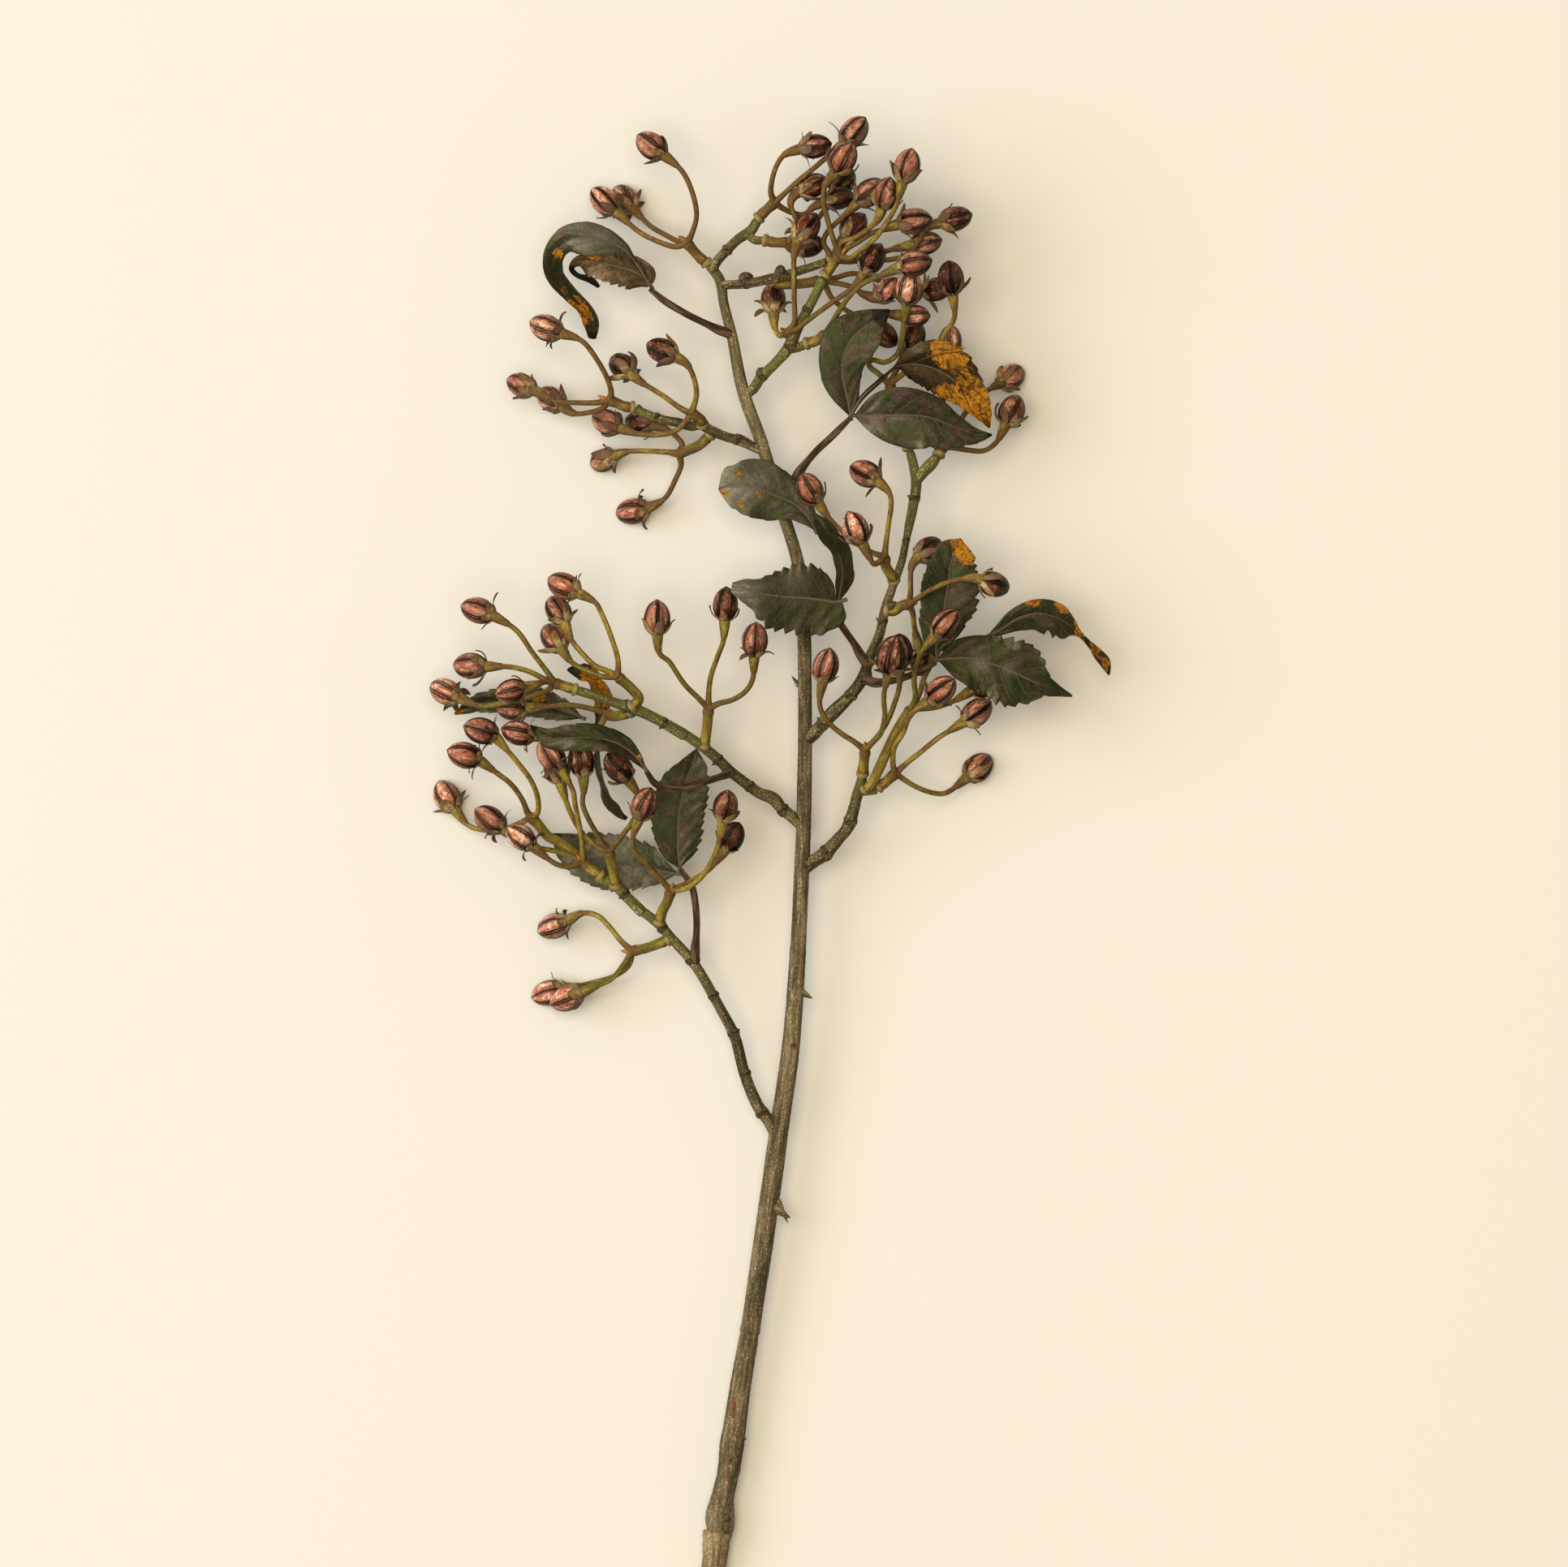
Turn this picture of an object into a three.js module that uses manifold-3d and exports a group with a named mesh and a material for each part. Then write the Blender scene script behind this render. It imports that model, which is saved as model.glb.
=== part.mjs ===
// Hypericum berry sprig, lying on a table: one woody stem, eight side branches, twigs that each
// carry two to four stalked capsules ("berries"), and compound leaves on their own stalks.
// Frame: millimetres, +Z up, the table is z = 0, the stem runs along +Y from its cut end.
// Every woody piece is a turned profile (a lathe) bent along its own curve, so thickness, collars
// and swellings live in the profile, and the route of the piece lives in the curve.
import * as THREE from "three";
import { mergeVertices } from "three/addons/utils/BufferGeometryUtils.js";
import Module from "manifold-3d";

// ---- driving dimensions ----
const GAP = 0.3; // clearance left between two pieces that meet
const STEM_SIDES = 8; // facets round the main stem
const BRANCH_SIDES = 6;
const TWIG_SIDES = 5;
const STALK_SIDES = 4; // facets round a fruit stalk

const TWIG_RADIUS = 2.1;
const COLLAR_RADIUS = 2.9; // ring where a twig slips over its stub
const COLLAR_LENGTH = 1.8;
const COLLAR_SLOPE = 0.3; // length over which the collar drops to the twig
const BUD_LENGTH = 4; // the pointed bud in the fork of a twig
const BUD_RADIUS = 0.9;

const STALK_RADIUS = 1.35; // slim part of a fruit stalk
const RECEPTACLE_RADIUS = 2.3; // swelling under the calyx
const RECEPTACLE_LENGTH = 9;
const RING_SPACING = 10; // between two rings of facets along a fruit stalk
const BERRY_LENGTH = 14.2;
const BERRY_RADIUS = 5.3;
const BERRY_SIDES = 6;
const BERRY_SEAT = 0.35; // a stalk ends inside its capsule, this share of its length below the middle

const PETIOLE_RADIUS = 1.5;
const SHEATH_RADIUS = 2.0; // the sleeve over the foot of a leaf stalk
const LEAF_THICKNESS = 0.8;

// Profile of one capsule: [distance from its foot / length, radius / widest radius].
const BERRY_PROFILE = [[0, 0], [0.13, 0.75], [0.5, 1.03], [0.87, 0.65], [1, 0]];

// ---- routes, in millimetres ----
// A stem or branch point is [x, y, z, radius]; a twig or petiole point is [x, y, z].
// A fruit is its stalk's points after the fork, with the calyx last but one and the middle of
// the capsule last, which may carry a size factor.
// A leaf station is [x, y, z, left half-width, right half-width, roll in degrees], foot to tip.
const STEM_BASE = [
  [-35, -332, 5.3, 5.1], [-31, -305, 5.8, 5.2], [-27.5, -280, 6.6, 4.9], [-23.5, -262, 7.5, 5],
  [-22.5, -251.5, 8, 5.8], [-22, -248, 8.1, 5.9],
];
const MAIN_STEM = [
  [-22, -252.5, 8.1, 3.3], [-21.5, -250, 8.2, 4.4], [-21, -246.5, 8.4, 5.7], [-21, -242, 8.6, 6],
  [-20.5, -237.5, 8.7, 5.3], [-20, -234.5, 8.8, 4.75], [-17.5, -223.5, 9.3, 4.6],
  [-16, -211.5, 9.7, 4.9], [-15, -205, 9.8, 4.6], [-12, -185, 10.6, 4.2], [-8.5, -164.5, 11.4, 4],
  [-1.5, -118.5, 13, 4.1], [3.5, -81.5, 14.6, 3.9], [8.5, -45, 16.6, 3.6], [11.5, -1.5, 19, 3.2],
  [13.5, 48.5, 22, 3], [14, 98.5, 25, 2.8], [13.5, 125, 26.6, 2.8], [11.5, 148.5, 28, 2.6],
  [3.5, 175, 29, 2.5], [-3.5, 198.5, 29.4, 2.5], [-11.5, 221.5, 29.8, 2.5], [-16, 243.5, 30.4, 2.2],
  [-19.5, 257.5, 31, 2], [-20.5, 265, 31.4, 2.1], [-22.5, 269, 31.8, 2], [-25.5, 272.5, 32, 1.9],
];

const GROUPS = {
  low_left: {
    branch: [
      [2.5, -85, 14.4, 2.7], [-0.5, -79.5, 15, 2.6], [-5.5, -72.5, 16, 2.4], [-10.5, -60.5, 17.5, 2.2],
      [-15, -44, 19, 2.2], [-21.5, -31.5, 21, 2.1], [-31.5, -14.5, 24, 2.1], [-41, -3.5, 27, 2],
      [-46, 2, 28, 2], [-53, 7.5, 29, 1.9],
    ],
    ext: [[-52.5, 6.5, 28.8, 2.3], [-58.5, 12.5, 30, 2.2], [-63.5, 17.5, 31, 2.1], [-68.5, 20.5, 31.6, 2.2]],
    twigs: [
      {
        stalk: [[-41.5, -4, 26.5], [-47.5, -6.5, 25], [-52, -8, 24], [-57, -9, 23]],
        fruits: [
          [
            [-61.5, -5, 22.5], [-66.5, 1, 20], [-71.5, 5.5, 18], [-77.5, 6.5, 16.5], [-82.5, 3.5, 15],
            [-89.5, 1, 12.5, 0.98],
          ],
          [
            [-60.5, -14.5, 21.5], [-65.5, -20.5, 19], [-70.5, -23, 17], [-76.5, -25.5, 15.5],
            [-84, -28.5, 14.5],
          ],
          [
            [-58.5, -15, 18], [-64.5, -19.5, 12], [-70.5, -21.5, 8.5], [-78.5, -23.5, 7],
            [-85.5, -24.5, 6.2], [-92, -26.5, 5.5, 0.95],
          ],
        ],
      },
      {
        stalk: [[-46, 2.5, 28.5], [-44.5, 7.5, 32], [-42.5, 11.5, 35], [-41, 16, 38]],
        fruits: [
          [
            [-46, 21.5, 42], [-51.5, 27.5, 47], [-55.5, 32.5, 50.5], [-56.5, 37, 53.5], [-54.5, 44, 57],
            [-51.5, 51.5, 60],
          ],
          [
            [-34.5, 17, 41], [-28.5, 21.5, 44.5], [-24.5, 27.5, 48.5], [-22, 33.5, 51.5],
            [-20.5, 39.5, 54], [-19.5, 44.5, 56], [-18.5, 50.5, 58, 0.95],
          ],
          [
            [-33.5, 19.5, 36.5], [-25.5, 24.5, 37], [-21.5, 29, 38.5], [-18.5, 33, 40.5],
            [-16, 38, 43, 0.95],
          ],
        ],
      },
      {
        stalk: [[-69.5, 21.5, 32.2], [-71.5, 23, 32.6], [-77, 27.5, 33]],
        fruits: [
          [[-81.5, 26, 34.5], [-87.5, 26.5, 35.5], [-95.5, 32.5, 36.5], [-102.5, 38, 37.5, 0.95]],
          [[-86, 31.5, 31], [-93.5, 33, 29], [-100.5, 34.5, 27], [-108, 39.5, 26], [-115.5, 45, 25]],
          [[-77.5, 37, 42], [-80, 50.5, 48.5], [-81, 57, 51.5], [-85, 64.5, 53.5], [-90, 71.5, 55]],
        ],
      },
      {
        stalk: [[-63.5, 17.5, 32], [-64.5, 23.5, 36], [-66.5, 32, 40]],
        fruits: [
          [
            [-69.5, 36.5, 43], [-74, 44, 47.5], [-77, 51.5, 50.5], [-76.5, 57.5, 52], [-76.5, 63.5, 53],
            [-77.5, 69.5, 53.5],
          ],
          [
            [-70.5, 33.5, 38], [-77, 39, 36], [-82, 47.5, 37.5], [-85.5, 57.5, 40.5], [-86.5, 61, 41],
            [-88, 66.5, 41, 0.95],
          ],
          [
            [-64, 34.5, 42], [-60.5, 39, 43.5], [-56.5, 44.5, 45], [-53.5, 51.5, 46], [-55, 56.5, 47.5],
            [-58.5, 61.5, 49.5], [-62.5, 66.5, 51.5],
          ],
        ],
      },
      {
        stalk: [
          [-64, 18, 28.4], [-67.5, 19.5, 24.8], [-73.5, 25, 24], [-79.5, 30, 24], [-86.5, 35.5, 24.2],
          [-91.5, 38, 24.5], [-96, 43.5, 26], [-98.5, 46, 27],
        ],
        fruits: [
          [
            [-96, 47.5, 30.5], [-95.5, 53, 35], [-98, 60.5, 41], [-102.5, 67, 45], [-113, 80, 48.5],
            [-118.5, 81.5, 49.5],
          ],
          [
            [-100, 48, 28], [-102, 53, 31], [-106.5, 59.5, 34.5], [-111.5, 63.5, 37],
            [-118.5, 69.5, 39.5], [-125.5, 71.5, 41],
          ],
          [
            [-104.5, 43, 21], [-112.5, 40.5, 15], [-120, 41, 12], [-124.5, 42.5, 10],
            [-129.5, 47.5, 7.5], [-133.5, 54.5, 5.5],
          ],
        ],
      },
    ],
    petiole: [
      [-31.5, -13.5, 24.4], [-31, -6.5, 27.5], [-30.5, 1.5, 29.5], [-31, 10, 30.3], [-32.5, 17.5, 31],
      [-36.5, 23.5, 31.6],
    ],
    leaves: [
      [
        [-37.5, 25.5, 31.8, 0.6, 0.6, 0], [-38, 30, 32.2, 6, 6, 0], [-38, 38.5, 33.2, 10, 10, -8],
        [-37.5, 48.5, 34.8, 12, 10.5, -14], [-35.5, 58.5, 36.4, 10.5, 10.5, -10],
        [-32.5, 67.5, 37.6, 5, 7, 0], [-30.5, 74, 38.4, 0.4, 0.4, 0],
      ],
      [
        [-39, 23, 31.2, 0.6, 0.6, 0], [-45, 24, 29.5, 5.5, 5, 0], [-51.5, 25.5, 25.5, 9.5, 9.5, 6],
        [-61.5, 27, 20.5, 12, 11, 6], [-73.5, 30, 15.5, 11, 10, 6], [-82.5, 34, 13, 8, 6, 0],
        [-90, 39, 11, 0.4, 0.4, 0],
      ],
    ],
  },
  mid_left: {
    branch: [
      [13.5, 42, 21.6, 2.5], [9.5, 45.5, 22, 2.5], [4.5, 49.5, 22.6, 2.4], [1, 53.5, 23.4, 2.7],
      [-5, 56, 24.6, 2.3], [-10.5, 60, 26.5, 2.2], [-17, 65, 28.8, 2.2], [-21.5, 69.5, 31, 2.1],
      [-27.5, 74.5, 34, 2.1], [-36, 80.5, 37.5, 2],
    ],
    ext: [
      [-35, 79.5, 37, 2.5], [-44.5, 85, 41, 2.2], [-51.5, 88.5, 44, 2.2], [-57.5, 91, 46.6, 2.4],
      [-62.5, 92.5, 48, 2], [-69.5, 95, 50, 1.9], [-79.5, 98, 52, 1.9],
    ],
    twigs: [
      {
        stalk: [[-27.5, 74.5, 34], [-26.5, 80.5, 36.5], [-26, 85.5, 38.5], [-25.5, 90.5, 40.5]],
        fruits: [
          [
            [-30, 95, 43], [-35.5, 100.5, 46], [-41.5, 109.5, 50], [-45.5, 113, 51.5],
            [-46.5, 119.5, 52.5], [-46.5, 127.5, 53],
          ],
          [
            [-25.5, 96.5, 42.5], [-24.5, 104, 46.5], [-21.5, 112.5, 50.5], [-19.5, 118, 52.5],
            [-19, 124.5, 53.5], [-18.5, 133, 54, 0.97],
          ],
          [
            [-21.5, 92.5, 41.5], [-16, 94, 42.5], [-10.5, 97.5, 44.5], [-7.5, 102.5, 46.5],
            [-7, 110.5, 49], [-6.5, 118.5, 51],
          ],
        ],
      },
      {
        stalk: [[-57, 91, 48], [-54, 94.5, 50.5], [-56.5, 98, 52], [-62.5, 103.5, 55]],
        fruits: [
          [
            [-62.5, 110.5, 58], [-65.5, 120.5, 61], [-69, 129, 62], [-71.5, 133.5, 62],
            [-77.5, 137, 60.5], [-84.5, 140.5, 58.5],
          ],
          [
            [-67.5, 106, 56], [-72, 108, 57], [-78.5, 114.5, 58], [-81.5, 118.5, 57.5],
            [-83.5, 124.5, 55.5], [-87, 130.5, 52.5, 0.95],
          ],
          [
            [-68.5, 103.5, 53.5], [-74.5, 105.5, 52], [-81.5, 109.5, 49.5], [-85, 114, 46.5],
            [-89, 119.5, 42, 0.97],
          ],
        ],
      },
      {
        stalk: [[-79.5, 98, 52.2], [-84, 99.5, 53], [-88.5, 101, 54]],
        fruits: [
          [
            [-91, 105, 56.5], [-97.5, 113.5, 60.5], [-104, 122.5, 62.5], [-112.5, 128.5, 61.5],
            [-119.5, 130.5, 60],
          ],
          [
            [-92.5, 102.5, 54], [-98.5, 105.5, 52], [-106.5, 107.5, 50], [-115.5, 107.5, 47.5],
            [-123, 108, 45],
          ],
          [
            [-90.5, 98.5, 51.5], [-100.5, 94.5, 46.5], [-111, 92.5, 41.5], [-118.5, 91.5, 38],
            [-126, 94, 34.5], [-133.5, 97.5, 31],
          ],
          [[-92, 101.5, 57], [-95, 100.5, 60], [-99.5, 99.5, 62.5], [-106, 97.5, 64, 0.9]],
        ],
      },
      {
        stalk: [[-57, 89.5, 45], [-60.5, 88, 42], [-64.5, 87.5, 40.5], [-67.5, 88.5, 40]],
        fruits: [
          [[-74, 90.5, 41], [-82.5, 92, 40], [-90, 91.5, 36], [-99, 90.5, 34], [-106, 90.5, 33, 0.9]],
          [
            [-70, 83.5, 40], [-76, 79.5, 41.5], [-84, 78.5, 43], [-96, 78.5, 45],
            [-103.5, 80.5, 46, 0.95],
          ],
        ],
      },
    ],
    petiole: [
      [-17, 64.5, 29.5], [-18.5, 63.5, 36], [-22.5, 62, 42], [-27.5, 60.5, 46.5], [-36, 58, 49],
      [-43.5, 58, 52.5], [-48, 60.5, 55], [-50, 63.5, 56.5],
    ],
    leaves: [
      [
        [-51.5, 66, 57.5, 0.6, 0.6, 0], [-56, 71.5, 59.5, 3, 3, 20], [-62.5, 76, 61.5, 5, 5.5, 25],
        [-71.5, 78.5, 63, 6, 6, 20], [-81.5, 78.5, 63, 5.5, 5.5, 10], [-90, 78.5, 61.5, 4.5, 4, 0],
        [-98, 83.5, 59, 0.4, 0.4, 0],
      ],
      [
        [-71, 74.5, 47, 0.5, 0.5, 70], [-70.5, 68.5, 44, 4, 4, 72], [-68.5, 59, 40, 4.5, 4.5, 70],
        [-64.5, 50.5, 37, 4, 4, 65], [-59, 45.5, 35, 0.4, 0.4, 60],
      ],
      [
        [-72, 82, 35, 0.5, 0.5, 60], [-70.5, 88.5, 34.5, 4, 4, 55], [-69.5, 95.5, 35, 5, 5, 50],
        [-73, 103, 36, 4.5, 4.5, 40], [-78.5, 105.5, 37, 3.5, 3.5, 20], [-83.5, 106.5, 37, 0.4, 0.4, 0],
      ],
      [
        [-78, 87, 31, 0.5, 0.5, 0], [-85, 89.5, 28.5, 4.5, 4.5, 10], [-96.5, 92.5, 25.5, 6, 6, 15],
        [-108.5, 93.5, 23, 5.5, 5.5, 15], [-120, 93, 20.5, 4, 4, 0], [-130, 88.5, 18, 0.4, 0.4, 0],
      ],
    ],
  },
  low_right: {
    branch: [
      [13.5, 25, 20, 2.8], [17.5, 28, 20.8, 2.8], [22.5, 31.5, 22, 2.9], [28, 37.5, 24.2, 2.4],
      [31, 41, 25.8, 2.4], [32, 43, 26.5, 2.6], [34, 49.5, 29, 2.3], [35.5, 55.5, 31, 2.3],
      [36.5, 58.5, 32, 2.3], [37.5, 63, 34.6, 2.1],
    ],
    side: [[35.5, 56.5, 31.3, 2.1], [39.5, 57, 31.6, 2], [43.5, 57.5, 31.9, 2]],
    twigs: [
      {
        stalk: [[37.5, 63.5, 35], [38, 69, 39.5], [38.5, 73.5, 42.5]],
        fruits: [
          [
            [34, 77, 44.5], [28.5, 80.5, 46], [23, 85.5, 47.5], [20, 91.5, 48.5], [20.5, 99.5, 50.5],
            [22.5, 108, 52],
          ],
          [
            [42.5, 77.5, 47], [45, 80.5, 51], [46.5, 88, 58], [46, 95, 63], [47.5, 103.5, 68],
            [49.5, 112, 72, 1.2],
          ],
          [
            [43.5, 79, 43.5], [47.5, 85, 44], [50.5, 92.5, 46], [52.5, 99.5, 50], [52.5, 106.5, 53],
            [52.5, 114, 56],
          ],
        ],
      },
      {
        stalk: [[43.5, 58, 32], [47, 60.5, 32.6], [51, 64, 34]],
        fruits: [
          [
            [50, 67.5, 37.5], [50.5, 74.5, 42.5], [54, 80.5, 47], [57, 87.5, 50.5], [64.5, 94, 55],
            [69.5, 98, 57.5],
          ],
          [
            [56, 68.5, 35.5], [61, 72.5, 37], [68.5, 78.5, 38], [72.5, 81, 37.5], [79.5, 85, 36],
            [84.5, 89, 34.5],
          ],
          [
            [54.5, 61.5, 29.5], [59.5, 58.5, 25], [66.5, 56, 19.5], [72, 56, 14.5], [80, 61.5, 9],
            [85.5, 66.5, 5.5],
          ],
        ],
      },
      {
        stalk: [
          [38.5, 57.5, 32.6], [41, 59.5, 36], [44.5, 66.5, 37], [48, 74.5, 37.5], [53, 84, 39],
          [57.5, 90.5, 42],
        ],
        fruits: [
          [
            [59, 95, 47.5], [58.5, 103, 55.5], [60.5, 111.5, 62.5], [63, 115.5, 65.5],
            [66.5, 119.5, 67.5], [71.5, 125, 69.5],
          ],
          [
            [60.5, 96, 44.5], [62.5, 102.5, 42.5], [65.5, 109, 41], [67.5, 114.5, 40],
            [70, 120.5, 39, 0.9],
          ],
          [
            [61.5, 90.5, 44], [67.5, 91, 42], [74.5, 93.5, 40], [80.5, 97.5, 38.5], [87, 100.5, 37, 0.9],
          ],
        ],
      },
    ],
  },
  high_right: {
    branch: [
      [13.5, 77, 23.6, 2.6], [17, 79.5, 24.8, 2.7], [20.5, 83.5, 26.5, 2.6], [25, 88.5, 28.6, 2.9],
      [32.5, 96, 33, 2.4], [37.5, 103, 37, 2.4], [40.5, 111.5, 41, 2.2], [44.5, 121, 44, 2],
      [46.5, 130.5, 46, 1.9], [49.5, 139.5, 47, 1.8], [53.5, 151, 47, 1.6], [55.5, 160.5, 46.4, 1.5],
      [56.5, 165.5, 46, 1.9], [58, 172.5, 45.5, 2.1], [59.5, 182.5, 45, 2.2], [58.5, 189.5, 43, 2],
      [57, 195.5, 40.5, 1.9],
    ],
    side: [[59.5, 183.5, 45, 2], [62.5, 187.5, 44, 2.3], [65.5, 190.5, 42.5, 2.4], [68, 193.5, 41, 1.9]],
    twigs: [
      {
        stalk: [[50.5, 142.5, 47.3], [49.5, 144.5, 49.5], [47, 148.5, 52.5], [46.5, 152.5, 54.5]],
        fruits: [
          [
            [47, 158.5, 57.5], [48, 166, 60], [49, 173, 61], [48.5, 178, 60.5], [45, 183, 58],
            [38.5, 186.5, 54.5],
          ],
          [[44.5, 150.5, 57.5], [42, 149.5, 59], [40, 152.5, 60], [37.5, 157.5, 61], [34.5, 164, 61.5]],
          [
            [42, 154, 50.5], [33.5, 159, 45], [27.5, 164.5, 42], [23, 169.5, 41.5], [19.5, 174.5, 42.5],
            [16, 180.5, 44, 0.97],
          ],
        ],
      },
      {
        stalk: [[46.5, 130.5, 47], [50.5, 130.5, 47.7], [53.5, 132.5, 49], [56.5, 133, 50.5]],
        fruits: [
          [
            [57, 137.5, 54], [57, 143, 56.5], [57.5, 148.5, 56.5], [59.5, 152.5, 54],
            [64.5, 155.5, 50.5, 0.95],
          ],
          [
            [61.5, 136.5, 58], [66.5, 139.5, 62], [74, 142.5, 65.5], [82.5, 143.5, 67.5],
            [86.5, 142.5, 68.5], [91, 141, 66, 0.95],
          ],
          [[58, 129.5, 47], [58.5, 125, 43.5], [59.5, 120, 40], [60.5, 116, 38], [61.5, 110, 36, 0.9]],
        ],
      },
      {
        stalk: [[68.5, 194, 40.5], [69.5, 196.5, 39], [71, 198, 38]],
        fruits: [
          [
            [75, 197.5, 36.5], [81.5, 196.5, 33], [87.5, 196.5, 29.5], [92.5, 200, 26], [96, 206, 23],
            [99, 213, 20],
          ],
          [
            [74.5, 203.5, 33], [81, 213.5, 26], [88.5, 221, 18.5], [93, 223.5, 12],
            [99, 227.5, 5.7, 0.95],
          ],
          [
            [70.5, 204, 35], [70.5, 215, 33], [71.5, 226.5, 32], [73, 235, 31.5],
            [73.5, 241.5, 31.5, 0.9],
          ],
        ],
      },
      {
        stalk: [[56.5, 196.5, 40], [54.5, 205, 37], [51.5, 215, 35], [48.5, 223.5, 34.5]],
        fruits: [
          [
            [44.5, 227.5, 34], [40, 231.5, 34], [41.5, 233.5, 34.5], [46.5, 232.5, 36],
            [51.5, 235.5, 38.5], [53.5, 241.5, 42], [54.5, 248.5, 43.5], [55.5, 255.5, 46],
            [56.5, 262.5, 48],
          ],
          [
            [54, 227.5, 35.5], [61, 232.5, 37], [68.5, 238.5, 39.5], [71.5, 244.5, 42.5],
            [75, 250.5, 44.5], [74.5, 258.5, 47.5], [73.5, 266.5, 50.5],
          ],
          [[51.5, 229.5, 31.5], [54, 234, 29.5], [56.5, 238, 29], [58.5, 243, 29, 0.9]],
        ],
      },
    ],
    petiole: [
      [37.5, 103, 38.5], [42.5, 101, 40], [48, 101.5, 42.5], [54, 103, 45], [60.5, 105.5, 47.5],
      [66, 108.5, 49.3],
    ],
    petiole2: [
      [39.5, 108.5, 40.5], [37.5, 111, 42.5], [34, 117, 45.5], [30.5, 122, 48.5], [27.5, 127, 50.5],
      [27, 132.5, 51.5],
    ],
    leaves: [
      [
        [67.5, 111.5, 50.3, 0.6, 0.6, 0], [67.5, 116.5, 51.5, 5, 4, 0], [69.5, 123.5, 53, 9, 8, 0],
        [71, 132.5, 54.3, 10, 12.5, 0], [72.5, 141.5, 55.1, 11, 12.5, 5],
        [73.5, 149.5, 55.6, 9, 10.5, 5], [75.5, 155.5, 55.2, 6, 8, 0], [77.5, 160, 54.6, 1.5, 3, 0],
      ],
      [
        [68.5, 110.5, 49, 0.6, 0.6, 0], [74, 111, 48.5, 6, 7, 0], [81.5, 111, 48, 9, 11, -8],
        [91.5, 108.5, 47.5, 12, 13.5, -10], [100, 105, 46.8, 13, 14.5, -6],
        [107.5, 101.5, 45.8, 10, 10, -3], [112.5, 99.5, 45, 4.5, 4.5, 0], [123.5, 95.5, 43, 0.4, 0.4, 0],
      ],
      [
        [89.5, 120.5, 41, 0.6, 0.6, 0], [94, 123, 42.5, 2.5, 2.5, 15], [101, 127.5, 45, 4.5, 6, 25],
        [109, 129.5, 46, 5.5, 7, 15], [117.5, 127.5, 44.5, 6, 7.5, -5],
        [122.5, 124.5, 42, 3.5, 6.5, -15], [126, 121.5, 39.5, 1.4, 1.6, -20],
        [130, 117.5, 36, 1.2, 1.2, -20], [134, 113, 30, 2.2, 2.2, -30], [137.5, 108.5, 26, 3, 2.2, -30],
        [139, 104.5, 24, 0.8, 0.8, -30],
      ],
      [
        [29, 134.5, 52.4, 5.5, 0.6, 0], [27, 134, 52.8, 9.5, 1.2, 0], [23.5, 134.5, 53.2, 13, 8, 0],
        [15, 135.5, 54.5, 14.5, 14, -5], [6.5, 136, 56, 14, 13, -8], [-1.5, 137, 57.5, 12.5, 9, -4],
        [-6.5, 138, 58.2, 6.8, 5.5, 0], [-11.5, 139.5, 58.7, 4.6, 3.8, 0], [-16, 140.5, 59, 2.4, 1.4, 0],
      ],
      [
        [27, 134, 51, 0.5, 0.5, 50], [28.5, 141, 49.5, 5, 5, 55], [29, 147.5, 49, 7, 7, 58],
        [27, 155, 49, 8, 8, 55], [23, 162, 48.5, 6, 6, 45], [17, 171, 47.5, 0.4, 0.4, 30],
      ],
      [
        [18, 164, 37.4, 0.5, 0.5, 0], [15, 169, 36.8, 4, 4, 0], [9.5, 174.5, 36.2, 7.5, 7.5, 0],
        [1.5, 178, 36.2, 11, 11, 4], [-7.5, 181, 37, 12, 12, 6], [-15.5, 181.5, 37.5, 9, 8.5, 0],
        [-21.5, 180.5, 37, 0.4, 0.4, 0],
      ],
    ],
  },
  high_left: {
    branch: [
      [-3.5, 196.5, 29.4, 2], [-8, 198.5, 29.6, 2], [-12, 200.5, 30, 2.3], [-16, 201.5, 30.4, 2],
      [-19.5, 202.5, 31, 2], [-24, 204.5, 31.5, 2], [-29.5, 207, 32, 1.9], [-32.5, 206.5, 32, 2],
      [-38.5, 208, 32, 1.9], [-44, 209, 32, 1.8], [-53.5, 212.5, 32, 1.8], [-55.5, 214, 32.3, 2.2],
    ],
    twigs: [
      {
        stalk: [[-28, 206.5, 33], [-29, 209, 35.5], [-32.5, 211.5, 37.5]],
        fruits: [
          [
            [-30.5, 219.5, 41.5], [-32, 227, 45], [-34.5, 231.5, 46.5], [-40, 235, 46.5],
            [-44.5, 237, 45.5, 0.95],
          ],
          [
            [-36, 213, 38.5], [-44, 218.5, 39.5], [-53.5, 224.5, 39.5], [-58, 228, 39],
            [-61, 231, 35, 0.95],
          ],
          [
            [-36, 207, 36.5], [-40, 204, 32], [-48, 203, 27], [-54.5, 203.5, 24], [-60.5, 204.5, 21],
            [-67.5, 208.5, 18, 0.95],
          ],
        ],
      },
      {
        stalk: [[-56, 214, 32.6], [-60, 214.5, 33], [-63.5, 216, 33.5], [-66.5, 217, 34]],
        fruits: [
          [
            [-65.5, 219.5, 36], [-66.5, 224.5, 39], [-71, 233, 43], [-77.5, 241, 45.5],
            [-84.5, 243.5, 44.5], [-92, 246.5, 42.5],
          ],
          [
            [-71.5, 216, 33.5], [-80.5, 216, 32.5], [-87.5, 216.5, 31], [-96.5, 221, 28.5],
            [-102.5, 223.5, 26.5, 0.9],
          ],
          [
            [-69, 214, 30], [-76, 212, 25.5], [-81, 212, 22], [-84.5, 214, 19.5],
            [-90.5, 218, 15.5, 0.95],
          ],
        ],
      },
      {
        stalk: [[-24.5, 203.5, 30], [-28.5, 199.5, 27.5], [-31, 198, 26.5], [-38, 195.5, 24]],
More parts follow.
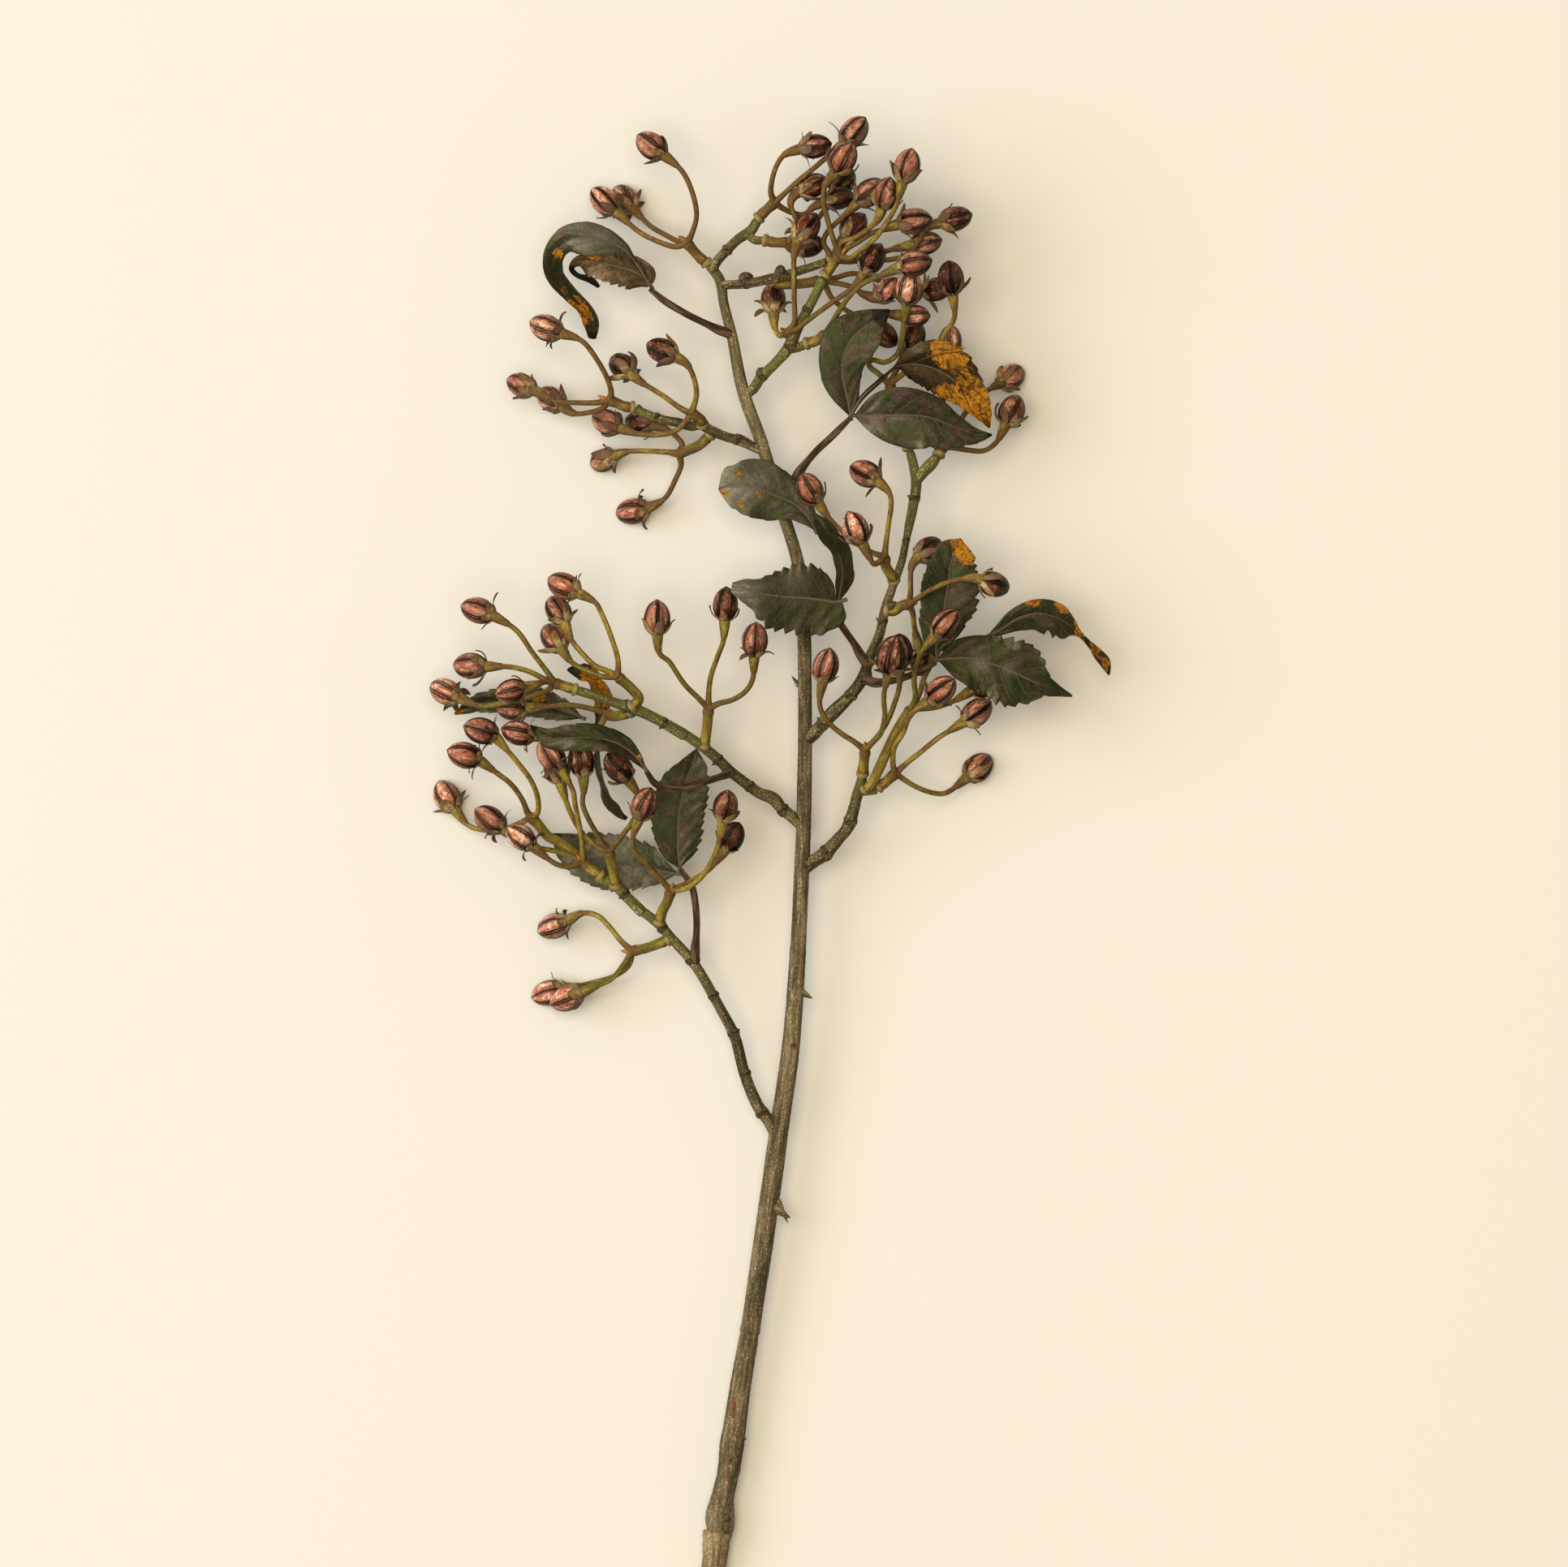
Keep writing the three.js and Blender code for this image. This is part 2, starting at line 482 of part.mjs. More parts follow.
        fruits: [
          [
            [-42.5, 196, 22.5], [-50, 196.5, 20], [-58.5, 196.5, 16], [-64.5, 195, 12],
            [-69, 193, 8, 0.9],
          ],
          [[-37, 191, 21.5], [-39.5, 184.5, 17.5], [-44, 177, 12], [-50.5, 173, 8], [-57, 172, 5.5]],
          [
            [-36.5, 199, 22.5], [-39.5, 203, 20], [-44, 206, 17], [-48.5, 207.5, 14.5],
            [-54, 208.5, 12, 0.9],
          ],
        ],
      },
    ],
  },
  top_right: {
    branch: [
      [-11, 219.5, 29.6, 2.2], [-7.5, 221.5, 30.4, 2.1], [-4.5, 226, 31.8, 2.2], [2, 232.5, 34, 2.1],
      [6.5, 237.5, 36, 2.4], [8.5, 241, 37.4, 2.5], [10, 245, 39, 2.5], [12.5, 249.5, 41, 2.1],
      [16.5, 256.5, 43.4, 2], [21.5, 266.5, 46.6, 2],
    ],
    side: [[6.5, 238, 36, 2.2], [10.5, 238.5, 36.2, 2], [13.5, 239.5, 36.6, 2]],
    twigs: [
      {
        stalk: [[22, 267.5, 47], [24.5, 271, 48.6], [28, 275.5, 51]],
        fruits: [
          [
            [26.5, 279.5, 53.5], [23.5, 288.5, 58.5], [21.5, 297.5, 62], [22, 303, 64],
            [26.5, 309.5, 66.5], [29.5, 314.5, 68],
          ],
          [
            [32, 274.5, 53], [36, 277, 55.5], [43, 283, 60], [48, 290, 63], [51, 295.5, 65],
            [53.5, 304.5, 66.5], [55.5, 311.5, 68],
          ],
          [
            [28.5, 280.5, 54], [33.5, 282.5, 56], [39.5, 286, 57.5], [43.5, 290, 59], [45.5, 294.5, 60],
            [47, 300.5, 61.5, 0.95],
          ],
          [
            [31, 278.5, 52], [35.5, 281, 53], [41, 284.5, 54], [46.5, 286.5, 55], [51.5, 288.5, 56],
            [58.5, 289.5, 56.5],
          ],
        ],
      },
      {
        stalk: [[14, 240, 36.8], [19, 241.5, 39], [22.5, 244, 41]],
        fruits: [
          [
            [24, 246.5, 43.5], [27.5, 252.5, 48], [32.5, 259.5, 52], [37.5, 264, 54], [44, 267, 55.5],
            [51, 270.5, 56.5], [58.5, 272, 57.5],
          ],
          [
            [26, 248.5, 40], [30.5, 251, 39], [37.5, 252, 38.5], [45, 252.5, 38], [52.5, 251.5, 37.5],
            [59, 251.5, 37, 0.85],
          ],
        ],
      },
      {
        stalk: [[8.5, 243.5, 39.5], [6.5, 244.5, 41]],
        fruits: [
          [
            [9.5, 248.5, 44], [9.5, 258.5, 47.5], [9.5, 266.5, 49.5], [9.5, 275.5, 51.5],
            [10.5, 281.5, 54], [14.5, 287, 52],
          ],
          [[3.5, 243.5, 38], [1.5, 247, 35.5], [1, 252.5, 33.5], [1, 259, 31, 0.95]],
          [
            [10, 245.5, 44], [14.5, 249, 44.5], [24, 256, 45], [32, 261.5, 45.5], [36, 265.5, 46],
            [38.5, 269.5, 46.5], [41.5, 274.5, 47, 0.95],
          ],
        ],
      },
    ],
    petiole: [[9.5, 183.5, 29], [11.5, 187.5, 32], [18.5, 196, 36], [25.5, 202.5, 39.5], [31.5, 208.5, 42.5]],
    leaves: [
      [
        [32.5, 210.5, 43, 0.6, 0.6, 0], [31.5, 216.5, 44, 5, 4.5, 0], [29.5, 225, 45.5, 8.5, 7.5, -8],
        [29.5, 233, 47, 10, 9.5, -12], [32.5, 241, 48.5, 11, 11.5, -10], [39.5, 247.5, 50, 7, 9, 0],
        [48.5, 253.5, 51, 0.4, 0.4, 0],
      ],
      [
        [34.5, 210.5, 43, 0.6, 0.6, 0], [39.5, 210.5, 44, 6.5, 5.5, 0],
        [46.5, 210.5, 45.5, 10.5, 10, 6], [55.5, 210.5, 46.5, 11.6, 12.6, 8],
        [65.5, 209.5, 46, 9, 12, 4], [75, 206, 44.5, 5, 10, 0], [83.5, 203, 43, 2.5, 4.5, 0],
        [90.5, 202.5, 42, 0.4, 0.4, 0],
      ],
      [
        [33.5, 212, 47.5, 0.6, 0.6, 0], [37.5, 218, 47.6, 1, 1, 0], [44.5, 224.5, 46, 1, 1, 0],
        [51.5, 230.5, 43, 1.2, 1.2, 0], [56.5, 231.5, 43, 7, 6, 10], [64, 230.5, 44, 11.5, 8.5, 15],
        [72.5, 226.5, 44.5, 12.5, 9.5, 10], [80.5, 220, 43, 8, 7, 0], [86.5, 212.5, 41, 4, 4.5, -5],
        [89.5, 205.5, 39.5, 0.4, 0.4, -5],
      ],
    ],
  },
  crown: {
    branch: [
      [-20.5, 264.5, 31.6, 1.9], [-15.5, 264.5, 33.5, 1.9], [-9.5, 265, 36, 2.2],
      [-5.5, 265.5, 37.5, 2], [-0.5, 266.5, 39, 2.1], [4.5, 267.5, 40, 2], [10.5, 269.5, 41, 1.8],
      [17, 271.5, 42, 1.7], [22.5, 273.5, 42.4, 1.7],
    ],
    twigs: [
      {
        stalk: [[23, 273.5, 42.4], [25.5, 274.5, 42]],
        fruits: [
          [
            [23.5, 277.5, 42], [21.5, 281.5, 43], [23, 285.5, 44.5], [27, 289.5, 46.5],
            [31.5, 293.5, 48], [35.5, 297.5, 49.5], [40.5, 301.5, 51],
          ],
          [[27.5, 279.5, 42.5], [29.5, 283, 43], [34, 288, 43.5, 0.9]],
          [
            [30.5, 274.5, 38.5], [37.5, 275.5, 36.5], [45, 277.5, 35.5], [52.5, 279.5, 36],
            [58, 280.5, 36.5], [63.5, 281.5, 37, 0.9],
          ],
          [
            [31.5, 273.5, 41.5], [40, 274.5, 40], [49.5, 274.5, 40.5], [56.5, 277, 42],
            [60.5, 282, 43.5], [64.5, 287.5, 44.5], [70, 289.5, 45], [75.5, 291, 45, 0.95],
          ],
        ],
      },
      {
        stalk: [[0, 266, 37], [4, 264.5, 36.4], [14.5, 265, 36], [20, 266, 36]],
        fruits: [
          [
            [26.5, 265, 37], [32.5, 263.5, 38], [37.5, 260.5, 39], [41.5, 259, 39], [44.5, 258.5, 39.5],
            [47.5, 262, 40, 0.85],
          ],
          [
            [22.5, 263.5, 35], [24.5, 259.5, 34], [30, 254.5, 33], [36.5, 251, 32], [41.5, 248.5, 31],
            [46.5, 244, 30, 0.9],
          ],
          [
            [25.5, 267, 33.5], [34, 269, 32], [43.5, 266.5, 31], [53.5, 262.5, 32], [61.5, 261, 34],
            [68, 262.5, 36, 0.9],
          ],
        ],
      },
    ],
  },
  crest: {
    branch: [
      [-24, 270, 32.2, 1.9], [-22.5, 273.5, 34, 2], [-19, 277.5, 35.5, 2], [-14.5, 282, 37, 2],
      [-11, 284.5, 38.4, 2.1], [-8, 286.5, 39.8, 2.1], [-5.5, 290.5, 41.4, 2],
    ],
    side: [[-9.5, 285, 39, 1.9], [-6.5, 282.5, 38.6, 1.8], [-3.5, 282.5, 38.4, 1.8]],
    twigs: [
      {
        stalk: [[-5.5, 291, 41.8], [-3, 293.5, 43], [1.5, 297.5, 46]],
        fruits: [
          [
            [0, 301.5, 49], [0.5, 306.5, 52.5], [2.5, 312.5, 55.5], [5.5, 316.5, 57], [11.5, 319, 58],
            [18, 320, 58.5, 0.92],
          ],
          [
            [6.5, 302, 49.5], [11.5, 306.5, 51.5], [18.5, 312, 53.5], [22.5, 315.5, 54],
            [30.5, 321.5, 55], [34, 326, 56],
          ],
          [
            [4.5, 295.5, 43.5], [9, 293.5, 41], [13.5, 293, 40], [17.5, 296, 40], [22.5, 298.5, 40.5],
            [28, 299.5, 41, 0.85],
          ],
        ],
      },
      {
        stalk: [[-3, 282.5, 38.4], [2, 281.5, 40], [7, 281.5, 41.5]],
        fruits: [
          [
            [9.5, 284.5, 43.5], [11, 288.5, 45], [9.5, 292.5, 46], [8, 297, 46.5], [9.5, 300.5, 46.5],
            [12.5, 302.5, 46.5], [17, 304.5, 46, 0.92],
          ],
          [[8.5, 279.5, 40], [11.5, 278.5, 39], [16, 280, 38.5, 0.85]],
          [
            [11.5, 283, 38.5], [16.5, 288, 35], [21.5, 294.5, 32], [25, 300.5, 31.5],
            [29.5, 306.5, 32, 0.9],
          ],
        ],
      },
    ],
  },
  tip: {
    twigs: [
      {
        stalk: [[-26, 273, 32.2], [-30, 276.5, 33.5], [-34.5, 281.5, 35.5]],
        fruits: [
          [
            [-32.5, 285, 38], [-30.5, 292.5, 41.5], [-32.5, 302.5, 44.5], [-36.5, 310.5, 46],
            [-42.5, 316, 45], [-49, 321, 43],
          ],
          [
            [-38.5, 282.5, 31], [-44, 285.5, 25], [-49.5, 289, 18.5], [-56, 295.5, 11],
            [-60.5, 301, 5.8, 0.97],
          ],
          [
            [-39, 280, 33.5], [-49, 283.5, 28], [-55.5, 287.5, 23], [-62.5, 294, 20], [-68.5, 299.5, 18],
          ],
        ],
      },
    ],
    petiole: [
      [-16.5, 244.5, 30.6], [-20.5, 245.5, 33], [-28, 249, 35.5], [-36, 253, 37], [-43.5, 257.5, 38],
      [-48.5, 261.5, 38.6],
    ],
    leaves: [
      [
        [-49.5, 264, 38.8, 1.5, 2, 0], [-51, 266, 39, 4, 5, 0], [-54, 268.5, 39.2, 7, 6, 6],
        [-59, 270.5, 39.6, 7.8, 6.5, 10], [-64.5, 272, 39.8, 7.8, 6, 8], [-70, 273.5, 39.5, 6.8, 5, 0],
        [-75.5, 274.5, 39, 6.6, 3, 0], [-80, 273.5, 37.5, 4, 1.8, -15],
        [-81.5, 270.5, 34.5, 1.6, 1.6, -30], [-79, 268, 33.5, 1.4, 1.4, -30],
        [-74.5, 266.5, 32.6, 1.6, 1.6, -20], [-70.5, 263.5, 31.6, 0.6, 0.6, 0],
      ],
      [
        [-50.5, 265.5, 42, 0.6, 0.6, 0], [-53.5, 270.5, 44, 1.2, 1.2, 10],
        [-57.5, 275.5, 46, 1.7, 1.7, 15], [-60.5, 278.5, 47, 2.8, 3.2, 20],
        [-66, 281, 48, 5.4, 5.2, 20], [-71.5, 282.5, 48.7, 7, 6.6, 20], [-77.5, 283, 49, 7, 6.8, 10],
        [-83, 282, 48, 5.6, 6, 0], [-87, 278.5, 45.5, 4, 5.2, -5], [-89.5, 273, 42, 4.4, 4.4, -20],
        [-88.5, 267, 37.5, 5, 3.8, -35], [-82.5, 261, 32, 3.8, 3.8, -40],
        [-76.5, 255, 28, 3.6, 3.4, -30], [-73.5, 249, 25, 3.3, 3.5, -20],
        [-73.5, 242.5, 22.5, 1.6, 1.6, 0],
      ],
    ],
  },
};

// ---- solids ----
const wasm = await Module();
wasm.setup();

const vec = ([x, y, z]) => new THREE.Vector3(x, y, z);

function solidOf(geometry) {
  const WELD = 1e-3; // points nearer than this are one point
  geometry.deleteAttribute("normal");
  geometry.deleteAttribute("uv");
  const merged = mergeVertices(geometry, WELD);
  const solid = new wasm.Manifold(
    new wasm.Mesh({
      numProp: 3,
      vertProperties: merged.attributes.position.array,
      triVerts: new Uint32Array(merged.index.array),
    }),
  );
  if (solid.volume() <= 0) throw new Error("a solid came out inside out");
  return solid;
}

function geometryOf(solid) {
  const { vertProperties, triVerts } = solid.getMesh();
  return new THREE.BufferGeometry()
    .setAttribute("position", new THREE.BufferAttribute(vertProperties, 3))
    .setIndex(new THREE.BufferAttribute(triVerts, 1));
}

const joined = (solids) => solids.reduce((sum, solid) => sum.add(solid));

// What is left of a piece once its seat on the parent is cut away, without the cut's slivers.
function seated(piece, parent) {
  const bodies = piece.subtract(parent).decompose();
  return bodies.reduce((most, body) => (body.volume() > most.volume() ? body : most));
}

// A smooth curve through points, with the distance along it at each of those points.
function route(points) {
  const STEPS = 24; // divisions between two neighbouring points
  const curve = new THREE.CatmullRomCurve3(points, false, "centripetal");
  curve.arcLengthDivisions = STEPS * (points.length - 1);
  const lengths = curve.getLengths();
  const stops = points.map((_, i) => lengths[i * STEPS]);
  return { curve, stops, length: lengths.at(-1) };
}

// Bends a lathe whose axis is +Y along a curve; past either end it runs straight on.
function bend(profile, sides, { curve, length }) {
  const FRAMES = 120;
  const { normals, binormals } = curve.computeFrenetFrames(FRAMES);
  const geometry = new THREE.LatheGeometry(
    profile.map(([distance, radius]) => new THREE.Vector2(radius, distance)),
    sides,
  );
  const position = geometry.attributes.position;
  const vertex = new THREE.Vector3();
  for (let i = 0; i < position.count; i++) {
    vertex.fromBufferAttribute(position, i);
    const along = THREE.MathUtils.clamp(vertex.y / length, 0, 1);
    const frame = Math.round(along * FRAMES);
    const point = curve
      .getPointAt(along)
      .addScaledVector(curve.getTangentAt(along), vertex.y - along * length)
      .addScaledVector(normals[frame], vertex.x)
      .addScaledVector(binormals[frame], -vertex.z);
    position.setXYZ(i, point.x, point.y, point.z);
  }
  return solidOf(geometry);
}

// A stem through [x, y, z, radius] points; extra thickens and lengthens it by that much.
function stem(points, sides, extra = 0) {
  const way = route(points.map(vec));
  const rings = points.map((p, i) => [way.stops[i], p[3] + extra]);
  rings[0][0] -= extra;
  rings.at(-1)[0] += extra;
  return bend([[rings[0][0], 0], ...rings, [rings.at(-1)[0], 0]], sides, way);
}

function capsule(middle, axis, size) {
  const profile = BERRY_PROFILE.map(
    ([t, r]) => new THREE.Vector2(r * BERRY_RADIUS * size, (t - 0.5) * BERRY_LENGTH * size),
  );
  const geometry = new THREE.LatheGeometry(profile, BERRY_SIDES);
  geometry.applyQuaternion(
    new THREE.Quaternion().setFromUnitVectors(new THREE.Vector3(0, 1, 0), axis),
  );
  geometry.translate(middle.x, middle.y, middle.z);
  return solidOf(geometry);
}

// One fruit: its stalk from the fork, the receptacle that swells under the calyx, the capsule.
function fruit(fork, points) {
  const middle = vec(points.at(-1));
  const size = points.at(-1)[3] ?? 1;
  const calyx = vec(points.at(-2));
  const axis = middle.clone().sub(calyx).normalize();
  const foot = middle.clone().addScaledVector(axis, -BERRY_SEAT * BERRY_LENGTH * size);
  const way = route([fork, ...points.slice(0, -2).map(vec), foot]);
  const slim = way.length - RECEPTACLE_LENGTH;
  const bands = Math.max(1, Math.round(slim / RING_SPACING));
  const rings = [];
  for (let i = 0; i <= bands; i++) rings.push([(slim * i) / bands, STALK_RADIUS]);
  rings.push([way.length, RECEPTACLE_RADIUS]);
  const stalk = bend([[0, 0], ...rings, [way.length, 0]], STALK_SIDES, way);
  return stalk.add(capsule(middle, axis, size));
}

// A twig: collar, stalk and bud as one turned piece, with its fruits grown from the fork.
function twig({ stalk, fruits }) {
  const way = route(stalk.map(vec));
  const rings = [
    [0, COLLAR_RADIUS],
    [COLLAR_LENGTH, COLLAR_RADIUS],
    [COLLAR_LENGTH + COLLAR_SLOPE, TWIG_RADIUS],
    [way.length, TWIG_RADIUS],
    [way.length + BUD_LENGTH, BUD_RADIUS],
  ];
  const wood = bend([[0, 0], ...rings, [way.length + BUD_LENGTH, 0]], TWIG_SIDES, way);
  const fork = vec(stalk.at(-1));
  return joined([wood, ...fruits.map((points) => fruit(fork, points))]);
}

// A leaf stalk: a sheath over its foot, then a slim round stalk.
function petiole(points, extra = 0) {
  const way = route(points.map(vec));
  const rings = way.stops.map((distance, i) => {
    const radius = i < 2 ? SHEATH_RADIUS : PETIOLE_RADIUS;
    return [distance, radius + extra];
  });
  rings[0][0] -= extra;
  rings.at(-1)[0] += extra;
  return bend([[rings[0][0], 0], ...rings, [rings.at(-1)[0], 0]], TWIG_SIDES, way);
}

// A leaflet: a thin plate wrapped on its midrib. Roll turns the blade about the midrib.
function leaf(stations) {
  const spine = new THREE.CatmullRomCurve3(stations.map(vec), false, "centripetal");
  const last = stations.length - 1;
  const plate = new THREE.BoxGeometry(2, last, LEAF_THICKNESS, 2, last, 1);
  const up = new THREE.Vector3(0, 0, 1);
  const position = plate.attributes.position;
  for (let i = 0; i < position.count; i++) {
    const row = Math.round(position.getY(i) + last / 2);
    const side = Math.sign(Math.round(position.getX(i)));
    const [, , , left, right, roll] = stations[row];
    const along = spine.getTangent(row / last);
    const leftward = up.clone().cross(along).normalize();
    leftward.applyAxisAngle(along, THREE.MathUtils.degToRad(roll));
    const normal = along.clone().cross(leftward);
    const reach = side > 0 ? -right : side < 0 ? left : 0;
    const point = vec(stations[row])
      .addScaledVector(leftward, reach)
      .addScaledVector(normal, position.getZ(i));
    position.setXYZ(i, point.x, point.y, point.z);
  }
  return solidOf(plate);
}

// ---- the sprig ----
const finish = (color, roughness) =>
  new THREE.MeshStandardMaterial({ color, roughness, metalness: 0 });
const finishes = {
  stem: finish(0x55503f, 0.75),
  branch: finish(0x4f5239, 0.7),
  twig: finish(0x8a5a45, 0.5),
  petiole: finish(0x4a3a36, 0.65),
  leaf: finish(0x3b3d34, 0.6),
};

const sprig = new THREE.Group();
const solids = new Map();

function place(name, solid, material) {
  const mesh = new THREE.Mesh(geometryOf(solid), material);
  mesh.name = name;
  sprig.add(mesh);
  solids.set(name, solid);
}

const mainFat = stem(MAIN_STEM, STEM_SIDES, GAP);
place("main_stem", stem(MAIN_STEM, STEM_SIDES), finishes.stem);
place("stem_base", seated(stem(STEM_BASE, STEM_SIDES), mainFat), finishes.stem);

for (const [group, parts] of Object.entries(GROUPS)) {
  const limbs = [parts.branch, parts.ext, parts.side].filter(Boolean);
  let fat = mainFat;
  if (limbs.length) {
    const wood = joined(limbs.map((points) => stem(points, BRANCH_SIDES)));
    place(`${group}_branch`, seated(wood, mainFat), finishes.branch);
    fat = joined([mainFat, ...limbs.map((points) => stem(points, BRANCH_SIDES, GAP))]);
  }
  parts.twigs.forEach((shoot, i) => {
    place(`${group}_twig_${i + 1}`, seated(twig(shoot), fat), finishes.twig);
  });
  const stalks = [parts.petiole, parts.petiole2].filter(Boolean);
  stalks.forEach((points, i) => {
    const name = `${group}_leaf_stalk_${i + 1}`;
    place(name, seated(petiole(points), fat), finishes.petiole);
  });
  const stalksFat = stalks.map((points) => petiole(points, GAP));
  (parts.leaves ?? []).forEach((stations, i) => {
    const blade = stalksFat.reduce(seated, leaf(stations));
    place(`${group}_leaf_${i + 1}`, blade, finishes.leaf);
  });
}

export default sprig;
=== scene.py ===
# %% [markdown]
# # A cut sprig of hypericum berries
# The sprig lies on a table. One woody stem carries eight side branches; each branch ends in
# short twigs, and each twig holds two to four stalked capsules. The capsules are the "berries":
# ribbed, glossy, red-brown, with five curled sepals at the foot. Dark toothed leaves hang on
# thin stalks of their own.
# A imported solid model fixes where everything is. This lesson loads it first and grows the
# visible plant in the same place and at the same size, in metres, with +Z up.

# %% Load the solid model and note its box
import math

import bpy
import numpy as np
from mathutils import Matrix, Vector


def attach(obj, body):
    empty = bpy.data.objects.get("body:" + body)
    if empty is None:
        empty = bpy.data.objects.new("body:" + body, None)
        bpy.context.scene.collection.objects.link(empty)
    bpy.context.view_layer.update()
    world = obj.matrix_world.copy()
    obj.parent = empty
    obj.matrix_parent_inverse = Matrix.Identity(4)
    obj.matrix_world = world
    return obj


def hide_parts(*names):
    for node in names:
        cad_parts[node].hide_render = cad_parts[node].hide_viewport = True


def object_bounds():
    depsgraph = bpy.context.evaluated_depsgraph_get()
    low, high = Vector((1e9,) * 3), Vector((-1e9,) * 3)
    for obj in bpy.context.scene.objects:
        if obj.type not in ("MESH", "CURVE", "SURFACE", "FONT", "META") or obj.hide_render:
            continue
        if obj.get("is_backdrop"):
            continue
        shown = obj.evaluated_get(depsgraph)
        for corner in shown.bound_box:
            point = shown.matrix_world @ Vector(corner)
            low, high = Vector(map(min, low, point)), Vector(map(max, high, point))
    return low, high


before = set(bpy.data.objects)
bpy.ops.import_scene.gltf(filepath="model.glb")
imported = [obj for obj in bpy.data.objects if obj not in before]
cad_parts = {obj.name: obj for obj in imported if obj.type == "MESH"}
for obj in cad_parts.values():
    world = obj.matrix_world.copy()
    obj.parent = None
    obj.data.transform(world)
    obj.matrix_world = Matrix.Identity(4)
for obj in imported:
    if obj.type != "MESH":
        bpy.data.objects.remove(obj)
cad_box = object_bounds()
MM = 0.001
print("solid model box in mm:", [[round(c / MM, 1) for c in corner] for corner in cad_box])

# %% [markdown]
# ## The routes
# A plant is mostly lines, so it is described by lines. Every route below is a short list of
# points in millimetres. A smooth curve is drawn through them, and the wood is skinned round it.
# They are the routes that the solid model was made from, so the two coincide.
# - a stem or branch point is [x, y, z, radius]
# - a twig or leaf stalk point is [x, y, z]
# - a fruit is its stalk's points after the fork; the last but one is the calyx and the last is
#   the middle of the berry, sometimes with a size factor
# - a leaf station is [x, y, z, left half-width, right half-width, roll in degrees], foot to tip

# %% The stem
STEM_BASE = [
  [-35, -332, 5.3, 5.1], [-31, -305, 5.8, 5.2], [-27.5, -280, 6.6, 4.9], [-23.5, -262, 7.5, 5],
  [-22.5, -251.5, 8, 5.8], [-22, -248, 8.1, 5.9],
]
MAIN_STEM = [
  [-22, -252.5, 8.1, 3.3], [-21.5, -250, 8.2, 4.4], [-21, -246.5, 8.4, 5.7], [-21, -242, 8.6, 6],
  [-20.5, -237.5, 8.7, 5.3], [-20, -234.5, 8.8, 4.75], [-17.5, -223.5, 9.3, 4.6],
  [-16, -211.5, 9.7, 4.9], [-15, -205, 9.8, 4.6], [-12, -185, 10.6, 4.2], [-8.5, -164.5, 11.4, 4],
  [-1.5, -118.5, 13, 4.1], [3.5, -81.5, 14.6, 3.9], [8.5, -45, 16.6, 3.6], [11.5, -1.5, 19, 3.2],
  [13.5, 48.5, 22, 3], [14, 98.5, 25, 2.8], [13.5, 125, 26.6, 2.8], [11.5, 148.5, 28, 2.6],
  [3.5, 175, 29, 2.5], [-3.5, 198.5, 29.4, 2.5], [-11.5, 221.5, 29.8, 2.5], [-16, 243.5, 30.4, 2.2],
  [-19.5, 257.5, 31, 2], [-20.5, 265, 31.4, 2.1], [-22.5, 269, 31.8, 2], [-25.5, 272.5, 32, 1.9],
]

# %% The eight side branches and the tip, with their twigs and leaves
def twig_routes(stalk, *fruits):
    """The route of a twig's own wood, then one route for each of its fruits."""
    return {"stalk": stalk, "fruits": fruits}


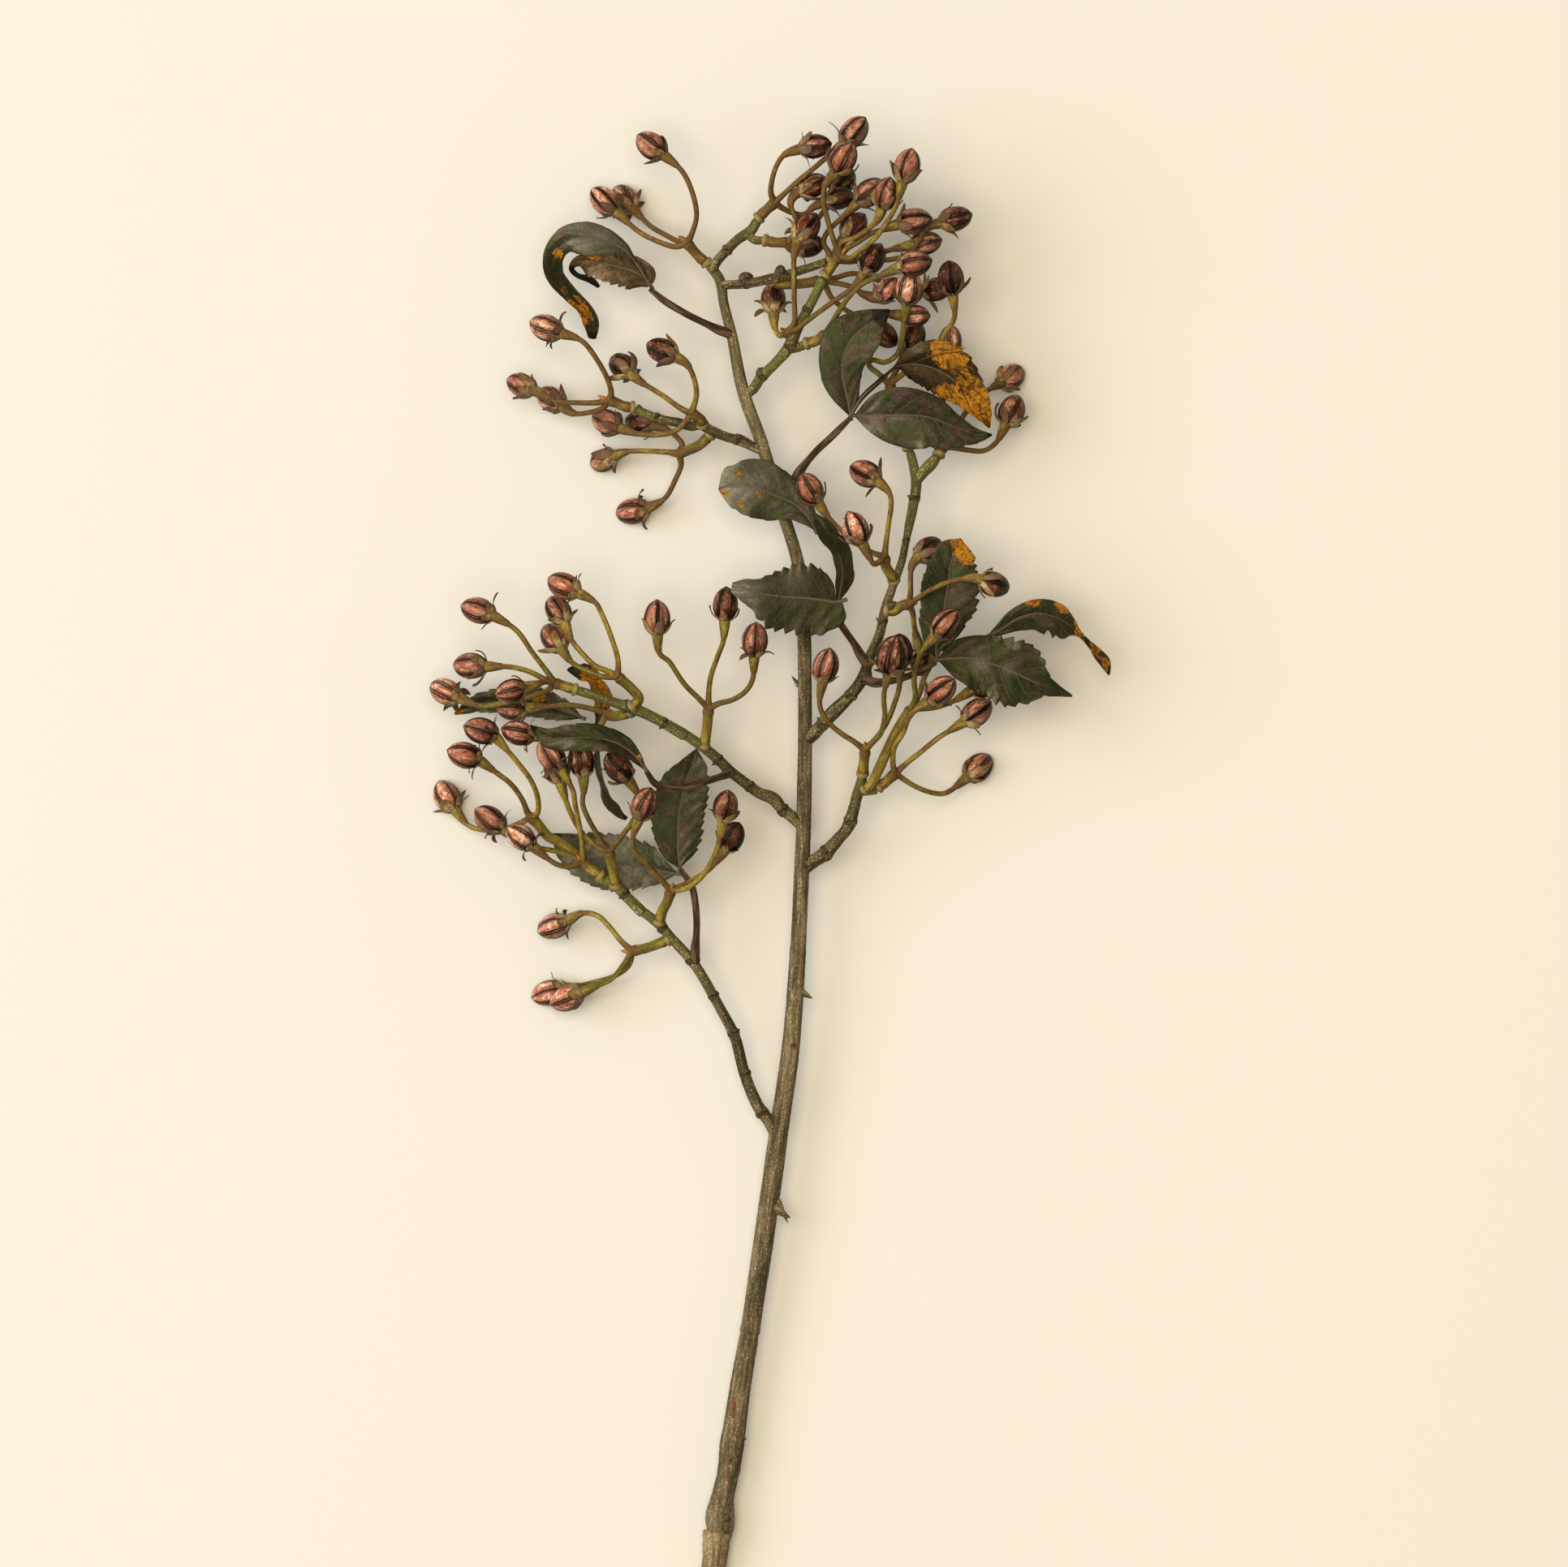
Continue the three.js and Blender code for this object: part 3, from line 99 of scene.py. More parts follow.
GROUPS = {
  "low_left": {
    "branch": [
      [2.5, -85, 14.4, 2.7], [-0.5, -79.5, 15, 2.6], [-5.5, -72.5, 16, 2.4], [-10.5, -60.5, 17.5, 2.2],
      [-15, -44, 19, 2.2], [-21.5, -31.5, 21, 2.1], [-31.5, -14.5, 24, 2.1], [-41, -3.5, 27, 2],
      [-46, 2, 28, 2], [-53, 7.5, 29, 1.9],
    ],
    "ext": [
      [-52.5, 6.5, 28.8, 2.3], [-58.5, 12.5, 30, 2.2], [-63.5, 17.5, 31, 2.1], [-68.5, 20.5, 31.6, 2.2],
    ],
    "twigs": [
      twig_routes(
        [[-41.5, -4, 26.5], [-47.5, -6.5, 25], [-52, -8, 24], [-57, -9, 23]],
        [
          [-61.5, -5, 22.5], [-66.5, 1, 20], [-71.5, 5.5, 18], [-77.5, 6.5, 16.5], [-82.5, 3.5, 15],
          [-89.5, 1, 12.5, 0.98],
        ],
        [
          [-60.5, -14.5, 21.5], [-65.5, -20.5, 19], [-70.5, -23, 17], [-76.5, -25.5, 15.5],
          [-84, -28.5, 14.5],
        ],
        [
          [-58.5, -15, 18], [-64.5, -19.5, 12], [-70.5, -21.5, 8.5], [-78.5, -23.5, 7], [-85.5, -24.5, 6.2],
          [-92, -26.5, 5.5, 0.95],
        ],
      ),
      twig_routes(
        [[-46, 2.5, 28.5], [-44.5, 7.5, 32], [-42.5, 11.5, 35], [-41, 16, 38]],
        [
          [-46, 21.5, 42], [-51.5, 27.5, 47], [-55.5, 32.5, 50.5], [-56.5, 37, 53.5], [-54.5, 44, 57],
          [-51.5, 51.5, 60],
        ],
        [
          [-34.5, 17, 41], [-28.5, 21.5, 44.5], [-24.5, 27.5, 48.5], [-22, 33.5, 51.5], [-20.5, 39.5, 54],
          [-19.5, 44.5, 56], [-18.5, 50.5, 58, 0.95],
        ],
        [[-33.5, 19.5, 36.5], [-25.5, 24.5, 37], [-21.5, 29, 38.5], [-18.5, 33, 40.5], [-16, 38, 43, 0.95]],
      ),
      twig_routes(
        [[-69.5, 21.5, 32.2], [-71.5, 23, 32.6], [-77, 27.5, 33]],
        [[-81.5, 26, 34.5], [-87.5, 26.5, 35.5], [-95.5, 32.5, 36.5], [-102.5, 38, 37.5, 0.95]],
        [[-86, 31.5, 31], [-93.5, 33, 29], [-100.5, 34.5, 27], [-108, 39.5, 26], [-115.5, 45, 25]],
        [[-77.5, 37, 42], [-80, 50.5, 48.5], [-81, 57, 51.5], [-85, 64.5, 53.5], [-90, 71.5, 55]],
      ),
      twig_routes(
        [[-63.5, 17.5, 32], [-64.5, 23.5, 36], [-66.5, 32, 40]],
        [
          [-69.5, 36.5, 43], [-74, 44, 47.5], [-77, 51.5, 50.5], [-76.5, 57.5, 52], [-76.5, 63.5, 53],
          [-77.5, 69.5, 53.5],
        ],
        [
          [-70.5, 33.5, 38], [-77, 39, 36], [-82, 47.5, 37.5], [-85.5, 57.5, 40.5], [-86.5, 61, 41],
          [-88, 66.5, 41, 0.95],
        ],
        [
          [-64, 34.5, 42], [-60.5, 39, 43.5], [-56.5, 44.5, 45], [-53.5, 51.5, 46], [-55, 56.5, 47.5],
          [-58.5, 61.5, 49.5], [-62.5, 66.5, 51.5],
        ],
      ),
      twig_routes(
        [
          [-64, 18, 28.4], [-67.5, 19.5, 24.8], [-73.5, 25, 24], [-79.5, 30, 24], [-86.5, 35.5, 24.2],
          [-91.5, 38, 24.5], [-96, 43.5, 26], [-98.5, 46, 27],
        ],
        [
          [-96, 47.5, 30.5], [-95.5, 53, 35], [-98, 60.5, 41], [-102.5, 67, 45], [-113, 80, 48.5],
          [-118.5, 81.5, 49.5],
        ],
        [
          [-100, 48, 28], [-102, 53, 31], [-106.5, 59.5, 34.5], [-111.5, 63.5, 37], [-118.5, 69.5, 39.5],
          [-125.5, 71.5, 41],
        ],
        [
          [-104.5, 43, 21], [-112.5, 40.5, 15], [-120, 41, 12], [-124.5, 42.5, 10], [-129.5, 47.5, 7.5],
          [-133.5, 54.5, 5.5],
        ],
      ),
    ],
    "petiole": [
      [-31.5, -13.5, 24.4], [-31, -6.5, 27.5], [-30.5, 1.5, 29.5], [-31, 10, 30.3], [-32.5, 17.5, 31],
      [-36.5, 23.5, 31.6],
    ],
    "leaves": [
      [
        [-37.5, 25.5, 31.8, 0.6, 0.6, 0], [-38, 30, 32.2, 6, 6, 0], [-38, 38.5, 33.2, 10, 10, -8],
        [-37.5, 48.5, 34.8, 12, 10.5, -14], [-35.5, 58.5, 36.4, 10.5, 10.5, -10],
        [-32.5, 67.5, 37.6, 5, 7, 0], [-30.5, 74, 38.4, 0.4, 0.4, 0],
      ],
      [
        [-39, 23, 31.2, 0.6, 0.6, 0], [-45, 24, 29.5, 5.5, 5, 0], [-51.5, 25.5, 25.5, 9.5, 9.5, 6],
        [-61.5, 27, 20.5, 12, 11, 6], [-73.5, 30, 15.5, 11, 10, 6], [-82.5, 34, 13, 8, 6, 0],
        [-90, 39, 11, 0.4, 0.4, 0],
      ],
    ],
  },
  "mid_left": {
    "branch": [
      [13.5, 42, 21.6, 2.5], [9.5, 45.5, 22, 2.5], [4.5, 49.5, 22.6, 2.4], [1, 53.5, 23.4, 2.7],
      [-5, 56, 24.6, 2.3], [-10.5, 60, 26.5, 2.2], [-17, 65, 28.8, 2.2], [-21.5, 69.5, 31, 2.1],
      [-27.5, 74.5, 34, 2.1], [-36, 80.5, 37.5, 2],
    ],
    "ext": [
      [-35, 79.5, 37, 2.5], [-44.5, 85, 41, 2.2], [-51.5, 88.5, 44, 2.2], [-57.5, 91, 46.6, 2.4],
      [-62.5, 92.5, 48, 2], [-69.5, 95, 50, 1.9], [-79.5, 98, 52, 1.9],
    ],
    "twigs": [
      twig_routes(
        [[-27.5, 74.5, 34], [-26.5, 80.5, 36.5], [-26, 85.5, 38.5], [-25.5, 90.5, 40.5]],
        [
          [-30, 95, 43], [-35.5, 100.5, 46], [-41.5, 109.5, 50], [-45.5, 113, 51.5], [-46.5, 119.5, 52.5],
          [-46.5, 127.5, 53],
        ],
        [
          [-25.5, 96.5, 42.5], [-24.5, 104, 46.5], [-21.5, 112.5, 50.5], [-19.5, 118, 52.5],
          [-19, 124.5, 53.5], [-18.5, 133, 54, 0.97],
        ],
        [
          [-21.5, 92.5, 41.5], [-16, 94, 42.5], [-10.5, 97.5, 44.5], [-7.5, 102.5, 46.5], [-7, 110.5, 49],
          [-6.5, 118.5, 51],
        ],
      ),
      twig_routes(
        [[-57, 91, 48], [-54, 94.5, 50.5], [-56.5, 98, 52], [-62.5, 103.5, 55]],
        [
          [-62.5, 110.5, 58], [-65.5, 120.5, 61], [-69, 129, 62], [-71.5, 133.5, 62], [-77.5, 137, 60.5],
          [-84.5, 140.5, 58.5],
        ],
        [
          [-67.5, 106, 56], [-72, 108, 57], [-78.5, 114.5, 58], [-81.5, 118.5, 57.5], [-83.5, 124.5, 55.5],
          [-87, 130.5, 52.5, 0.95],
        ],
        [
          [-68.5, 103.5, 53.5], [-74.5, 105.5, 52], [-81.5, 109.5, 49.5], [-85, 114, 46.5],
          [-89, 119.5, 42, 0.97],
        ],
      ),
      twig_routes(
        [[-79.5, 98, 52.2], [-84, 99.5, 53], [-88.5, 101, 54]],
        [
          [-91, 105, 56.5], [-97.5, 113.5, 60.5], [-104, 122.5, 62.5], [-112.5, 128.5, 61.5],
          [-119.5, 130.5, 60],
        ],
        [
          [-92.5, 102.5, 54], [-98.5, 105.5, 52], [-106.5, 107.5, 50], [-115.5, 107.5, 47.5],
          [-123, 108, 45],
        ],
        [
          [-90.5, 98.5, 51.5], [-100.5, 94.5, 46.5], [-111, 92.5, 41.5], [-118.5, 91.5, 38],
          [-126, 94, 34.5], [-133.5, 97.5, 31],
        ],
        [[-92, 101.5, 57], [-95, 100.5, 60], [-99.5, 99.5, 62.5], [-106, 97.5, 64, 0.9]],
      ),
      twig_routes(
        [[-57, 89.5, 45], [-60.5, 88, 42], [-64.5, 87.5, 40.5], [-67.5, 88.5, 40]],
        [[-74, 90.5, 41], [-82.5, 92, 40], [-90, 91.5, 36], [-99, 90.5, 34], [-106, 90.5, 33, 0.9]],
        [[-70, 83.5, 40], [-76, 79.5, 41.5], [-84, 78.5, 43], [-96, 78.5, 45], [-103.5, 80.5, 46, 0.95]],
      ),
    ],
    "petiole": [
      [-17, 64.5, 29.5], [-18.5, 63.5, 36], [-22.5, 62, 42], [-27.5, 60.5, 46.5], [-36, 58, 49],
      [-43.5, 58, 52.5], [-48, 60.5, 55], [-50, 63.5, 56.5],
    ],
    "leaves": [
      [
        [-51.5, 66, 57.5, 0.6, 0.6, 0], [-56, 71.5, 59.5, 3, 3, 20], [-62.5, 76, 61.5, 5, 5.5, 25],
        [-71.5, 78.5, 63, 6, 6, 20], [-81.5, 78.5, 63, 5.5, 5.5, 10], [-90, 78.5, 61.5, 4.5, 4, 0],
        [-98, 83.5, 59, 0.4, 0.4, 0],
      ],
      [
        [-71, 74.5, 47, 0.5, 0.5, 70], [-70.5, 68.5, 44, 4, 4, 72], [-68.5, 59, 40, 4.5, 4.5, 70],
        [-64.5, 50.5, 37, 4, 4, 65], [-59, 45.5, 35, 0.4, 0.4, 60],
      ],
      [
        [-72, 82, 35, 0.5, 0.5, 60], [-70.5, 88.5, 34.5, 4, 4, 55], [-69.5, 95.5, 35, 5, 5, 50],
        [-73, 103, 36, 4.5, 4.5, 40], [-78.5, 105.5, 37, 3.5, 3.5, 20], [-83.5, 106.5, 37, 0.4, 0.4, 0],
      ],
      [
        [-78, 87, 31, 0.5, 0.5, 0], [-85, 89.5, 28.5, 4.5, 4.5, 10], [-96.5, 92.5, 25.5, 6, 6, 15],
        [-108.5, 93.5, 23, 5.5, 5.5, 15], [-120, 93, 20.5, 4, 4, 0], [-130, 88.5, 18, 0.4, 0.4, 0],
      ],
    ],
  },
  "low_right": {
    "branch": [
      [13.5, 25, 20, 2.8], [17.5, 28, 20.8, 2.8], [22.5, 31.5, 22, 2.9], [28, 37.5, 24.2, 2.4],
      [31, 41, 25.8, 2.4], [32, 43, 26.5, 2.6], [34, 49.5, 29, 2.3], [35.5, 55.5, 31, 2.3],
      [36.5, 58.5, 32, 2.3], [37.5, 63, 34.6, 2.1],
    ],
    "side": [[35.5, 56.5, 31.3, 2.1], [39.5, 57, 31.6, 2], [43.5, 57.5, 31.9, 2]],
    "twigs": [
      twig_routes(
        [[37.5, 63.5, 35], [38, 69, 39.5], [38.5, 73.5, 42.5]],
        [
          [34, 77, 44.5], [28.5, 80.5, 46], [23, 85.5, 47.5], [20, 91.5, 48.5], [20.5, 99.5, 50.5],
          [22.5, 108, 52],
        ],
        [
          [42.5, 77.5, 47], [45, 80.5, 51], [46.5, 88, 58], [46, 95, 63], [47.5, 103.5, 68],
          [49.5, 112, 72, 1.2],
        ],
        [
          [43.5, 79, 43.5], [47.5, 85, 44], [50.5, 92.5, 46], [52.5, 99.5, 50], [52.5, 106.5, 53],
          [52.5, 114, 56],
        ],
      ),
      twig_routes(
        [[43.5, 58, 32], [47, 60.5, 32.6], [51, 64, 34]],
        [
          [50, 67.5, 37.5], [50.5, 74.5, 42.5], [54, 80.5, 47], [57, 87.5, 50.5], [64.5, 94, 55],
          [69.5, 98, 57.5],
        ],
        [
          [56, 68.5, 35.5], [61, 72.5, 37], [68.5, 78.5, 38], [72.5, 81, 37.5], [79.5, 85, 36],
          [84.5, 89, 34.5],
        ],
        [
          [54.5, 61.5, 29.5], [59.5, 58.5, 25], [66.5, 56, 19.5], [72, 56, 14.5], [80, 61.5, 9],
          [85.5, 66.5, 5.5],
        ],
      ),
      twig_routes(
        [
          [38.5, 57.5, 32.6], [41, 59.5, 36], [44.5, 66.5, 37], [48, 74.5, 37.5], [53, 84, 39],
          [57.5, 90.5, 42],
        ],
        [
          [59, 95, 47.5], [58.5, 103, 55.5], [60.5, 111.5, 62.5], [63, 115.5, 65.5], [66.5, 119.5, 67.5],
          [71.5, 125, 69.5],
        ],
        [[60.5, 96, 44.5], [62.5, 102.5, 42.5], [65.5, 109, 41], [67.5, 114.5, 40], [70, 120.5, 39, 0.9]],
        [[61.5, 90.5, 44], [67.5, 91, 42], [74.5, 93.5, 40], [80.5, 97.5, 38.5], [87, 100.5, 37, 0.9]],
      ),
    ],
  },
  "high_right": {
    "branch": [
      [13.5, 77, 23.6, 2.6], [17, 79.5, 24.8, 2.7], [20.5, 83.5, 26.5, 2.6], [25, 88.5, 28.6, 2.9],
      [32.5, 96, 33, 2.4], [37.5, 103, 37, 2.4], [40.5, 111.5, 41, 2.2], [44.5, 121, 44, 2],
      [46.5, 130.5, 46, 1.9], [49.5, 139.5, 47, 1.8], [53.5, 151, 47, 1.6], [55.5, 160.5, 46.4, 1.5],
      [56.5, 165.5, 46, 1.9], [58, 172.5, 45.5, 2.1], [59.5, 182.5, 45, 2.2], [58.5, 189.5, 43, 2],
      [57, 195.5, 40.5, 1.9],
    ],
    "side": [[59.5, 183.5, 45, 2], [62.5, 187.5, 44, 2.3], [65.5, 190.5, 42.5, 2.4], [68, 193.5, 41, 1.9]],
    "twigs": [
      twig_routes(
        [[50.5, 142.5, 47.3], [49.5, 144.5, 49.5], [47, 148.5, 52.5], [46.5, 152.5, 54.5]],
        [
          [47, 158.5, 57.5], [48, 166, 60], [49, 173, 61], [48.5, 178, 60.5], [45, 183, 58],
          [38.5, 186.5, 54.5],
        ],
        [[44.5, 150.5, 57.5], [42, 149.5, 59], [40, 152.5, 60], [37.5, 157.5, 61], [34.5, 164, 61.5]],
        [
          [42, 154, 50.5], [33.5, 159, 45], [27.5, 164.5, 42], [23, 169.5, 41.5], [19.5, 174.5, 42.5],
          [16, 180.5, 44, 0.97],
        ],
      ),
      twig_routes(
        [[46.5, 130.5, 47], [50.5, 130.5, 47.7], [53.5, 132.5, 49], [56.5, 133, 50.5]],
        [
          [57, 137.5, 54], [57, 143, 56.5], [57.5, 148.5, 56.5], [59.5, 152.5, 54],
          [64.5, 155.5, 50.5, 0.95],
        ],
        [
          [61.5, 136.5, 58], [66.5, 139.5, 62], [74, 142.5, 65.5], [82.5, 143.5, 67.5], [86.5, 142.5, 68.5],
          [91, 141, 66, 0.95],
        ],
        [[58, 129.5, 47], [58.5, 125, 43.5], [59.5, 120, 40], [60.5, 116, 38], [61.5, 110, 36, 0.9]],
      ),
      twig_routes(
        [[68.5, 194, 40.5], [69.5, 196.5, 39], [71, 198, 38]],
        [
          [75, 197.5, 36.5], [81.5, 196.5, 33], [87.5, 196.5, 29.5], [92.5, 200, 26], [96, 206, 23],
          [99, 213, 20],
        ],
        [[74.5, 203.5, 33], [81, 213.5, 26], [88.5, 221, 18.5], [93, 223.5, 12], [99, 227.5, 5.7, 0.95]],
        [[70.5, 204, 35], [70.5, 215, 33], [71.5, 226.5, 32], [73, 235, 31.5], [73.5, 241.5, 31.5, 0.9]],
      ),
      twig_routes(
        [[56.5, 196.5, 40], [54.5, 205, 37], [51.5, 215, 35], [48.5, 223.5, 34.5]],
        [
          [44.5, 227.5, 34], [40, 231.5, 34], [41.5, 233.5, 34.5], [46.5, 232.5, 36], [51.5, 235.5, 38.5],
          [53.5, 241.5, 42], [54.5, 248.5, 43.5], [55.5, 255.5, 46], [56.5, 262.5, 48],
        ],
        [
          [54, 227.5, 35.5], [61, 232.5, 37], [68.5, 238.5, 39.5], [71.5, 244.5, 42.5], [75, 250.5, 44.5],
          [74.5, 258.5, 47.5], [73.5, 266.5, 50.5],
        ],
        [[51.5, 229.5, 31.5], [54, 234, 29.5], [56.5, 238, 29], [58.5, 243, 29, 0.9]],
      ),
    ],
    "petiole": [
      [37.5, 103, 38.5], [42.5, 101, 40], [48, 101.5, 42.5], [54, 103, 45], [60.5, 105.5, 47.5],
      [66, 108.5, 49.3],
    ],
    "petiole2": [
      [39.5, 108.5, 40.5], [37.5, 111, 42.5], [34, 117, 45.5], [30.5, 122, 48.5], [27.5, 127, 50.5],
      [27, 132.5, 51.5],
    ],
    "leaves": [
      [
        [67.5, 111.5, 50.3, 0.6, 0.6, 0], [67.5, 116.5, 51.5, 5, 4, 0], [69.5, 123.5, 53, 9, 8, 0],
        [71, 132.5, 54.3, 10, 12.5, 0], [72.5, 141.5, 55.1, 11, 12.5, 5], [73.5, 149.5, 55.6, 9, 10.5, 5],
        [75.5, 155.5, 55.2, 6, 8, 0], [77.5, 160, 54.6, 1.5, 3, 0],
      ],
      [
        [68.5, 110.5, 49, 0.6, 0.6, 0], [74, 111, 48.5, 6, 7, 0], [81.5, 111, 48, 9, 11, -8],
        [91.5, 108.5, 47.5, 12, 13.5, -10], [100, 105, 46.8, 13, 14.5, -6],
        [107.5, 101.5, 45.8, 10, 10, -3], [112.5, 99.5, 45, 4.5, 4.5, 0], [123.5, 95.5, 43, 0.4, 0.4, 0],
      ],
      [
        [89.5, 120.5, 41, 0.6, 0.6, 0], [94, 123, 42.5, 2.5, 2.5, 15], [101, 127.5, 45, 4.5, 6, 25],
        [109, 129.5, 46, 5.5, 7, 15], [117.5, 127.5, 44.5, 6, 7.5, -5], [122.5, 124.5, 42, 3.5, 6.5, -15],
        [126, 121.5, 39.5, 1.4, 1.6, -20], [130, 117.5, 36, 1.2, 1.2, -20], [134, 113, 30, 2.2, 2.2, -30],
        [137.5, 108.5, 26, 3, 2.2, -30], [139, 104.5, 24, 0.8, 0.8, -30],
      ],
      [
        [29, 134.5, 52.4, 5.5, 0.6, 0], [27, 134, 52.8, 9.5, 1.2, 0], [23.5, 134.5, 53.2, 13, 8, 0],
        [15, 135.5, 54.5, 14.5, 14, -5], [6.5, 136, 56, 14, 13, -8], [-1.5, 137, 57.5, 12.5, 9, -4],
        [-6.5, 138, 58.2, 6.8, 5.5, 0], [-11.5, 139.5, 58.7, 4.6, 3.8, 0], [-16, 140.5, 59, 2.4, 1.4, 0],
      ],
      [
        [27, 134, 51, 0.5, 0.5, 50], [28.5, 141, 49.5, 5, 5, 55], [29, 147.5, 49, 7, 7, 58],
        [27, 155, 49, 8, 8, 55], [23, 162, 48.5, 6, 6, 45], [17, 171, 47.5, 0.4, 0.4, 30],
      ],
      [
        [18, 164, 37.4, 0.5, 0.5, 0], [15, 169, 36.8, 4, 4, 0], [9.5, 174.5, 36.2, 7.5, 7.5, 0],
        [1.5, 178, 36.2, 11, 11, 4], [-7.5, 181, 37, 12, 12, 6], [-15.5, 181.5, 37.5, 9, 8.5, 0],
        [-21.5, 180.5, 37, 0.4, 0.4, 0],
      ],
    ],
  },
  "high_left": {
    "branch": [
      [-3.5, 196.5, 29.4, 2], [-8, 198.5, 29.6, 2], [-12, 200.5, 30, 2.3], [-16, 201.5, 30.4, 2],
      [-19.5, 202.5, 31, 2], [-24, 204.5, 31.5, 2], [-29.5, 207, 32, 1.9], [-32.5, 206.5, 32, 2],
      [-38.5, 208, 32, 1.9], [-44, 209, 32, 1.8], [-53.5, 212.5, 32, 1.8], [-55.5, 214, 32.3, 2.2],
    ],
    "twigs": [
      twig_routes(
        [[-28, 206.5, 33], [-29, 209, 35.5], [-32.5, 211.5, 37.5]],
        [
          [-30.5, 219.5, 41.5], [-32, 227, 45], [-34.5, 231.5, 46.5], [-40, 235, 46.5],
          [-44.5, 237, 45.5, 0.95],
        ],
        [[-36, 213, 38.5], [-44, 218.5, 39.5], [-53.5, 224.5, 39.5], [-58, 228, 39], [-61, 231, 35, 0.95]],
        [
          [-36, 207, 36.5], [-40, 204, 32], [-48, 203, 27], [-54.5, 203.5, 24], [-60.5, 204.5, 21],
          [-67.5, 208.5, 18, 0.95],
        ],
      ),
      twig_routes(
        [[-56, 214, 32.6], [-60, 214.5, 33], [-63.5, 216, 33.5], [-66.5, 217, 34]],
        [
          [-65.5, 219.5, 36], [-66.5, 224.5, 39], [-71, 233, 43], [-77.5, 241, 45.5], [-84.5, 243.5, 44.5],
          [-92, 246.5, 42.5],
        ],
        [
          [-71.5, 216, 33.5], [-80.5, 216, 32.5], [-87.5, 216.5, 31], [-96.5, 221, 28.5],
          [-102.5, 223.5, 26.5, 0.9],
        ],
        [[-69, 214, 30], [-76, 212, 25.5], [-81, 212, 22], [-84.5, 214, 19.5], [-90.5, 218, 15.5, 0.95]],
      ),
      twig_routes(
        [[-24.5, 203.5, 30], [-28.5, 199.5, 27.5], [-31, 198, 26.5], [-38, 195.5, 24]],
        [[-42.5, 196, 22.5], [-50, 196.5, 20], [-58.5, 196.5, 16], [-64.5, 195, 12], [-69, 193, 8, 0.9]],
        [[-37, 191, 21.5], [-39.5, 184.5, 17.5], [-44, 177, 12], [-50.5, 173, 8], [-57, 172, 5.5]],
        [[-36.5, 199, 22.5], [-39.5, 203, 20], [-44, 206, 17], [-48.5, 207.5, 14.5], [-54, 208.5, 12, 0.9]],
      ),
    ],
  },
  "top_right": {
    "branch": [
      [-11, 219.5, 29.6, 2.2], [-7.5, 221.5, 30.4, 2.1], [-4.5, 226, 31.8, 2.2], [2, 232.5, 34, 2.1],
      [6.5, 237.5, 36, 2.4], [8.5, 241, 37.4, 2.5], [10, 245, 39, 2.5], [12.5, 249.5, 41, 2.1],
      [16.5, 256.5, 43.4, 2], [21.5, 266.5, 46.6, 2],
    ],
    "side": [[6.5, 238, 36, 2.2], [10.5, 238.5, 36.2, 2], [13.5, 239.5, 36.6, 2]],
    "twigs": [
      twig_routes(
        [[22, 267.5, 47], [24.5, 271, 48.6], [28, 275.5, 51]],
        [
          [26.5, 279.5, 53.5], [23.5, 288.5, 58.5], [21.5, 297.5, 62], [22, 303, 64], [26.5, 309.5, 66.5],
          [29.5, 314.5, 68],
        ],
        [
          [32, 274.5, 53], [36, 277, 55.5], [43, 283, 60], [48, 290, 63], [51, 295.5, 65],
          [53.5, 304.5, 66.5], [55.5, 311.5, 68],
        ],
        [
          [28.5, 280.5, 54], [33.5, 282.5, 56], [39.5, 286, 57.5], [43.5, 290, 59], [45.5, 294.5, 60],
          [47, 300.5, 61.5, 0.95],
        ],
        [
          [31, 278.5, 52], [35.5, 281, 53], [41, 284.5, 54], [46.5, 286.5, 55], [51.5, 288.5, 56],
          [58.5, 289.5, 56.5],
        ],
      ),
      twig_routes(
        [[14, 240, 36.8], [19, 241.5, 39], [22.5, 244, 41]],
        [
          [24, 246.5, 43.5], [27.5, 252.5, 48], [32.5, 259.5, 52], [37.5, 264, 54], [44, 267, 55.5],
          [51, 270.5, 56.5], [58.5, 272, 57.5],
        ],
        [
          [26, 248.5, 40], [30.5, 251, 39], [37.5, 252, 38.5], [45, 252.5, 38], [52.5, 251.5, 37.5],
          [59, 251.5, 37, 0.85],
        ],
      ),
      twig_routes(
        [[8.5, 243.5, 39.5], [6.5, 244.5, 41]],
        [
          [9.5, 248.5, 44], [9.5, 258.5, 47.5], [9.5, 266.5, 49.5], [9.5, 275.5, 51.5], [10.5, 281.5, 54],
          [14.5, 287, 52],
        ],
        [[3.5, 243.5, 38], [1.5, 247, 35.5], [1, 252.5, 33.5], [1, 259, 31, 0.95]],
        [
          [10, 245.5, 44], [14.5, 249, 44.5], [24, 256, 45], [32, 261.5, 45.5], [36, 265.5, 46],
          [38.5, 269.5, 46.5], [41.5, 274.5, 47, 0.95],
        ],
      ),
    ],
    "petiole": [
      [9.5, 183.5, 29], [11.5, 187.5, 32], [18.5, 196, 36], [25.5, 202.5, 39.5], [31.5, 208.5, 42.5],
    ],
    "leaves": [
      [
        [32.5, 210.5, 43, 0.6, 0.6, 0], [31.5, 216.5, 44, 5, 4.5, 0], [29.5, 225, 45.5, 8.5, 7.5, -8],
        [29.5, 233, 47, 10, 9.5, -12], [32.5, 241, 48.5, 11, 11.5, -10], [39.5, 247.5, 50, 7, 9, 0],
        [48.5, 253.5, 51, 0.4, 0.4, 0],
      ],
      [
        [34.5, 210.5, 43, 0.6, 0.6, 0], [39.5, 210.5, 44, 6.5, 5.5, 0], [46.5, 210.5, 45.5, 10.5, 10, 6],
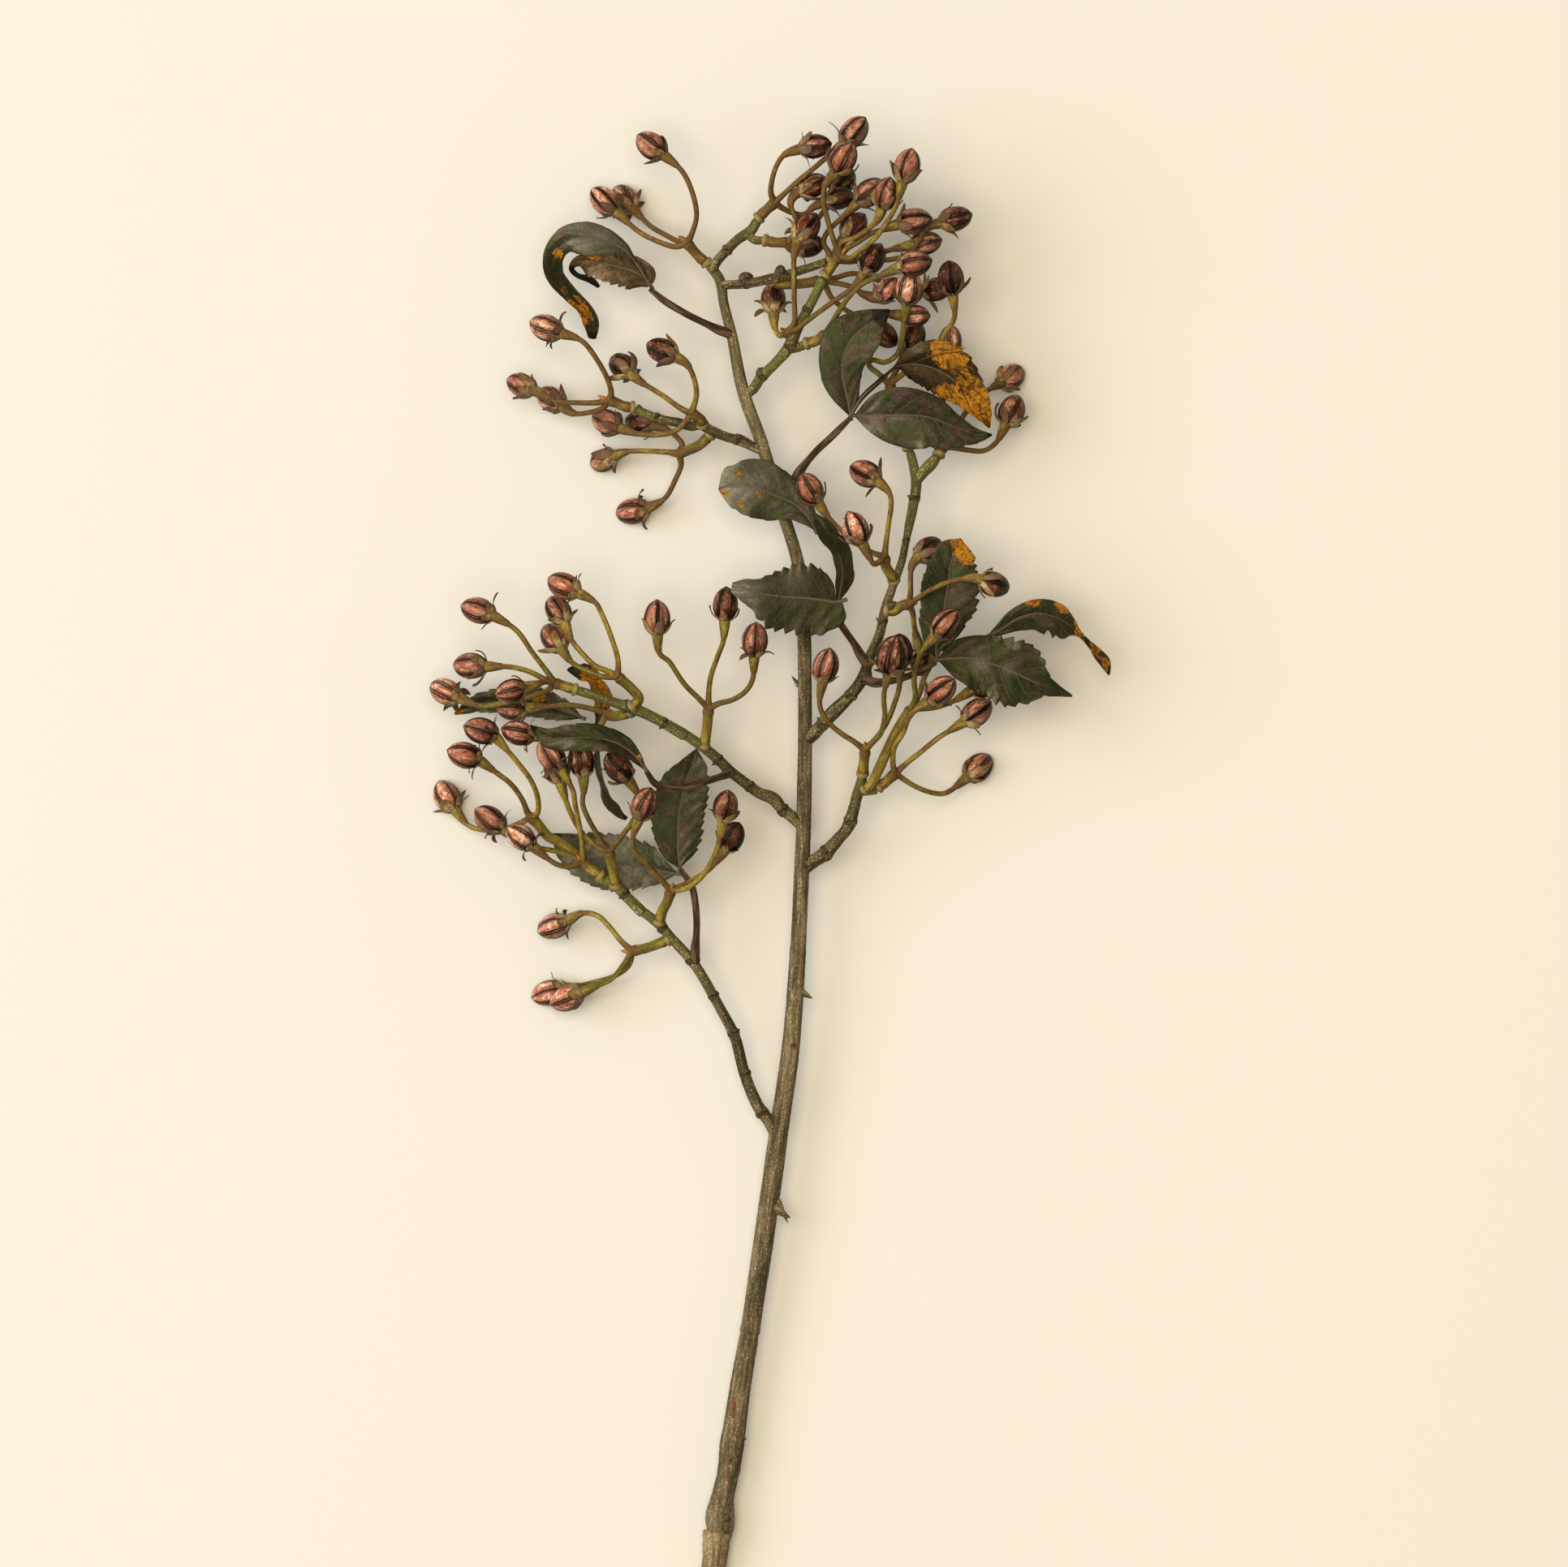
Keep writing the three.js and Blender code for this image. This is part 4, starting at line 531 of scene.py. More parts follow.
        [55.5, 210.5, 46.5, 11.6, 12.6, 8], [65.5, 209.5, 46, 9, 12, 4], [75, 206, 44.5, 5, 10, 0],
        [83.5, 203, 43, 2.5, 4.5, 0], [90.5, 202.5, 42, 0.4, 0.4, 0],
      ],
      [
        [33.5, 212, 47.5, 0.6, 0.6, 0], [37.5, 218, 47.6, 1, 1, 0], [44.5, 224.5, 46, 1, 1, 0],
        [51.5, 230.5, 43, 1.2, 1.2, 0], [56.5, 231.5, 43, 7, 6, 10], [64, 230.5, 44, 11.5, 8.5, 15],
        [72.5, 226.5, 44.5, 12.5, 9.5, 10], [80.5, 220, 43, 8, 7, 0], [86.5, 212.5, 41, 4, 4.5, -5],
        [89.5, 205.5, 39.5, 0.4, 0.4, -5],
      ],
    ],
  },
  "crown": {
    "branch": [
      [-20.5, 264.5, 31.6, 1.9], [-15.5, 264.5, 33.5, 1.9], [-9.5, 265, 36, 2.2], [-5.5, 265.5, 37.5, 2],
      [-0.5, 266.5, 39, 2.1], [4.5, 267.5, 40, 2], [10.5, 269.5, 41, 1.8], [17, 271.5, 42, 1.7],
      [22.5, 273.5, 42.4, 1.7],
    ],
    "twigs": [
      twig_routes(
        [[23, 273.5, 42.4], [25.5, 274.5, 42]],
        [
          [23.5, 277.5, 42], [21.5, 281.5, 43], [23, 285.5, 44.5], [27, 289.5, 46.5], [31.5, 293.5, 48],
          [35.5, 297.5, 49.5], [40.5, 301.5, 51],
        ],
        [[27.5, 279.5, 42.5], [29.5, 283, 43], [34, 288, 43.5, 0.9]],
        [
          [30.5, 274.5, 38.5], [37.5, 275.5, 36.5], [45, 277.5, 35.5], [52.5, 279.5, 36], [58, 280.5, 36.5],
          [63.5, 281.5, 37, 0.9],
        ],
        [
          [31.5, 273.5, 41.5], [40, 274.5, 40], [49.5, 274.5, 40.5], [56.5, 277, 42], [60.5, 282, 43.5],
          [64.5, 287.5, 44.5], [70, 289.5, 45], [75.5, 291, 45, 0.95],
        ],
      ),
      twig_routes(
        [[0, 266, 37], [4, 264.5, 36.4], [14.5, 265, 36], [20, 266, 36]],
        [
          [26.5, 265, 37], [32.5, 263.5, 38], [37.5, 260.5, 39], [41.5, 259, 39], [44.5, 258.5, 39.5],
          [47.5, 262, 40, 0.85],
        ],
        [
          [22.5, 263.5, 35], [24.5, 259.5, 34], [30, 254.5, 33], [36.5, 251, 32], [41.5, 248.5, 31],
          [46.5, 244, 30, 0.9],
        ],
        [
          [25.5, 267, 33.5], [34, 269, 32], [43.5, 266.5, 31], [53.5, 262.5, 32], [61.5, 261, 34],
          [68, 262.5, 36, 0.9],
        ],
      ),
    ],
  },
  "crest": {
    "branch": [
      [-24, 270, 32.2, 1.9], [-22.5, 273.5, 34, 2], [-19, 277.5, 35.5, 2], [-14.5, 282, 37, 2],
      [-11, 284.5, 38.4, 2.1], [-8, 286.5, 39.8, 2.1], [-5.5, 290.5, 41.4, 2],
    ],
    "side": [[-9.5, 285, 39, 1.9], [-6.5, 282.5, 38.6, 1.8], [-3.5, 282.5, 38.4, 1.8]],
    "twigs": [
      twig_routes(
        [[-5.5, 291, 41.8], [-3, 293.5, 43], [1.5, 297.5, 46]],
        [
          [0, 301.5, 49], [0.5, 306.5, 52.5], [2.5, 312.5, 55.5], [5.5, 316.5, 57], [11.5, 319, 58],
          [18, 320, 58.5, 0.92],
        ],
        [
          [6.5, 302, 49.5], [11.5, 306.5, 51.5], [18.5, 312, 53.5], [22.5, 315.5, 54], [30.5, 321.5, 55],
          [34, 326, 56],
        ],
        [
          [4.5, 295.5, 43.5], [9, 293.5, 41], [13.5, 293, 40], [17.5, 296, 40], [22.5, 298.5, 40.5],
          [28, 299.5, 41, 0.85],
        ],
      ),
      twig_routes(
        [[-3, 282.5, 38.4], [2, 281.5, 40], [7, 281.5, 41.5]],
        [
          [9.5, 284.5, 43.5], [11, 288.5, 45], [9.5, 292.5, 46], [8, 297, 46.5], [9.5, 300.5, 46.5],
          [12.5, 302.5, 46.5], [17, 304.5, 46, 0.92],
        ],
        [[8.5, 279.5, 40], [11.5, 278.5, 39], [16, 280, 38.5, 0.85]],
        [[11.5, 283, 38.5], [16.5, 288, 35], [21.5, 294.5, 32], [25, 300.5, 31.5], [29.5, 306.5, 32, 0.9]],
      ),
    ],
  },
  "tip": {
    "twigs": [
      twig_routes(
        [[-26, 273, 32.2], [-30, 276.5, 33.5], [-34.5, 281.5, 35.5]],
        [
          [-32.5, 285, 38], [-30.5, 292.5, 41.5], [-32.5, 302.5, 44.5], [-36.5, 310.5, 46],
          [-42.5, 316, 45], [-49, 321, 43],
        ],
        [
          [-38.5, 282.5, 31], [-44, 285.5, 25], [-49.5, 289, 18.5], [-56, 295.5, 11],
          [-60.5, 301, 5.8, 0.97],
        ],
        [[-39, 280, 33.5], [-49, 283.5, 28], [-55.5, 287.5, 23], [-62.5, 294, 20], [-68.5, 299.5, 18]],
      ),
    ],
    "petiole": [
      [-16.5, 244.5, 30.6], [-20.5, 245.5, 33], [-28, 249, 35.5], [-36, 253, 37], [-43.5, 257.5, 38],
      [-48.5, 261.5, 38.6],
    ],
    "leaves": [
      [
        [-49.5, 264, 38.8, 1.5, 2, 0], [-51, 266, 39, 4, 5, 0], [-54, 268.5, 39.2, 7, 6, 6],
        [-59, 270.5, 39.6, 7.8, 6.5, 10], [-64.5, 272, 39.8, 7.8, 6, 8], [-70, 273.5, 39.5, 6.8, 5, 0],
        [-75.5, 274.5, 39, 6.6, 3, 0], [-80, 273.5, 37.5, 4, 1.8, -15], [-81.5, 270.5, 34.5, 1.6, 1.6, -30],
        [-79, 268, 33.5, 1.4, 1.4, -30], [-74.5, 266.5, 32.6, 1.6, 1.6, -20],
        [-70.5, 263.5, 31.6, 0.6, 0.6, 0],
      ],
      [
        [-50.5, 265.5, 42, 0.6, 0.6, 0], [-53.5, 270.5, 44, 1.2, 1.2, 10], [-57.5, 275.5, 46, 1.7, 1.7, 15],
        [-60.5, 278.5, 47, 2.8, 3.2, 20], [-66, 281, 48, 5.4, 5.2, 20], [-71.5, 282.5, 48.7, 7, 6.6, 20],
        [-77.5, 283, 49, 7, 6.8, 10], [-83, 282, 48, 5.6, 6, 0], [-87, 278.5, 45.5, 4, 5.2, -5],
        [-89.5, 273, 42, 4.4, 4.4, -20], [-88.5, 267, 37.5, 5, 3.8, -35], [-82.5, 261, 32, 3.8, 3.8, -40],
        [-76.5, 255, 28, 3.6, 3.4, -30], [-73.5, 249, 25, 3.3, 3.5, -20], [-73.5, 242.5, 22.5, 1.6, 1.6, 0],
      ],
    ],
  },
}
fruit_total = sum(len(twig["fruits"]) for parts in GROUPS.values() for twig in parts["twigs"])
print(len(GROUPS), "groups,", fruit_total, "berries")

# %% [markdown]
# ## Curves and skins
# Blender could skin a curve object with a bevel, but a bevel is round and even, and plants are
# neither. So the meshes here are made point by point: a smooth curve, a set of directions square
# to it, and a radius for every direction. Ridges, collars and creases are then just radii.

# %% A smooth curve through given points
SPAN_STEPS = 16  # samples between two neighbouring points before the even resampling


def curve_through(points, spacing):
    """Even samples, spacing apart, of a centripetal Catmull-Rom curve. Columns after x, y, z
    ride along and are smoothed in the same way."""
    p = np.array(points, float)
    p = np.vstack([2 * p[0] - p[1], p, 2 * p[-1] - p[-2]])
    knots = np.linalg.norm(np.diff(p[:, :3], axis=0), axis=1) ** 0.5
    t = np.linspace(0, 1, SPAN_STEPS, endpoint=False)[:, None]
    spans = []
    for i in range(1, len(p) - 2):
        before, here, after = knots[i - 1 : i + 2]
        a, b, c, d = p[i - 1 : i + 3]
        leave = here * ((b - a) / before - (c - a) / (before + here)) + (c - b)
        arrive = (c - b) - here * ((d - b) / (here + after) - (d - c) / after)
        spans.append(
            (2 * t**3 - 3 * t**2 + 1) * b
            + (t**3 - 2 * t**2 + t) * leave
            + (3 * t**2 - 2 * t**3) * c
            + (t**3 - t**2) * arrive
        )
    dense = np.vstack([*spans, p[-2]])
    steps = np.linalg.norm(np.diff(dense[:, :3], axis=0), axis=1)
    travelled = np.concatenate([[0], np.cumsum(steps)])
    count = max(3, round(travelled[-1] / spacing) + 1)
    along = np.linspace(0, travelled[-1], count)
    return np.column_stack([np.interp(along, travelled, column) for column in dense.T]), along


def unit(vectors):
    return vectors / np.linalg.norm(vectors, axis=-1, keepdims=True)


def side_directions(path):
    """For each point of a path: the way along it and two directions square to it that don't
    twist from one point to the next."""
    tangent = unit(np.gradient(path, axis=0))
    helper = np.array([0.0, 0, 1]) if abs(tangent[0][2]) < 0.9 else np.array([1.0, 0, 0])
    normal = np.empty_like(tangent)
    last = helper
    for i, way in enumerate(tangent):
        last = unit(last - np.dot(last, way) * way)
        normal[i] = last
    return tangent, normal, np.cross(tangent, normal)


# %% One place where points become a mesh
def grid_faces(rows, columns):
    """The quads of a grid of points, row by row; the last column joins the first."""
    r, c = np.meshgrid(np.arange(rows - 1), np.arange(columns), indexing="ij")
    here = r * columns + c
    right = r * columns + (c + 1) % columns
    return np.stack([here, right, right + columns, here + columns], -1).reshape(-1, 4)


class Growth:
    """Gathers grids of points into one mesh. Every point carries "skin", its place on the
    straightened piece in millimetres, and a few plain numbers for the finish to read."""

    def __init__(self, *marks):
        self.points, self.faces, self.skin, self.count = [], [], [], 0
        self.marks = {name: [] for name in marks}

    def add(self, grid, skin, **marks):
        """Adds a tube of points, one ring to a row, and closes each end with a fan of faces."""
        rows, columns = grid.shape[:2]
        self.points.append(grid.reshape(-1, 3))
        self.skin.append(skin.reshape(-1, 3))
        self.faces += list(grid_faces(rows, columns) + self.count)
        size = rows * columns
        for end, row in ((0, 0), (1, rows - 1)):
            ring = np.arange(columns) + row * columns + self.count
            if end:
                ring = ring[::-1]
            middle = self.count + size + end
            self.faces += [np.array([middle, b, a]) for a, b in zip(ring, np.roll(ring, -1))]
            self.points.append(grid[row].mean(axis=0, keepdims=True))
            self.skin.append(skin[row].mean(axis=0, keepdims=True))
        # painted light: each point is marked higher on the side of its ring that faces the lamps, for the
        # finishes to paint that side lighter and the far side darker
        if "bleach" in self.marks:
            out = grid - grid.mean(axis=1, keepdims=True) + 1e-6
            marks.setdefault("bleach", ramp(unit(out) @ PAINTED_LIGHT_DIRECTION, -0.6, 1.0))
        for name, values in self.marks.items():
            flat = np.broadcast_to(marks.get(name, 0.0), (rows, columns)).reshape(-1)
            values.append(np.append(flat, [flat[0], flat[-1]]))
        self.count += size + 2

    def finish(self, name, material, slot, node):
        """Makes the Blender object, which stands in for that node of the solid model."""
        points = np.vstack(self.points)
        points[:, 2] = np.maximum(points[:, 2], TABLE_CLEARANCE)
        mesh = bpy.data.meshes.new(name)
        mesh.from_pydata((points * MM).tolist(), [], [f.tolist() for f in self.faces])
        mesh.polygons.foreach_set("use_smooth", np.ones(len(mesh.polygons), bool))
        skin = mesh.attributes.new("skin", "FLOAT_VECTOR", "POINT")
        skin.data.foreach_set("vector", np.vstack(self.skin).astype(np.float32).ravel())
        for mark, values in self.marks.items():
            made = mesh.attributes.new(mark, "FLOAT", "POINT")
            made.data.foreach_set("value", np.concatenate(values).astype(np.float32))
        mesh.materials.append(material)
        piece = bpy.data.objects.new(name, mesh)
        bpy.context.scene.collection.objects.link(piece)
        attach(piece, "root")
        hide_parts(node)
        return piece


TABLE_CLEARANCE = 0.05  # mm left between the lowest points and the table
PAINTED_LIGHT_DIRECTION = unit(np.array([-0.5, 0.35, 0.8]))  # up and to the left, towards the lamps: the side of a piece facing it is painted lighter

# %% A skin of given radii round a path
def ring_angles(sides):
    return np.linspace(0, 2 * math.pi, sides, endpoint=False)


def tube(path, along, radius):
    """Points round a path, and their places on the straightened tube. radius has one row for
    each point of the path and one column for each side."""
    _, normal, binormal = side_directions(path)
    angle = ring_angles(radius.shape[1])
    out = (
        np.cos(angle)[None, :, None] * normal[:, None] + np.sin(angle)[None, :, None] * binormal[:, None]
    )
    grid = path[:, None] + radius[..., None] * out
    skin = np.stack(
        [radius * np.cos(angle), radius * np.sin(angle), np.broadcast_to(along[:, None], radius.shape)],
        -1,
    )
    return grid, skin


def bump(x, middle, width):
    """A smooth hill of height 1."""
    return np.exp(-(((x - middle) / width) ** 2))


def ramp(x, low, high):
    """0 up to low, 1 from high on, smooth between."""
    t = np.clip((x - low) / (high - low), 0, 1)
    return t * t * (3 - 2 * t)


def wander(rng, rows, columns, long_step, strength):
    """Slow random unevenness of a skin: a few waves round it that drift along it."""
    angle = ring_angles(columns)
    s = np.arange(rows)[:, None] / long_step
    total = np.zeros((rows, columns))
    for waves in (1, 2, 3, 5, 8):
        phase, drift, beat = rng.uniform(0, 2 * math.pi, 3)
        sway = np.sin(s * rng.uniform(0.5, 1.3) + drift)
        fade = 0.6 + 0.4 * np.sin(s * rng.uniform(0.7, 1.9) + beat)
        total += fade * np.sin(waves * angle + phase + 1.2 * sway) / waves**0.5
    return strength * total


print("curves, skins and meshes are ready")

# %% [markdown]
# ## A small language for finishes
# A finish is a sum of masks and colours. Written as a node graph it is hard to read, so one
# small class wraps an output socket and lets Python's own signs add the Math nodes. Colours are
# mixed with Mix nodes, because a Math node would turn them grey. Every other node comes from one
# method, which takes its type, its settings and the values or links of its sockets.

# %% Sockets that can be added and multiplied
WARM_GLINT = (1.0, 0.84, 0.62, 1.0)  # colour of the glint on dry, waxy plant skin


class Value:
    """An output socket of a material, usable in Python arithmetic."""

    def __init__(self, board, socket):
        self.board, self.socket = board, socket

    def __add__(self, other):
        return self.board.math("ADD", self, other)

    def __mul__(self, other):
        return self.board.math("MULTIPLY", self, other)

    def __sub__(self, other):
        return self.board.math("SUBTRACT", self, other)

    def __rsub__(self, other):
        return self.board.math("SUBTRACT", other, self)

    __radd__, __rmul__ = __add__, __mul__


class Board:
    """One material's nodes."""

    def __init__(self, name, roughness=0.5, specular=0.5):
        self.material = bpy.data.materials.new(name)
        self.material.use_nodes = True
        self.tree = self.material.node_tree
        self.shader = self.tree.nodes["Principled BSDF"]
        for socket, value in (
            ("Roughness", roughness),
            ("Specular IOR Level", specular),
            ("Specular Tint", WARM_GLINT),
        ):
            self.shader.inputs[socket].default_value = value

    def node(self, kind, settings, sockets, output=0):
        """Adds a node and returns one of its outputs. settings are the node's own properties;
        sockets are values or links, each under its number, identifier or name."""
        made = self.tree.nodes.new(kind)
        for setting, value in settings.items():
            setattr(made, setting, value)
        for key, value in sockets.items():
            if isinstance(key, int):
                socket = made.inputs[key]
            else:
                socket = next(s for s in made.inputs if key in (s.identifier, s.name))
            if isinstance(value, Value):
                self.tree.links.new(value.socket, socket)
            elif socket.type == "RGBA":
                socket.default_value = (*value, 1)
            else:
                socket.default_value = value
        if isinstance(output, str):
            named = next(s for s in made.outputs if output in (s.identifier, s.name))
            return Value(self, named)
        return Value(self, made.outputs[output])

    def math(self, operation, left, right):
        return self.node("ShaderNodeMath", {"operation": operation}, {0: left, 1: right})

    def mark(self, name):
        """A plain number that the mesh carries."""
        return self.node("ShaderNodeAttribute", {"attribute_name": name}, {}, "Fac")

    def place(self):
        """Where each point lies on the straightened piece, in millimetres."""
        return self.node("ShaderNodeAttribute", {"attribute_name": "skin"}, {}, "Vector")

    def stretch(self, vector, scale):
        return self.node("ShaderNodeVectorMath", {"operation": "MULTIPLY"}, {0: vector, 1: scale})

    def noise(self, vector, scale, detail, roughness, distortion=0.0):
        sockets = {
            "Vector": vector,
            "Scale": scale,
            "Detail": detail,
            "Roughness": roughness,
            "Distortion": distortion,
        }
        return self.node("ShaderNodeTexNoise", {}, sockets)

    def step(self, value, low, high):
        """0 below low, 1 above high, smooth between."""
        sockets = {"Value": value, "From Min": low, "From Max": high}
        settings = {"interpolation_type": "SMOOTHSTEP"}
        return self.node("ShaderNodeMapRange", settings, sockets)

    def mix(self, share, base, over):
        sockets = {"Factor_Float": share, "A_Color": base, "B_Color": over}
        return self.node("ShaderNodeMix", {"data_type": "RGBA"}, sockets, "Result_Color")

    def tint(self, colour, shade):
        """A colour made lighter or darker by a number."""
        grey = self.node("ShaderNodeCombineColor", {}, {0: shade, 1: shade, 2: shade})
        sockets = {"Factor_Float": 1.0, "A_Color": colour, "B_Color": grey}
        settings = {"data_type": "RGBA", "blend_type": "MULTIPLY"}
        return self.node("ShaderNodeMix", settings, sockets, "Result_Color")

    def paint(self, colour, roughness, height, depth):
        """Joins colour, roughness and relief to the shader. depth is in millimetres."""
        self.tree.links.new(colour.socket, self.shader.inputs["Base Color"])
        self.tree.links.new(roughness.socket, self.shader.inputs["Roughness"])
        sockets = {"Strength": 1.0, "Distance": depth * MM, "Height": height}
        relief = self.node("ShaderNodeBump", {}, sockets)
        self.tree.links.new(relief.socket, self.shader.inputs["Normal"])
        print("finish:", self.material.name, "with", len(self.tree.nodes), "nodes")
        return self.material


# %% [markdown]
# ## Bark
# The stem and branches have thin, dry bark: grey-brown over green, drawn out into long ridges,
# with short cross wrinkles where it has dried, dark cracks and pale flecks. Noise stretched
# along the straightened stem gives streaks that follow every bend, because the "skin"
# coordinates were laid down before the bending. The bark is also painted lighter on the side
# towards the lamps and darker on the far side.

# %% Bark finishes
def bark(name, moss, brown, pale, green_ends):
    """moss and brown are the two bark colours; green_ends greens the places marked young."""
    b = Board(name, roughness=0.7, specular=0.12)
    skin = b.place()
    streaks = b.noise(b.stretch(skin, (1.0, 1.0, 0.09)), 0.75, 5.0, 0.62)
    fibres = b.noise(b.stretch(skin, (2.6, 2.6, 0.22)), 1.1, 4.0, 0.65)
    wrinkles = b.noise(b.stretch(skin, (0.5, 0.5, 1.6)), 0.8, 3.0, 0.6, 0.6)
    patches = b.noise(b.stretch(skin, (0.5, 0.5, 0.12)), 0.35, 3.0, 0.6)
    flecks = b.noise(b.stretch(skin, (1.0, 1.0, 0.55)), 2.1, 2.0, 0.5)
    pits = b.noise(b.stretch(skin, (1.0, 1.0, 0.6)), 2.9, 2.0, 0.6)
    colour = b.mix(b.step(streaks + patches * 0.6, 0.62, 0.98), moss, brown)
    colour = b.mix(b.mark("young") * green_ends, colour, YOUNG_GREEN)
    colour = b.mix(b.step(fibres, 0.5, 0.3) * 0.75, colour, BARK_CRACK)
    colour = b.mix(b.step(wrinkles, 0.36, 0.26) * 0.5, colour, BARK_CRACK)
    colour = b.mix(b.step(flecks * 0.7 + streaks * 0.3, 0.56, 0.64) * 0.8, colour, pale)
    colour = b.mix(b.step(pits, 0.60, 0.70) * 0.85, colour, BARK_CRACK)
    colour = b.mix(b.mark("scar"), colour, SCAR_BROWN)
    # painted light: lighter on the side facing the lamps, darker on the far side
    colour = b.tint(colour, (0.72 + 0.56 * b.step(patches, 0.3, 0.7)) * (0.62 + 0.66 * b.mark("bleach")))
    height = streaks * 0.9 + fibres * 0.55 + b.step(wrinkles, 0.38, 0.3) * -0.25
    rough = 0.5 + 0.35 * fibres
    return b.paint(colour, rough, height, 0.55)


YOUNG_GREEN = (0.135, 0.135, 0.034)
BARK_CRACK = (0.026, 0.020, 0.013)
SCAR_BROWN = (0.26, 0.12, 0.07)
stem_bark = bark("stem_bark", (0.076, 0.062, 0.032), (0.195, 0.140, 0.076), (0.48, 0.39, 0.25), 0.4)
base_bark = bark("base_bark", (0.15, 0.108, 0.056), (0.31, 0.215, 0.12), (0.62, 0.50, 0.34), 0.0)
branch_bark = bark("branch_bark", (0.040, 0.035, 0.014), (0.140, 0.100, 0.046), (0.50, 0.41, 0.25), 0.9)

# %% [markdown]
# ## Green wood
# Twigs and fruit stalks are this year's growth: smooth, olive to ochre yellow, with brown where
# they have started to dry, which is in the forks, by the collars and, on the upper branches, in
# blotches all along. The collar where a twig slips over its stub is pale and ragged. The wood is
# also painted lighter on the side towards the lamps and darker on the far side.

# %% Twig and leaf stalk finishes
def green_wood(name):
    b = Board(name, roughness=0.5, specular=0.18)
    skin = b.place()
    lengthways = b.noise(b.stretch(skin, (0.9, 0.9, 0.12)), 0.8, 4.0, 0.6)
    blotches = b.noise(b.stretch(skin, (0.6, 0.6, 0.22)), 0.5, 3.0, 0.62)
    fine = b.noise(b.stretch(skin, (2.0, 2.0, 0.3)), 1.6, 3.0, 0.6)
    dots = b.noise(skin, 2.6, 2.0, 0.5)
    tone = b.mark("tone")
    colour = b.mix(b.step(tone, 0.25, 0.75), STALK_OLIVE, STALK_OCHRE)
    colour = b.mix(b.mark("swell") * 0.85, colour, RECEPTACLE_GREEN)
    colour = b.mix(b.step(lengthways + tone * 0.12, 0.5, 0.68) * 0.5, colour, STALK_YELLOW)
    dry = b.step(blotches + b.mark("dry") * 0.42, 0.56, 0.74)
    colour = b.mix(dry * 0.88, colour, STALK_BROWN)
    colour = b.mix(b.step(fine, 0.52, 0.36) * 0.75, colour, STALK_DARK)
    colour = b.mix(b.step(dots, 0.68, 0.74) * 0.5, colour, STALK_DARK)
    colour = b.mix(b.mark("collar") * (0.35 + 0.65 * fine), colour, COLLAR_PALE)
    colour = b.mix(b.mark("bud"), colour, BUD_ORANGE)
    # painted light: lighter on the side facing the lamps, darker on the far side
    colour = b.tint(colour, 0.4 + 1.0 * b.mark("bleach"))
    height = lengthways * 0.6 + fine * 0.5
    return b.paint(colour, 0.38 + 0.3 * fine, height, 0.3)


STALK_OLIVE = (0.115, 0.098, 0.016)
STALK_OCHRE = (0.235, 0.158, 0.026)
STALK_YELLOW = (0.40, 0.29, 0.05)
STALK_BROWN = (0.130, 0.066, 0.024)
STALK_DARK = (0.024, 0.013, 0.006)
RECEPTACLE_GREEN = (0.160, 0.122, 0.024)
COLLAR_PALE = (0.30, 0.23, 0.10)
BUD_ORANGE = (0.34, 0.135, 0.035)
twig_green = green_wood("twig_green")

PURPLE_DARK, PURPLE_BROWN = (0.036, 0.021, 0.012), (0.15, 0.092, 0.054)
PURPLE_CRACK = (0.022, 0.015, 0.012)
b = Board("leaf_stalk_purple", roughness=0.5, specular=0.12)
skin = b.place()
lengthways = b.noise(b.stretch(skin, (0.9, 0.9, 0.1)), 0.9, 4.0, 0.6)
fine = b.noise(b.stretch(skin, (2.0, 2.0, 0.4)), 1.6, 3.0, 0.6)
colour = b.mix(b.step(lengthways, 0.42, 0.66), PURPLE_DARK, PURPLE_BROWN)
colour = b.mix(b.step(fine, 0.42, 0.3) * 0.6, colour, PURPLE_CRACK)
leaf_stalk_purple = b.paint(colour, 0.4 + 0.3 * fine, lengthways * 0.7 + fine * 0.4, 0.35)

# %% [markdown]
# ## Berries and their sepals
# A berry is a dry capsule: brick and maroon brown, with peach on the high places that is partly
# wear and partly painted highlight, and black-brown rubbed into the creases. It shines a little,
# like oiled wood. Its colour also holds painted light: lighter on the side towards the lamps,
# darker on the far side, and painted shade towards every seam. The sepals are thin and dry:
# ochre at the foot, brown and nearly black towards their curled tips, and painted lighter on
# the side towards the lamps.

# %% Berry and sepal finishes
BERRY_GLINT = (1.0, 0.82, 0.66, 1.0)
BERRY_MAROON, BERRY_BRICK = (0.078, 0.017, 0.008), (0.39, 0.128, 0.070)
BERRY_SALMON, BERRY_WEAR_AND_HIGHLIGHT = (0.63, 0.335, 0.225), (0.96, 0.75, 0.63)
BERRY_LINE, BERRY_BLOTCH, BERRY_CREASE = (0.030, 0.006, 0.001), (0.022, 0.006, 0.001), (0.010, 0.003, 0.001)

b = Board("berry_skin", roughness=0.3, specular=0.24)
b.shader.inputs["Specular Tint"].default_value = BERRY_GLINT
skin = b.place()
tone, shade, crease = b.mark("tone"), b.mark("shade"), b.mark("crease")
meridians = b.noise(b.stretch(skin, (1.0, 1.0, 0.2)), 0.7, 4.0, 0.55, 0.4)
fine_lines = b.noise(b.stretch(skin, (1.5, 1.5, 0.22)), 1.9, 3.0, 0.6)
clouds = b.noise(skin, 0.34, 3.0, 0.6, 0.5)
colour = b.mix(tone, BERRY_MAROON, BERRY_BRICK)
colour = b.mix(b.step(meridians, 0.44, 0.68) * 0.6, colour, BERRY_SALMON)
